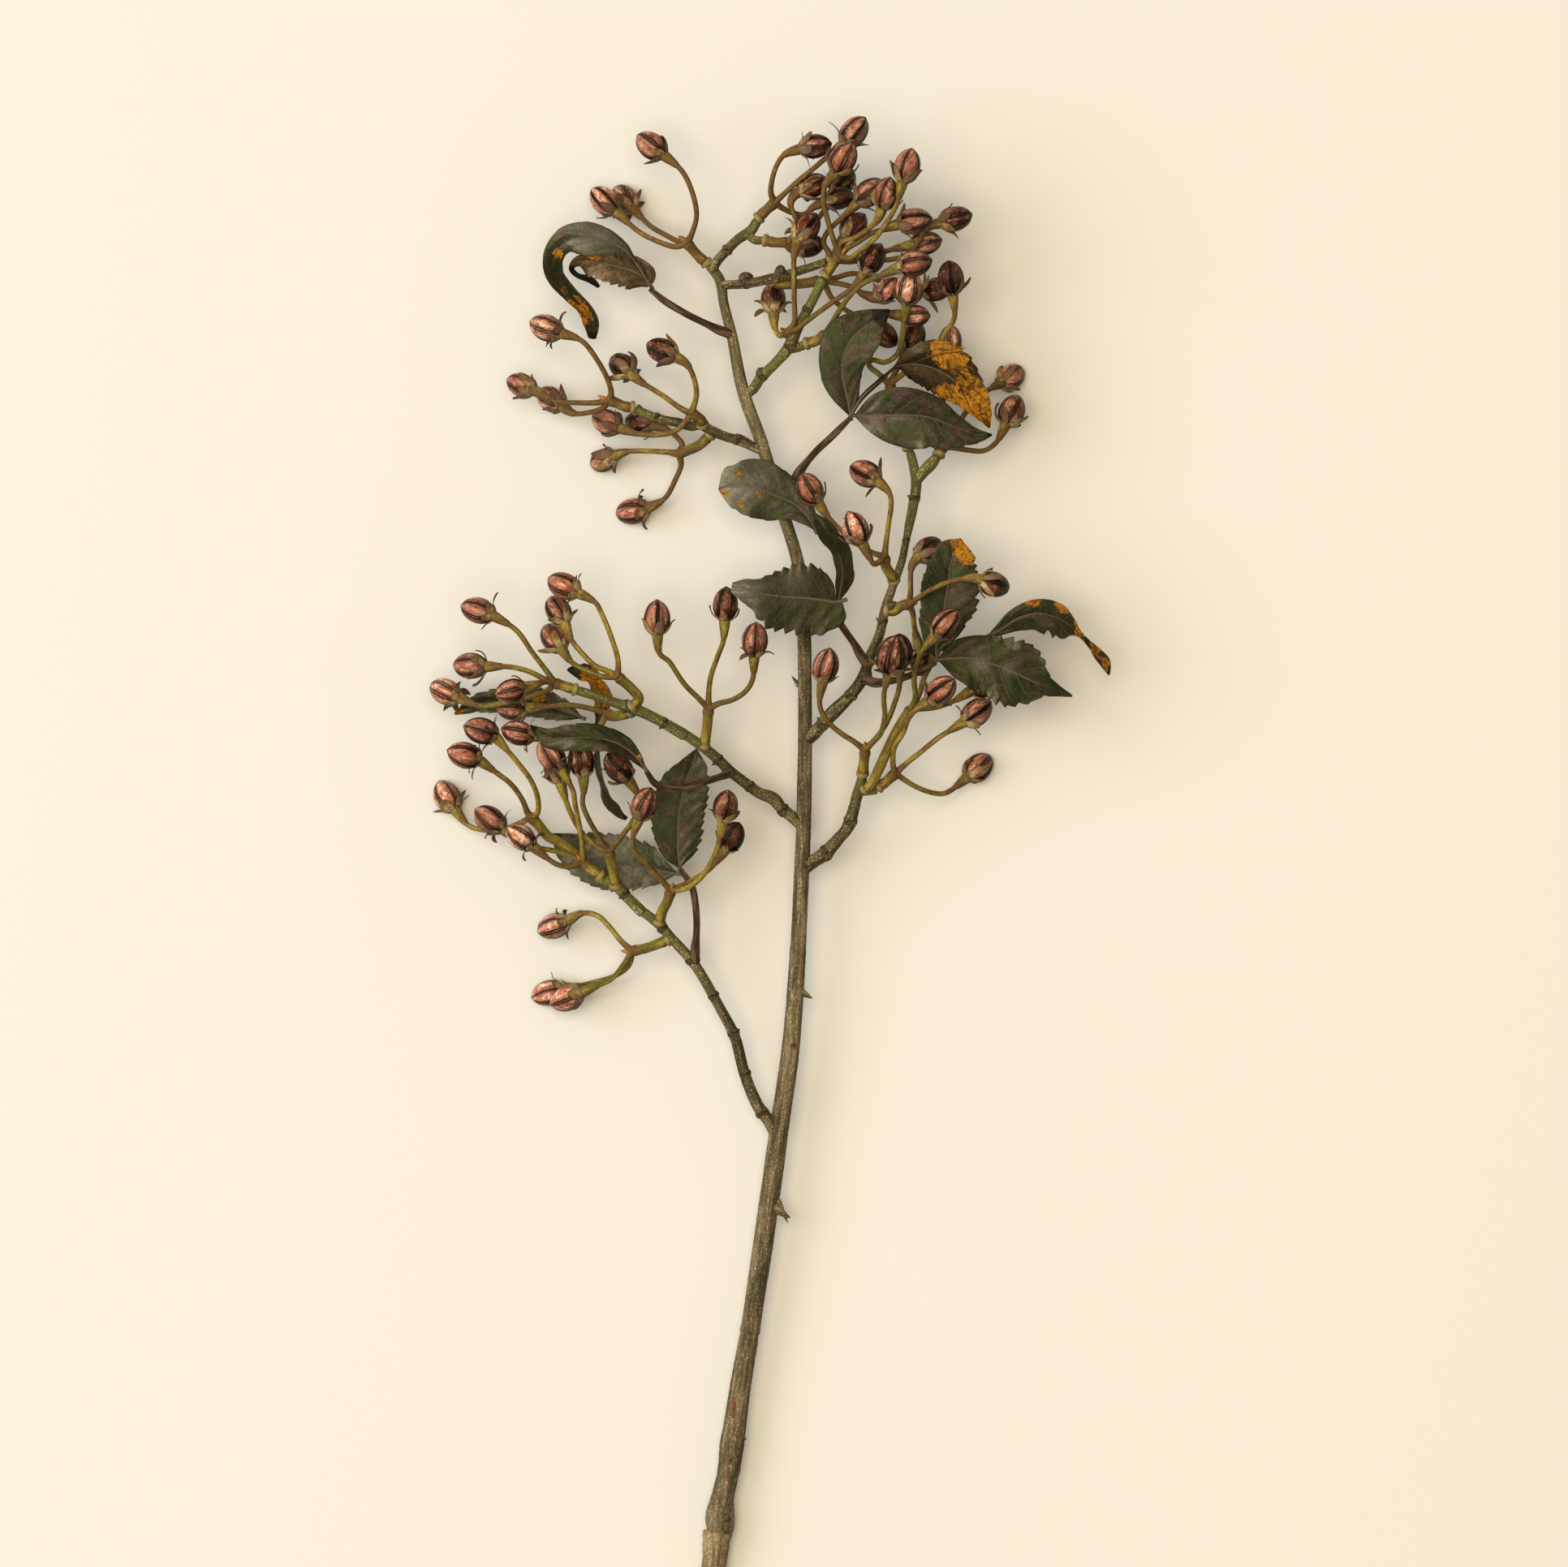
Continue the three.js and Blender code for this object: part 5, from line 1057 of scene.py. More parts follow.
# pale peach patches, partly wear and partly painted highlight
worn_and_highlight = b.step(meridians * 0.3 + clouds * 0.75 + tone * 0.08, 0.56, 0.76) * tone
colour = b.mix(worn_and_highlight * 0.75, colour, BERRY_WEAR_AND_HIGHLIGHT)
colour = b.mix(b.step(fine_lines, 0.49, 0.36) * 0.9, colour, BERRY_LINE)
# dark blotches, more on the dark berries: partly the berry's own blotches, partly painted shade
dark = b.step(clouds + shade * 0.3 + meridians * 0.3, 0.74, 0.92)
colour = b.mix(dark * 0.9, colour, BERRY_BLOTCH)
colour = b.mix(b.step(crease + fine_lines * 0.35, 0.28, 0.7) * 0.95, colour, BERRY_CREASE)
# painted light and shade: lighter on the side towards the lamps, darker on the far side and towards every
# seam
colour = b.tint(colour, (0.01 + 1.86 * b.mark("bleach")) * (0.34 + 0.82 * b.mark("panel")))
gloss = 0.14 + 0.26 * fine_lines + 0.2 * crease
berry_skin = b.paint(colour, gloss, meridians * 0.6 + fine_lines * 0.5, 0.5)

SEPAL_OCHRE, SEPAL_RUSSET, SEPAL_STRAW = (0.24, 0.155, 0.045), (0.27, 0.135, 0.075), (0.46, 0.34, 0.17)
SEPAL_BLOTCH, SEPAL_TIP, SEPAL_VEIN = (0.11, 0.058, 0.042), (0.095, 0.046, 0.021), (0.05, 0.024, 0.010)

b = Board("sepal_dry", roughness=0.55, specular=0.18)
skin = b.place()
tone, toward_tip = b.mark("tone"), b.mark("along")
veins = b.noise(b.stretch(skin, (2.4, 2.4, 0.2)), 1.0, 3.0, 0.6)
blotches = b.noise(skin, 0.55, 3.0, 0.6)
colour = b.mix(b.step(tone, 0.2, 1.2), SEPAL_OCHRE, SEPAL_RUSSET)
pale = b.step(0.5 - toward_tip + blotches * 0.5, 0.18, 0.5)
colour = b.mix(pale * 0.8, colour, SEPAL_STRAW)
colour = b.mix(b.step(blotches + tone * 0.3, 0.60, 0.76) * 0.8, colour, SEPAL_BLOTCH)
colour = b.mix(b.step(toward_tip + blotches * 0.9, 1.25, 1.6), colour, SEPAL_TIP)
colour = b.mix(b.step(veins, 0.46, 0.30) * 0.6, colour, SEPAL_VEIN)
# painted light: lighter on the side facing the lamps, darker on the far side
colour = b.tint(colour, 0.55 + 0.75 * b.mark("bleach"))
sepal_dry = b.paint(colour, 0.42 + 0.3 * veins, veins, 0.3)

# %% [markdown]
# ## Leaves
# The leaves have begun to turn. Their ground colour is a dark green-grey mottled with purple;
# the midrib and side veins are a little paler, and yellow-orange patches have eaten in from
# the edges of a few. Each leaf carries its own distance across and along, so the shader can
# draw veins as thin lines that no mesh would be fine enough for. A painted sheen lightens the
# parts of a blade that face the lamps, and painted pale grey patches stand for its glints.

# %% Leaf finishes
VEIN_PAIRS, VEIN_FORWARD = 7.0, 1.6  # side veins on each side, and how far they run forward
LEAF_SHADE, LEAF_PAINTED_SHEEN, UNDERSIDE = (0.016, 0.014, 0.006), (0.25, 0.225, 0.17), (0.090, 0.056, 0.030)
GOLD_DULL, GOLD_BRIGHT = (0.18, 0.066, 0.006), (0.50, 0.205, 0.012)
GOLD_MOTTLE, GOLD_VEIN = (0.045, 0.024, 0.008), (0.05, 0.025, 0.010)
LEAF_VEIN, LEAF_MIDRIB = (0.15, 0.125, 0.08), (0.17, 0.13, 0.10)
LEAF_SPECK, LEAF_SCORCHED = (0.42, 0.27, 0.09), (0.012, 0.009, 0.006)


def leaf_finish(name, green, purple, bloom_and_sheen, gilded=0.0):
    """green and purple mottle the blade; bloom_and_sheen is a lilac-grey laid in large patches and
    where the blade faces the lamps, partly the blade's own colour and partly painted sheen; gilded leaves
    the veins of a turned leaf dark."""
    b = Board(name, roughness=0.5, specular=0.14)
    skin = b.place()
    signed, along, under = b.mark("across"), b.mark("along"), b.mark("under")
    sheen = b.mark("sheen")
    across = b.math("ABSOLUTE", signed, 0.0)
    mottle = b.noise(skin, 0.15, 4.0, 0.62, 0.5)
    haze = b.noise(skin, 0.085, 3.0, 0.55, 0.3)
    cloth = b.noise(skin, 0.9, 4.0, 0.65)
    quilt = b.noise(skin, 0.32, 4.0, 0.65, 0.6)
    specks = b.noise(skin, 1.7, 2.0, 0.5)
    colour = b.mix(b.step(mottle, 0.45, 0.64), green, purple)
    # lilac-grey in large patches, partly the blade's own colour and partly painted sheen, more where the
    # blade faces the lamps
    colour = b.mix(b.step(haze * 0.6 + quilt * 0.1 + sheen * 0.18, 0.46, 0.72), colour, bloom_and_sheen)
    colour = b.mix(b.step(quilt, 0.50, 0.34) * 0.55, colour, LEAF_SHADE)
    colour = b.mix(under * 0.8, colour, UNDERSIDE)
    # painted sheen: pale grey patches placed where a blade shows a glint
    colour = b.mix(b.mark("haze"), colour, LEAF_PAINTED_SHEEN)
    # painted light: lighter where the blade faces the lamps, darker where it turns away
    colour = b.tint(colour, (0.22 + 1.6 * cloth) * (0.62 + 0.95 * sheen))
    vein = b.math("PINGPONG", along * VEIN_PAIRS - across * VEIN_FORWARD, 0.5)
    line = b.step(vein + cloth * 0.06, 0.11, 0.04) * b.step(across, 0.95, 0.6)
    middle = b.step(across, 0.045, 0.012)
    ragged = b.noise(b.stretch(skin, (1.0, 0.4, 1.0)), 0.5, 5.0, 0.7, 0.8)
    turned = b.step(b.mark("turned") * (3.6 * ragged - 0.8) + cloth * 0.2, 0.56, 0.68)
    gold = b.mix(b.step(cloth + mottle * 0.4, 0.55, 0.8), GOLD_DULL, GOLD_BRIGHT)
    gold = b.mix(b.step(mottle, 0.50, 0.60) * gilded, gold, GOLD_MOTTLE)
    gold = b.mix(b.step(vein + mottle * 0.3, 0.24, 0.15) * gilded, gold, GOLD_VEIN)
    colour = b.mix(line * 0.28, colour, LEAF_VEIN)
    colour = b.mix(middle * 0.6, colour, LEAF_MIDRIB)
    colour = b.mix(b.step(specks, 0.69, 0.73) * 0.6, colour, LEAF_SPECK)
    colour = b.mix(turned, colour, gold)
    colour = b.mix(b.step(b.mark("burnt") + cloth * 0.3, 0.62, 0.8), colour, LEAF_SCORCHED)
    height = line * 0.5 + middle * 0.6 + cloth * 0.7 + mottle
    return b.paint(colour, 0.28 + 0.22 * cloth, height, 0.5)


leaf_finishes = {
    "dark": leaf_finish("leaf_dark", (0.036, 0.046, 0.014), (0.070, 0.043, 0.030), (0.160, 0.140, 0.108)),
    "dusky": leaf_finish("leaf_dusky", (0.042, 0.050, 0.019), (0.086, 0.053, 0.043), (0.195, 0.164, 0.128)),
    "mauve": leaf_finish("leaf_mauve", (0.085, 0.054, 0.026), (0.185, 0.108, 0.058), (0.26, 0.165, 0.105)),
    "golden": leaf_finish(
        "leaf_golden", (0.024, 0.016, 0.004), (0.044, 0.022, 0.006), (0.15, 0.12, 0.085), 0.85
    ),
}

# %% [markdown]
# ## The stem
# The main stem is one long shoot. It thins from 9 mm at its foot to 4 mm at its tip, with
# shallow ridges, a swelling wherever a branch leaves, and a few thorns and old bud scars. Near
# the foot it bulges and sits in the collar of the lower piece of stem. It could be sculpted;
# a tube whose radius is worked out for every point and direction stays even and repeatable.

# %% Stem helpers
STEM_SIDES, STEM_RING = 44, 0.9  # points round the stem, and mm between two rings
BRANCH_SIDES, BRANCH_RING = 28, 0.8


def rough_radius(way, rng, sides, ridge_length, ridge, grain):
    """The radius of a stem on every side: slow ridges with a fine grain over them, both given
    as a share of the radius. ridge_length is in rings."""
    radius = np.repeat(way[:, 3:4], sides, axis=1)
    radius = radius * (1 + wander(rng, len(way), sides, ridge_length, ridge))
    return radius * (1 + rng.normal(0, grain, radius.shape))


def woody(growth, points, rng, sides, ring, ridge, young):
    """Adds a ridged stem along [x, y, z, radius] points, rounded off at both ends."""
    way, along = curve_through(points, ring)
    radius = rough_radius(way, rng, sides, 14.0, ridge, 0.012)
    edge = np.minimum(along, along[-1] - along)[:, None]
    radius = radius * (0.86 + 0.14 * ramp(edge, 0, 0.9))
    grid, skin = tube(way[:, :3], along, radius)
    growth.add(grid, skin, young=young[:, None], scar=0.0)
    return way, along


SPUR_SIDES = 8


def spur(growth, foot, tip, radius, lean=(0, 0, 0), scar=0.0):
    """Adds a thorn or bud: a cone from foot to tip that leans part of the way."""
    foot, tip, lean = (np.array(p, float) for p in (foot, tip, lean))
    route = [foot, (foot + tip) / 2 + lean, tip]
    way, along = curve_through(route, np.linalg.norm(tip - foot) / 8)
    share = along / along[-1]
    taper = radius * (1 - share) ** 0.8 + 0.12
    grid, skin = tube(way, along, np.repeat(taper[:, None], SPUR_SIDES, axis=1))
    growth.add(grid, skin, young=0.0, scar=scar * share[:, None])


def knot(growth, middle, size, rng, scar=0.0):
    """Adds a low lumpy knob: an old bud, or where a twig fell."""
    rows, columns = 9, 14
    polar = np.linspace(0.05, math.pi - 0.05, rows)[:, None]
    round_it = ring_angles(columns)[None, :]
    lump = 1 + wander(rng, rows, columns, 3.0, 0.09)
    out = np.stack(
        [
            np.sin(polar) * np.cos(round_it) * size[0] * lump,
            np.sin(polar) * np.sin(round_it) * size[1] * lump,
            np.cos(polar) * size[2] * lump,
        ],
        -1,
    )
    growth.add(np.array(middle, float) + out, out, young=0.0, scar=scar)


# %% The main stem, with its collar, thorns and scars
rng = np.random.default_rng(7)
growth = Growth("young", "scar", "bleach")
way, along = curve_through(MAIN_STEM, STEM_RING)
radius = rough_radius(way, rng, STEM_SIDES, 16.0, 0.035, 0.011)
STEM_RINGS = ((27, -0.22), (86, -0.3), (88.5, 0.25), (246, 0.12), (301, -0.15))
for ring_at, swelling in STEM_RINGS:  # mm from the foot, and mm that the ring stands out there
    radius = radius + swelling * bump(along, ring_at, 0.9)[:, None]
edge = np.minimum(along, along[-1] - along)[:, None]
radius = radius * (0.8 + 0.2 * ramp(edge, 0, 1.2))
grid, skin = tube(way[:, :3], along, radius)
growth.add(grid, skin, young=ramp(way[:, 1], 60, 260)[:, None] * 0.6, scar=0.0)

THORNS = (  # foot, tip, radius at the foot
    ((1.5, -115, 14.5), (8, -119, 15.5), 2.3),
    ((2.5, -112, 14.5), (7, -121, 15), 1.6),
    ((11.5, -25.5, 18), (17, -28.5, 19), 2.0),
    ((-13.5, -207, 10), (-10.2, -210.5, 11), 1.4),
    ((14, 75, 22), (18, 79, 23), 1.2),
    ((11.5, 100, 25), (8.5, 104, 26), 1.1),
)
for foot, tip, size in THORNS:
    spur(growth, foot, tip, size, lean=(0, 0, 0.3))
STEM_KNOTS = (  # middle, half sizes, how brown
    ((8.8, -48, 18.8), (1.6, 1.9, 1.5), 0.25),
    ((-17, -219, 13.4), (1.3, 1.9, 1.1), 0.3),
    ((-17.6, -224, 13.2), (1.0, 4.0, 0.9), 0.8),
    ((-19, -244, 12.9), (2.3, 5.0, 1.9), 0.0),
    ((-15.5, -197, 13.8), (1.3, 4.5, 0.9), 0.9),
    ((2.5, -84, 14.6), (3.2, 2.2, 2.6), 0.0),
    ((13, 25, 21.5), (2.4, 3.4, 2.2), 0.0),
    ((13.5, 78, 24.5), (2.2, 3.2, 2.0), 0.0),
)
for middle, size, scar in STEM_KNOTS:
    knot(growth, middle, size, rng, scar)
main_stem = growth.finish("main_stem_wood", stem_bark, "stem_bark", "main_stem")
print("main stem:", len(main_stem.data.vertices), "points,", round(along[-1]), "mm long")

# %% The lower piece of stem, whose collar holds the foot of the main stem
growth = Growth("young", "scar", "bleach")
way, along = curve_through(STEM_BASE, STEM_RING)
radius = rough_radius(way, rng, STEM_SIDES, 16.0, 0.03, 0.011)
from_top = (along[-1] - along)[:, None]
lip = wander(rng, 1, STEM_SIDES, 1.0, 0.12)
radius = radius + (0.3 + lip) * bump(from_top, 1.0, 1.3) - 0.3 * bump(from_top, 4.6, 1.2)
radius = radius * (0.75 + 0.25 * ramp(np.minimum(along[:, None], from_top), 0, 0.8))
grid, skin = tube(way[:, :3], along, radius)
growth.add(grid, skin, young=0.0, scar=0.0)
growth.finish("stem_base_wood", base_bark, "stem_bark", "stem_base")

# %% [markdown]
# ## The side branches
# Each branch is thinner and darker than the stem and turns green towards its end, where last
# year's wood gives way to this year's. Its knuckles are the wider points of its route. Small
# thorns stand at the knuckles. One function grows them all from the table of routes.

# %% Branches
KNUCKLES = {  # old buds and stubs that stand out: middle, half sizes, how brown
    "high_right": [((50, 132, 47.5), (3.0, 2.6, 2.6), 0.1), ((39, 104, 38.5), (2.6, 3.2, 2.6), 0.2)],
    "crown": [((-10.5, 266.5, 36.5), (3.0, 3.4, 2.8), 0.1), ((4, 268.5, 40.5), (2.6, 3.6, 2.4), 0.1)],
    "top_right": [((-3.5, 228, 31.5), (2.6, 3.0, 2.6), 0.1)],
}

LIMBS = ("branch", "ext", "side")
LIMB_GREEN = (0.0, 0.95, 0.5)  # how green the first, second and third limb of a group start out
GREEN_FROM_THE_FOOT = {"top_right": 0.75, "mid_left": 0.25}  # the least that these limbs have
FIRST_SPUR, SPUR_EVERY, BARE_END = 14, 22, 8  # all in rings along a limb
for number, (group, parts) in enumerate(GROUPS.items()):
    limbs = [parts[key] for key in LIMBS if key in parts]
    if not limbs:
        continue
    rng = np.random.default_rng(100 + number)
    growth = Growth("young", "scar", "bleach")
    for limb, points in enumerate(limbs):
        greener = max(LIMB_GREEN[limb], GREEN_FROM_THE_FOOT.get(group, 0.0))
        way, along = curve_through(points, BRANCH_RING)
        young = greener + (1 - greener) * ramp(along / along[-1], 0.45, 1.15) * 0.9
        way, along = woody(growth, points, rng, BRANCH_SIDES, BRANCH_RING, 0.045, young)
        tangent, normal, binormal = side_directions(way[:, :3])
        for i in range(FIRST_SPUR, len(along) - BARE_END, SPUR_EVERY):
            turn = rng.uniform(0, 2 * math.pi)
            out = math.cos(turn) * normal[i] + math.sin(turn) * binormal[i]
            foot = way[i, :3] + out * way[i, 3] * 0.7
            tip = foot + out * rng.uniform(1.4, 2.3) + tangent[i] * rng.uniform(0.2, 1.2)
            spur(growth, foot, tip, rng.uniform(0.5, 0.8), scar=0.2)
            knot(growth, way[i, :3], (way[i, 3] * 1.18,) * 3, rng)
    for middle, size, scar in KNUCKLES.get(group, ()):
        knot(growth, middle, size, rng, scar)
    branch = growth.finish(f"{group}_branch_wood", branch_bark, "branch_bark", f"{group}_branch")
    print(group, "branch:", len(branch.data.vertices), "points")

# %% [markdown]
# ## Twigs and fruit stalks
# A twig slips over its stub with a ragged collar and ends in a fork with a small pointed bud.
# From the fork come two to four fruit stalks, thickest where they leave it. The last 9 mm of a
# stalk swells into the receptacle, which begins with a small step like a cuff and carries the
# sepals and the berry. All the wood of a twig is one piece; its berries and its sepals are two
# more, because their finishes differ.

# %% Sizes of a twig and its fruits, in millimetres
TWIG_RADIUS, COLLAR_RADIUS, COLLAR_LENGTH = 2.1, 2.8, 1.9
STALK_RADIUS, STALK_FOOT_RADIUS = 1.08, 1.7
RECEPTACLE_RADIUS, RECEPTACLE_LENGTH = 2.35, 9.0
BERRY_LENGTH, BERRY_RADIUS = 14.4, 5.3
FOOT_SHARE = 0.35  # a stalk ends inside its berry, this share of the length below the middle
TWIG_SIDES, STALK_SIDES, BUD_SIDES = 18, 16, 8
COLLAR_LIP = np.array([-0.75, -0.1, 0.0, -0.08, -0.05, -0.3, -1.1])  # added to the collar's radius
SKIN_RING = 0.7  # mm between two rings of points


# %% The wood of one twig
def twig_wood(growth, stalk, withered, rng):
    way, along = curve_through(stalk, SKIN_RING)
    length, sides = along[-1], TWIG_SIDES
    base = np.full(len(along), TWIG_RADIUS) + 0.45 * bump(along, length, 2.2)
    base = base + 0.2 * bump(along, COLLAR_LENGTH + 1.4, 1.0)
    radius = np.repeat(base[:, None], sides, axis=1)
    radius = radius * (1 + wander(rng, len(along), sides, 7.0, 0.035))
    radius = radius * (0.75 + 0.25 * ramp((length - along)[:, None], -0.3, 1.2))
    grid, skin = tube(way, along, radius)
    tone = rng.uniform(0.1, 0.6)
    dry = 0.75 * bump(along, length, 3.0) + 0.35 * bump(along, COLLAR_LENGTH, 2.0) + withered
    growth.add(grid, skin, tone=tone, dry=dry[:, None])

    collar_at = np.linspace(-0.2, COLLAR_LENGTH, len(COLLAR_LIP))
    tangent, _, _ = side_directions(way)
    collar_way = way[0] + np.outer(collar_at, tangent[0])
    ragged = wander(rng, 1, sides, 1.0, 0.08) + rng.normal(0, 0.05, (1, sides))
    ring = COLLAR_RADIUS + COLLAR_LIP[:, None] + ragged * ramp(collar_at, 0, 1.4)[:, None]
    grid, skin = tube(collar_way, collar_at, ring)
    growth.add(grid, skin, tone=tone, collar=0.9, dry=0.2)
    return way[-1], tangent[-1]


def pointed_bud(growth, foot, way, length, radius, rng):
    """A small bud of two scales: thick near its foot, drawn to a point."""
    share = np.linspace(0, 1, 9)
    bend = np.cross(way, unit(rng.normal(size=3)))
    path = foot + np.outer(share * length, way) + np.outer(share**2 * length * 0.25, bend)
    width = radius * (np.sin(math.pi * np.clip(share, 0.02, 1) ** 0.7)) ** 0.8 + 0.1
    grid, skin = tube(path, share * length, np.repeat(width[:, None], BUD_SIDES, axis=1))
    growth.add(grid, skin, tone=0.8, bud=ramp(share, 0.1, 0.5)[:, None], dry=0.2)


def fruit_stalk(growth, way, along, withered, rng):
    length = along[-1]
    slim = length - RECEPTACLE_LENGTH
    base = STALK_RADIUS + (STALK_FOOT_RADIUS - STALK_RADIUS) * np.exp(-along / 3.0)
    swell = ramp(along, slim - 0.3, slim + 0.5) * 0.35
    widen = ramp(along, slim + 0.3, length - 1.5)
    base = base + swell + (RECEPTACLE_RADIUS - STALK_RADIUS - 0.35) * widen**0.8
    radius = np.repeat(base[:, None], STALK_SIDES, axis=1)
    radius = radius * (1 + wander(rng, len(along), STALK_SIDES, 6.0, 0.035))
    grid, skin = tube(way, along, radius)
    skin = skin + rng.uniform(0, 60, 3)
    dry = 0.7 * np.exp(-along / 3.5) + rng.uniform(0.0, 0.45)
    dry = dry * (1 - 0.75 * widen) + rng.uniform(0.1, 0.7) * bump(along, slim, 4.0) + withered
    growth.add(grid, skin, tone=rng.uniform(0.2, 1.0), swell=widen[:, None], dry=dry[:, None])


# %% [markdown]
# ## One berry
# The capsule is an egg 14 mm long and 11 mm across, a little fuller towards its foot, with a
# tiny beak. Five or six seams run from foot to tip. Most are a pair of fine creases with a thin
# rib between; some are one fine line, and a few have opened into a dark split. A sphere cut by
# a boolean would smear such creases, so the columns of points are set at the seams and
# far apart between them.

# %% The skin of one berry
SEAM_COLUMNS = np.array([-0.34, -0.25, -0.18, -0.11, -0.04, 0.04, 0.11, 0.18, 0.25, 0.34])  # radians
SEAM_DEPTHS = {  # mm below the skin at each of those columns
    "pair": np.array([0, 0.0, 0.15, 0.62, 0.12, 0.12, 0.62, 0.15, 0.0, 0]),
    "split": np.array([-0.05, -0.15, 0.05, 0.6, 1.0, 1.0, 0.6, 0.05, -0.15, -0.05]),
    "line": np.array([0, 0, 0.0, 0.1, 0.42, 0.42, 0.1, 0.0, 0, 0]),
}
SEAM_ODDS = {"pair": 0.5, "split": 0.15, "line": 0.35}
SEAM_PAINTED_LIGHT = [0.55, 0.3, 0.1, 0, 0, 0, 0, 0.1, 0.3, 0.55]  # painted light: 0 in a seam, towards 1 away from it, so the skin is painted darker at the seams
PANEL_DEPTHS, LOBE_PAINTED_LIGHT = [-0.08, -0.16, -0.08], [0.85, 1, 0.85]  # three columns between seams
BERRY_ROWS = 24
DARKNESS_LEVELS = {"d": (0.05, 0.75), "m": (0.45, 0.25), "s": (0.9, 0.0)}  # tone and shade; the dark berries are partly painted shade


def berry_radius(polar):
    """Radius of the egg for an angle that is 0 at its foot and pi at its tip."""
    return np.sin(polar) ** 0.96 * (1 + 0.05 * np.cos(polar) - 0.02 * np.cos(2 * polar))


def about_axis(out, angle, up, side, other, axis):
    """Points given by their distance from an axis, the angle about it and the way up it."""
    return (
        (out * np.cos(angle))[..., None] * side
        + (out * np.sin(angle))[..., None] * other
        + np.broadcast_to(up, out.shape)[..., None] * axis
    )


def berry(growth, middle, axis, size, darkness, rng):
    """Adds one berry and returns two directions square to its axis. darkness: d for a dark
    berry, m for a middling one, s for one faded to salmon; the dark ones are partly painted shade."""
    tone, shade = DARKNESS_LEVELS[darkness]
    seams = rng.integers(5, 7)
    start = rng.uniform(0, 2 * math.pi)
    centres = start + (np.arange(seams) + rng.uniform(-0.16, 0.16, seams)) * 2 * math.pi / seams
    angles, depths, panel = [], [], []
    for i, centre in enumerate(centres):
        kind = rng.choice(list(SEAM_ODDS), p=list(SEAM_ODDS.values()))
        angles += list(centre + SEAM_COLUMNS)
        depths += list(SEAM_DEPTHS[kind] * rng.uniform(0.75, 1.15))
        following = centres[(i + 1) % seams] + (2 * math.pi if i == seams - 1 else 0)
        panel += SEAM_PAINTED_LIGHT + LOBE_PAINTED_LIGHT
        gap = np.linspace(centre + SEAM_COLUMNS[-1], following + SEAM_COLUMNS[0], 5)[1:-1]
        angles += list(gap)
        depths += PANEL_DEPTHS
    angles, depths = np.array(angles), np.array(depths)
    polar = np.linspace(0.02, math.pi - 0.02, BERRY_ROWS)[:, None]
    sway = 0.10 * np.sin(polar * rng.uniform(0.8, 1.6) + rng.uniform(0, 6))
    turned = angles[None, :] + sway
    fade = np.clip(np.sin(polar), 0, 1) ** 0.35 * (0.75 + 0.25 * np.cos(polar * 0.9))
    out = berry_radius(polar) * BERRY_RADIUS - depths * fade
    out = np.clip(out * (1 + 0.02 * wander(rng, 1, len(angles), 1.0, 0.4)), 0.05, None)
    up = -np.cos(polar) * BERRY_LENGTH / 2 + 0.45 * ramp(polar, 2.85, 3.12)
    side = unit(np.cross(axis, np.array([0.3, 0.2, 1.0]) + 0.01))
    other = np.cross(axis, side)
    grid = middle + size * about_axis(out, turned, up, side, other, axis)
    place = np.stack([out * np.cos(turned), out * np.sin(turned), np.broadcast_to(up, out.shape)], -1)
    crease = np.clip(depths / 0.7, 0, 1) * np.clip(np.sin(polar) * 2.2, 0, 1)
    crease = np.maximum(crease, 0.8 * bump(polar, math.pi, 0.16))
    # the painted light marks: lighter towards the lamps, painted shade towards each seam
    growth.add(
        grid,
        place + rng.uniform(0, 90, 3),
        crease=crease,
        panel=np.array(panel),
        tone=tone + rng.uniform(-0.1, 0.1),
        shade=shade * rng.uniform(0.3, 1.3),
        bleach=ramp(unit(grid - middle) @ PAINTED_LIGHT_DIRECTION, -0.5, 1.0),
    )
    return side, other


# %% [markdown]
# ## The sepals
# Five dry sepals hold the foot of the berry. Each lies on the berry at first, then leaves it
# and curls away, some only a little and some right back like a small antler. The curl is drawn
# in the half-plane through the berry's axis by turning the growing direction a little at
# every step, which is also how a drying sepal curls.

# %% One sepal
SEPAL_STEPS, SEPAL_THICKNESS = 14, 0.95
SEPAL_FOOT, SEPAL_LIFT = 0.42, 0.3  # where it starts on the berry, and its clearance from it
BLADE_PLACES = [0, 0.15, 0.35, 0.55, 0.75, 0.9, 1]  # along the blade
BLADE_WIDTHS = [0.8, 0.95, 1.0, 0.92, 0.68, 0.36, 0]  # share of its full width there
SEPAL_HABITS = {  # share that lies on the berry, turn where it leaves, curl after that, width
    "clasping": (0.6, 0.1, 0.7, 4.6),
    "starry": (0.35, 0.35, 0.6, 4.0),
    "cradle": (0.15, 0.3, -1.1, 3.3),
    "antler": (0.4, 0.4, 1.5, 3.6),
}
HABIT_ODDS = [0.25, 0.2, 0.3, 0.25]
SEPALS = 5  # round each berry
LEAFY_SEPALS = {"high_left": 1.2, "top_right": 1.2, "crown": 1.2, "crest": 1.3}  # larger
BLADE_EDGE = np.array([-1, -0.55, 0, 0.55, 1, 0.55, 0, -0.55])  # across the blade, top then under
BLADE_RISE = np.array([0, 0.8, 1, 0.8, 0, -0.8, -1, -0.8])


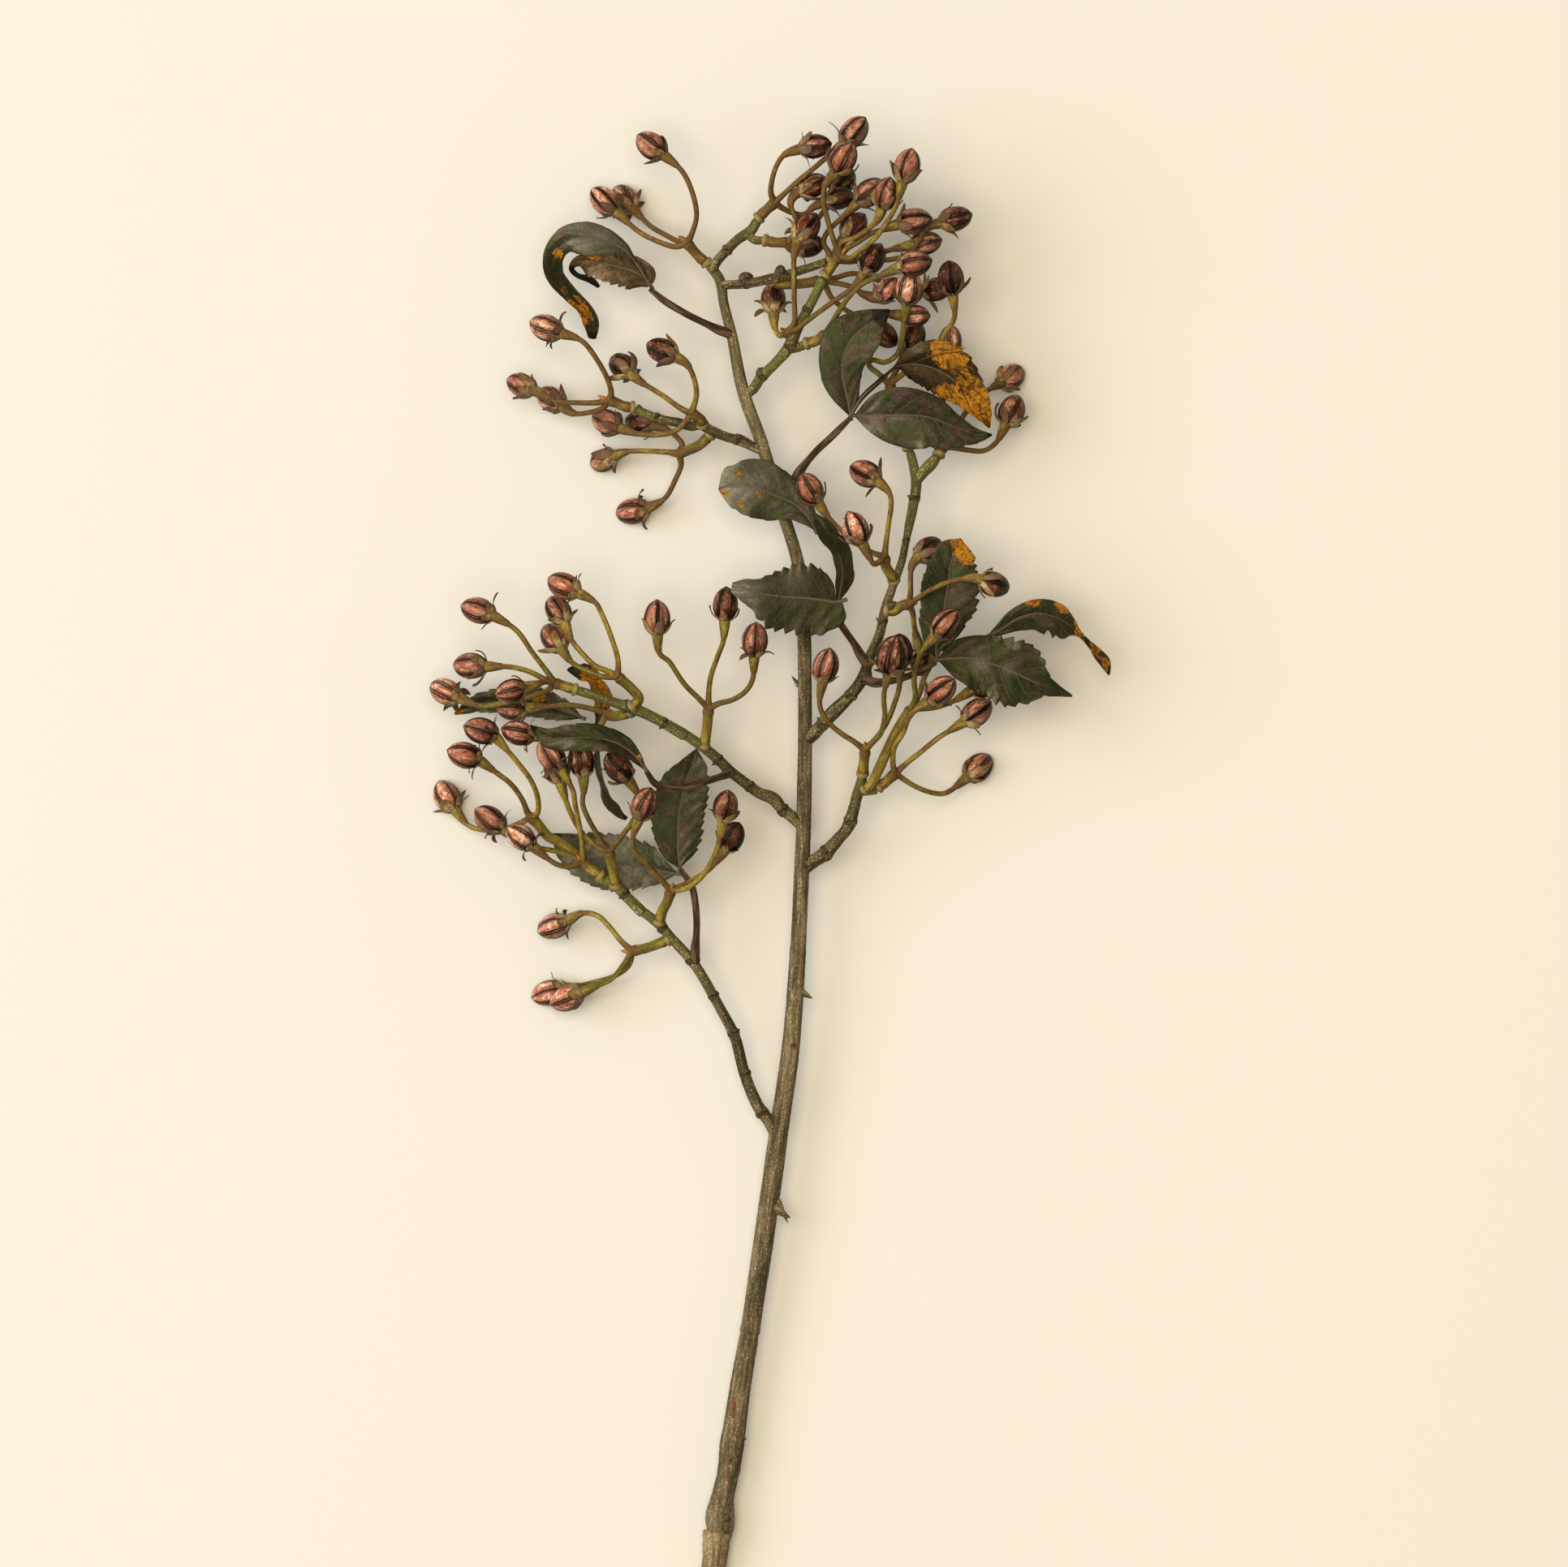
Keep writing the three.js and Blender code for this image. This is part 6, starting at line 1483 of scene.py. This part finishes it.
def sepal(growth, middle, axis, side, other, size, turn, habit, leafy, withered, rng):
    """habit: one of the rows of SEPAL_HABITS."""
    hug, leave, curl, width = habit
    length, width = rng.uniform(5.8, 9.0) * size * leafy, rng.uniform(0.8, 1.2) * width * size * leafy
    hug = np.clip(hug + rng.uniform(-0.12, 0.12), 0.05, 0.9)
    leave, curl = leave * rng.uniform(0.5, 1.5), curl * rng.uniform(0.5, 1.4)
    share = np.linspace(0, 1, SEPAL_STEPS)
    step = length / (SEPAL_STEPS - 1)
    polar, out, up, heading = SEPAL_FOOT, [], [], 1.0
    here_out = berry_radius(polar) * BERRY_RADIUS * 0.95 * size
    here_up = -math.cos(polar) * BERRY_LENGTH / 2 * size - 0.4
    for s in share:
        out.append(here_out)
        up.append(here_up)
        if s < hug:
            polar += step / (BERRY_LENGTH / 2 * size)
            next_out = berry_radius(polar) * BERRY_RADIUS * size + SEPAL_LIFT
            next_up = -math.cos(polar) * BERRY_LENGTH / 2 * size
            heading = math.atan2(next_out - here_out, next_up - here_up)
            here_out, here_up = next_out, next_up
        else:
            heading += leave + curl * step / (length * (1 - hug))
            leave = 0.0
            here_out += math.sin(heading) * step
            here_up += math.cos(heading) * step
    out, up = np.array(out), np.array(up)
    half = width / 2 * np.interp(share, BLADE_PLACES, BLADE_WIDTHS) + 0.1
    lean = turn + rng.uniform(-0.3, 0.3) * share**2
    twist = rng.uniform(-0.6, 0.6) * share**1.3
    flat = BLADE_EDGE[None, :] * np.cos(twist)[:, None]
    spread = flat * (half / np.maximum(out, half))[:, None]
    angle = lean[:, None] + spread
    thick = SEPAL_THICKNESS / 2 * (1 - 0.4 * share)[:, None]
    cup = out[:, None] + BLADE_RISE[None, :] * thick
    cup = cup + BLADE_EDGE[None, :] * (half * np.sin(twist))[:, None]
    cup = cup + rng.uniform(-0.2, 0.7) * (BLADE_EDGE[None, :] ** 2) * ramp(share, 0.3, 1)[:, None]
    grid = middle + about_axis(cup, angle, up[:, None], side, other, axis)
    across = BLADE_EDGE[None, :] * half[:, None]
    from_foot = np.broadcast_to(share[:, None] * length, across.shape)
    skin = np.stack([across, BLADE_RISE + 0 * across, from_foot], -1)
    # painted light: higher on the side of the sepal facing the lamps
    bleach = ramp(unit(grid - middle) @ PAINTED_LIGHT_DIRECTION, -0.6, 0.9)
    start = rng.uniform(0, 70, 3)
    dried = rng.uniform(0, 1) + withered
    growth.add(grid, skin + start, tone=dried, along=share[:, None], bleach=bleach)


# %% How dark each berry is, one word for each twig: partly its own colour, partly painted shade on the berries deep in the clusters
BERRY_DARKNESS = {
    "low_left": "sss mdd smm dmd mms",
    "mid_left": "mdm mmm mmsm mm",
    "low_right": "mdd mmm mdd",
    "high_right": "msm ddd dms sdd",
    "high_left": "ddm sms mmd",
    "top_right": "mmmm ms ddd",
    "crown": "mdmd sdd",
    "crest": "dmd ddd",
    "tip": "mms",
}

WITHERED = {  # how much browner than usual the twigs of a group have dried
    "low_right": 0.12,
    "high_right": 0.25,
    "high_left": 0.35,
    "top_right": 0.2,
    "crown": 0.35,
    "crest": 0.5,
    "tip": 0.4,
}

# %% Every twig with its fruits
for group_number, (group, parts) in enumerate(GROUPS.items()):
    for number, twig in enumerate(parts["twigs"], start=1):
        rng = np.random.default_rng(1000 * (group_number + 1) + number)
        wood = Growth("tone", "dry", "swell", "collar", "bud", "bleach")
        berries = Growth("tone", "shade", "crease", "panel", "bleach")
        calyxes = Growth("tone", "along", "bleach")
        withered = WITHERED.get(group, 0.0)
        fork, way_out = twig_wood(wood, twig["stalk"], withered, rng)
        pointed_bud(wood, fork, way_out, rng.uniform(3.5, 5.0), rng.uniform(0.8, 1.1), rng)
        darkness_word = BERRY_DARKNESS[group].split()[number - 1]
        for points, darkness_letter in zip(twig["fruits"], darkness_word):
            middle = np.array(points[-1][:3], float)
            size = points[-1][3] if len(points[-1]) > 3 else 1.0
            axis = unit(middle - np.array(points[-2], float))
            foot = middle - axis * FOOT_SHARE * BERRY_LENGTH * size
            way, along = curve_through([twig["stalk"][-1], *points[:-2], foot], SKIN_RING)
            fruit_stalk(wood, way, along, withered * rng.uniform(0.4, 1.3), rng)
            side, other = berry(berries, middle, axis, size, darkness_letter, rng)
            first = rng.uniform(0, 2 * math.pi)
            habit = rng.choice(list(SEPAL_HABITS), p=HABIT_ODDS)
            leafy = LEAFY_SEPALS.get(group, 1.0)
            for k in range(SEPALS):
                turn = first + (k + rng.uniform(-0.14, 0.14)) * 2 * math.pi / SEPALS
                bent = SEPAL_HABITS[habit]
                around = (middle, axis, side, other, size, turn)
                sepal(calyxes, *around, bent, leafy, withered, rng)
        node = f"{group}_twig_{number}"
        wood.finish(f"{node}_wood", twig_green, "fruiting_twig", node)
        berries.finish(f"{node}_berries", berry_skin, "fruiting_twig", node)
        calyxes.finish(f"{node}_sepals", sepal_dry, "fruiting_twig", node)
    print(group, "carries", len(parts["twigs"]), "twigs")

# %% [markdown]
# ## Leaf stalks
# Each leaf stalk rises from a sheath on the branch and thins towards the blade. It is dark
# purple-brown and furrowed down its upper side, so its section is a circle with a dent.

# %% Leaf stalks
PETIOLE_RADIUS, SHEATH_RADIUS, PETIOLE_SIDES = 1.45, 2.05, 16
SHEATH_FULL, SHEATH_END = 5.0, 13.0  # mm from the foot, between which the sheath thins out
STALK_INTO_BLADE = 1.6  # mm that a leaf stalk runs on into the foot of its blades


def leaf_stalk(points, rng):
    growth = Growth()
    ahead = 2 * np.array(points[-1], float) - np.array(points[-2], float)
    ahead = points[-1] + unit(ahead - points[-1]) * STALK_INTO_BLADE
    way, along = curve_through([*points, ahead], SKIN_RING)
    base = PETIOLE_RADIUS + (SHEATH_RADIUS - PETIOLE_RADIUS) * ramp(-along, -SHEATH_END, -SHEATH_FULL)
    base = base + 0.3 * bump(along, 0.8, 1.2) - 0.45 * ramp(along, along[-1] - 8, along[-1] + 2)
    furrow = 1 - 0.16 * bump(ring_angles(PETIOLE_SIDES), 0.0, 0.5)[None, :]
    radius = base[:, None] * furrow
    radius = radius * (1 + wander(rng, len(along), PETIOLE_SIDES, 7.0, 0.04))
    grid, skin = tube(way, along, radius)
    growth.add(grid, skin)
    return growth


for number, (group, parts) in enumerate(GROUPS.items()):
    stalks = [parts[key] for key in ("petiole", "petiole2") if key in parts]
    for i, points in enumerate(stalks, start=1):
        node = f"{group}_leaf_stalk_{i}"
        growth = leaf_stalk(points, np.random.default_rng(50 + 10 * number + i))
        growth.finish(f"{node}_skin", leaf_stalk_purple, "leaf_stalk", node)

# %% [markdown]
# ## Leaf blades
# A blade is a thin sheet wrapped on its midrib. Its stations give the line of the midrib, the
# width on either side and how far the blade has rolled. Between the stations everything is
# smooth; teeth, the fold along the midrib, the quilting between side veins and the wavy edge
# are added on top. The rows of points are set six to a tooth, so every tooth comes to a sharp
# point. The same sheet, turned over and let down by the blade's thickness, closes the solid.

# %% A toothed leaf blade
BLADE_THICKNESS, TOOTH_ROWS, HALF_COLUMNS = 0.45, 6, 11


def teeth_of(share, phase, sizes, bite, first, last):
    """How much of the half-width is cut away on each row of points, on one side."""
    toothed = ramp(share, first - 0.04, first + 0.04) * ramp(-share, -last - 0.04, 0.04 - last)
    return bite * sizes * (1 - phase) * toothed


def lie_of(grid):
    """The direction that each point of a sheet faces."""
    downward, sideways = np.gradient(grid, axis=0), np.gradient(grid, axis=1)
    return unit(np.cross(downward, sideways) + 1e-9)


def leaf(stations, style, rng):
    """A blade as a grid of points: the upper face from left to right, then the lower face."""
    way, along = curve_through(stations, 0.5)
    teeth = max(5, round(along[-1] / style["tooth"]))
    rows = teeth * TOOTH_ROWS + 1
    at = np.linspace(0, along[-1], rows)
    way = np.column_stack([np.interp(at, along, column) for column in way.T])
    path, left, right = way[:, :3], np.abs(way[:, 3]), np.abs(way[:, 4])
    share = at / at[-1]
    blunt = style["blunt"]
    if blunt:
        full = np.sqrt(np.clip(1 - ramp(share, 1 - blunt, 1.0) ** 1.6, 0.002, 1))
        keep = np.interp(1 - blunt, share, left), np.interp(1 - blunt, share, right)
        left = np.where(share > 1 - blunt, keep[0] * full, left)
        right = np.where(share > 1 - blunt, keep[1] * full, right)
    roll = np.radians(way[:, 5])
    tangent = unit(np.gradient(path, axis=0))
    leftward = unit(np.cross(np.array([0.0, 0, 1]), tangent))
    upward = np.cross(tangent, leftward)
    turned_left = leftward * np.cos(roll)[:, None] + upward * np.sin(roll)[:, None]
    normal = unit(np.cross(tangent, turned_left))
    across = np.linspace(-1, 1, 2 * HALF_COLUMNS + 1)
    phase = (np.arange(rows) % TOOTH_ROWS) / (TOOTH_ROWS - 1)
    which = np.arange(rows) // TOOTH_ROWS
    reach = np.empty((rows, len(across)))
    rise = np.zeros((rows, len(across)))
    for flank, half in ((0, left), (1, right)):
        sizes = rng.uniform(0.45, 1.3, teeth + 1)[which]
        cut = teeth_of(share, phase, sizes, style["bite"][flank], *style["toothed"])
        mine = across <= 0 if flank == 0 else across > 0
        x = np.abs(across[mine])[None, :]
        full = half * (1 + 0.45 * style["bite"][flank])
        width = full[:, None] * x * (1 - cut[:, None] * ramp(x, 0.5, 1.0))
        reach[:, mine] = width * (1 if flank == 0 else -1)
        sway = rng.uniform(0, 2 * math.pi, 3)
        margin = np.sin(share * rng.uniform(6, 10) + sway[0]) + 0.45 * np.sin(share * 21 + sway[1])
        hollow = np.sin(share * rng.uniform(4, 7) + sway[2])[:, None] * bump(x, 0.5, 0.3)
        lift = style["fold"] * width - style["curl"] * full[:, None] * x**3
        lift = lift + style["wave"] * margin[:, None] * x**2 * ramp(share, 0.05, 0.3)[:, None]
        lift = lift + 0.5 * style["wave"] * hollow
        vein = np.abs(((share[:, None] * VEIN_PAIRS - x * VEIN_FORWARD) % 1.0) - 0.5) * 2
        lift = lift + 0.3 * (0.5 - vein) * ramp(x, 0, 0.3) * ramp(-x, -1, -0.6)
        rise[:, mine] = lift - 0.3 * bump(x, 0, 0.07)
    top = path[:, None] + reach[..., None] * turned_left[:, None] + rise[..., None] * normal[:, None]
    thick = BLADE_THICKNESS * (1 - 0.75 * np.abs(across) ** 4)[None, :, None]
    under = top - normal[:, None] * thick
    grid = np.concatenate([top, under[:, ::-1]], axis=1)
    columns = np.concatenate([across, across[::-1]])
    face = np.repeat([0.0, 1.0], len(across))[None, :].repeat(rows, 0)
    from_left = np.concatenate([reach, reach[:, ::-1]], 1)
    from_foot = np.repeat(at[:, None], len(columns), 1)
    skin = np.stack([from_left, from_foot, face * 3], -1)
    # sheen: painted sheen, high where the blade faces the lamps
    marks = {
        "across": np.broadcast_to(columns[None, :], grid.shape[:2]),
        "along": np.broadcast_to(share[:, None], grid.shape[:2]),
        "under": face,
        "sheen": ramp(np.abs(lie_of(grid) @ PAINTED_LIGHT_DIRECTION), 0.62, 1.0),
    }
    return grid, skin, marks, path


RIB_SIDES, RIB_REACH = 8, 2.2  # the rib starts this many mm before the foot of the blade


def midrib(path):
    """The raised rib under the middle of a blade; its foot reaches back to the leaf stalk."""
    steps = np.linalg.norm(np.diff(path, axis=0), axis=1)
    along = np.concatenate([[0], np.cumsum(steps)])
    reach_back = path[0] + (path[0] - path[2]) / np.linalg.norm(path[2] - path[0]) * RIB_REACH
    way, at = curve_through([reach_back, *path[:-4:6]], 0.8)
    radius = 0.85 - 0.6 * ramp(at / along[-1], 0.0, 0.9)
    drop = np.array([0, 0, 1]) * (BLADE_THICKNESS + 0.25 * ramp(at, 0, 4))[:, None]
    return tube(way - drop, at, np.repeat(radius[:, None], RIB_SIDES, axis=1))


# %% [markdown]
# ## How each leaf is cut and coloured
# The blades share one function but not one look. Some edges are toothed only towards the tip,
# some are nearly smooth, and a few tips are blunt. The patches that have turned orange are
# listed: how far along the blade, how far across it, how large and how strong.

# %% Looks of the leaves
def look(tooth, bite, toothed=(0.1, 0.88), fold=0.16, curl=0.08, wave=0.8, blunt=0.0):
    """tooth: mm from one tooth to the next; bite: depth of the teeth on the left and the right
    as a share of the half-width; toothed: the part of the blade that has them."""
    return dict(
        tooth=tooth, bite=bite, toothed=toothed, fold=fold, curl=curl, wave=wave, blunt=blunt
    )


LEAF_LOOKS = {  # look, finish, patches turned orange, patches scorched black
    "low_left_leaf_1": (look(4.0, (0.07, 0.12)), "dark", [], []),
    "low_left_leaf_2": (look(4.6, (0.12, 0.12)), "dusky", [], []),
    "mid_left_leaf_1": (
        look(7.0, (0.06, 0.05), fold=0.3, curl=0.2),
        "dark",
        [(0.1, 0.3, 1.5, 1.0)],
        [(1.0, 0, 5, 0.8)],
    ),
    "mid_left_leaf_2": (look(6.0, (0.1, 0.1), fold=0.3), "dark", [], [(1.0, 0, 4, 0.7)]),
    "mid_left_leaf_3": (
        look(5.0, (0.15, 0.15), fold=0.3, wave=1.2),
        "dark",
        [(0.4, 0.2, 7, 1.2), (0.7, -0.2, 5, 1.0)],
        [(0.1, 0, 4, 0.6)],
    ),
    "mid_left_leaf_4": (
        look(5.0, (0.15, 0.15), fold=0.35, wave=1.3),
        "dark",
        [(0.35, 0.3, 3, 1.1), (0.55, -0.5, 2, 1.0), (0.98, 0.0, 3, 1.1)],
        [(0.2, 0, 5, 0.6)],
    ),
    "high_right_leaf_1": (
        look(4.0, (0.06, 0.14), (0.3, 0.9), blunt=0.2),
        "dark",
        [(0.96, 0.2, 5, 1.2), (0.88, 0.6, 4, 1.1)],
        [(0.1, 0, 6, 0.5)],
    ),
    "high_right_leaf_2": (
        look(4.0, (0.14, 0.16), (0.3, 0.84), wave=1.5),
        "dark",
        [],
        [(0.02, 0, 8, 0.55), (0.35, 1.0, 8, 0.35)],
    ),
    "high_right_leaf_3": (
        look(6.0, (0.04, 0.28), (0.4, 0.62), fold=0.2, curl=0.3),
        "dark",
        [
            (0.3, -0.9, 3, 1.0),
            (0.45, -1.0, 4, 1.1),
            (0.6, -0.9, 4, 1.1),
            (0.78, 0, 6, 0.75),
            (0.93, 0, 3, 1.0),
        ],
        [(1.0, 0, 1.5, 1.0)],
    ),
    "high_right_leaf_4": (look(4.0, (0.17, 0.12), (0.2, 0.82)), "dark", [], []),
    "high_right_leaf_5": (look(7.0, (0.05, 0.05), fold=0.25), "dark", [], []),
    "high_right_leaf_6": (
        look(8.0, (0.03, 0.03), blunt=0.14),
        "dusky",
        [(0.62, -0.15, 1.8, 0.9), (0.82, 0.5, 1.8, 0.9), (0.95, -0.4, 2.0, 0.9), (0.8, -0.7, 2.2, 0.8)],
        [],
    ),
    "top_right_leaf_1": (
        look(9.0, (0.04, 0.04), fold=0.15, wave=0.6),
        "dark",
        [(0.62, -0.4, 0.9, 0.8)],
        [(1.0, 0, 9, 1.2)],
    ),
    "top_right_leaf_2": (look(5.0, (0.03, 0.16), (0.6, 0.92), fold=0.2), "dusky", [], [(1.0, 0, 3, 0.9)]),
    "top_right_leaf_3": (
        look(4.0, (0.08, 0.1), (0.4, 0.97), fold=0.12, wave=1.3),
        "golden",
        [(0.6, -0.75, 8, 1.1), (0.66, 0.8, 6, 1.0), (0.84, 0.0, 9, 1.1), (0.98, 0.0, 8, 1.1)],
        [(0.4, 0.7, 6, 0.5), (0.42, -0.9, 4, 0.5)],
    ),
    "tip_leaf_1": (
        look(3.4, (0.14, 0.03), (0.15, 0.8), fold=0.05),
        "mauve",
        [(0.5, 0.4, 3, 0.8)],
        [(0.85, 0, 9, 1.3)],
    ),
    "tip_leaf_2": (
        look(9.0, (0.03, 0.03), fold=0.2, curl=0.25),
        "dark",
        [(0.51, -0.3, 3, 1.0), (0.7, 0.3, 4, 0.55), (0.8, 0.7, 6, 0.62), (0.9, 0.8, 6, 0.66)],
        [(1.0, 0, 4, 1.0), (0.6, 0, 1.2, 0.9)],
    ),
}


PAINTED_SHEEN_PATCHES = {  # the places of a painted pale grey sheen on a blade
    "high_right_leaf_4": [(0.95, 0, 9, 0.9), (0.45, 0.5, 7, 0.4)],
    "high_right_leaf_6": [(0.85, 0, 11, 0.75)],
    "high_right_leaf_2": [(0.3, 0.05, 3.5, 0.6), (0.5, 0.0, 3, 0.4)],
    "tip_leaf_2": [(0.3, 0.2, 12, 0.5)],
    "low_left_leaf_2": [(0.5, 0.4, 8, 0.4)],
}


def spots(marks, skin, patches):
    """Soft marks on a blade, each given as its place along and across, mm of size, strength."""
    from_foot = skin[..., 1]
    half = np.abs(skin[..., 0]).max(axis=1, keepdims=True)
    total = np.zeros(from_foot.shape)
    for along, across, size, strength in patches:
        hill = bump(from_foot, along * from_foot[-1, 0], size)
        total += strength * hill * bump(marks["across"] * half, across * half, size)
    return total


# %% The blades
for number, (node, (cut, finish, gold, scorched)) in enumerate(LEAF_LOOKS.items()):
    group, _, index = node.rpartition("_leaf_")
    rng = np.random.default_rng(300 + number)
    grid, skin, marks, path = leaf(GROUPS[group]["leaves"][int(index) - 1], cut, rng)
    turned = spots(marks, skin, gold)
    burnt = 0.45 * ramp(np.abs(marks["across"]), 0.9, 1.0) + spots(marks, skin, scorched)
    # painted sheen: the pale grey patches that stand for glints
    haze = spots(marks, skin, PAINTED_SHEEN_PATCHES.get(node, []))
    growth = Growth("across", "along", "turned", "burnt", "under", "sheen", "haze")
    start = rng.uniform(0, 90, 3)
    growth.add(grid, skin + start, turned=turned, burnt=burnt, haze=haze, **marks)
    rib_grid, rib_skin = midrib(path)
    growth.add(rib_grid, rib_skin + start, across=0.0, along=0.5, under=1.0)
    growth.finish(f"{node}_blade", leaf_finishes[finish], "leaf_blade", node)
print(len(LEAF_LOOKS), "leaves")

# %% [markdown]
# ## Table, light and camera
# The sprig is looked at from straight above, on a plain warm cream table. A warm ceiling light
# hangs almost over it, so the table between the twigs stays bright. A cooler window to the left
# lets the shadows fall softly to the right, and a faint warm glow from the whole room fills
# them. A long lens high above keeps the sprig free of perspective.

# %% Table
HALF_TABLE = 3.0  # m
floor_mesh = bpy.data.meshes.new("table")
corners = [(-HALF_TABLE, -HALF_TABLE, 0), (HALF_TABLE, -HALF_TABLE, 0)]
corners += [(HALF_TABLE, HALF_TABLE, 0), (-HALF_TABLE, HALF_TABLE, 0)]
floor_mesh.from_pydata(corners, [], [(0, 1, 2, 3)])
floor = bpy.data.objects.new("table", floor_mesh)
bpy.context.scene.collection.objects.link(floor)
b = Board("table_cream", roughness=0.9, specular=0.1)
b.shader.inputs["Base Color"].default_value = (0.85, 0.815, 0.78, 1)
floor_mesh.materials.append(b.material)
floor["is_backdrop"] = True


# %% Lights
def soft_light(name, place, target, size, watts, colour):
    data = bpy.data.lights.new(name, "AREA")
    data.shape, data.size, data.energy, data.color = "DISK", size, watts, colour
    lamp = bpy.data.objects.new(name, data)
    lamp.location = place
    aim = Vector(target) - Vector(place)
    lamp.rotation_euler = aim.to_track_quat("-Z", "Y").to_euler()
    bpy.context.scene.collection.objects.link(lamp)


SPRIG_MIDDLE = (0, 0.03, 0)
soft_light("ceiling", (-0.7, 0.3, 6.6), SPRIG_MIDDLE, 4.0, 278, (1.0, 0.88, 0.65))
soft_light("window", (-4.6, 0.8, 4.4), SPRIG_MIDDLE, 5.0, 205, (0.84, 0.94, 1.0))
world = bpy.data.worlds.new("warm_room")
bpy.context.scene.world = world
world.use_nodes = True
world.node_tree.nodes["Background"].inputs["Color"].default_value = (1.0, 0.89, 0.64, 1)
world.node_tree.nodes["Background"].inputs["Strength"].default_value = 0.31
bpy.context.scene.view_settings.view_transform = "Standard"

# %% Camera
CAMERA_AT = (5.33, 59.83, 5392.0)  # mm
LENS, SENSOR_WIDTH = 300, 36  # mm
camera_data = bpy.data.cameras.new("camera")
camera_data.lens, camera_data.sensor_width = LENS, SENSOR_WIDTH
camera_data.clip_end = 20  # m, well beyond the table
camera = bpy.data.objects.new("camera", camera_data)
camera.location = [c * MM for c in CAMERA_AT]
bpy.context.scene.collection.objects.link(camera)
bpy.context.scene.camera = camera

# %% Print the box of the grown plant beside that of the solid model
grown_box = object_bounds()
boxes = {"cad": [list(corner) for corner in cad_box]}
boxes["visual"] = [list(corner) for corner in grown_box]
for name, box in boxes.items():
    print(name, "box in mm:", [[round(c / MM, 1) for c in corner] for corner in box])
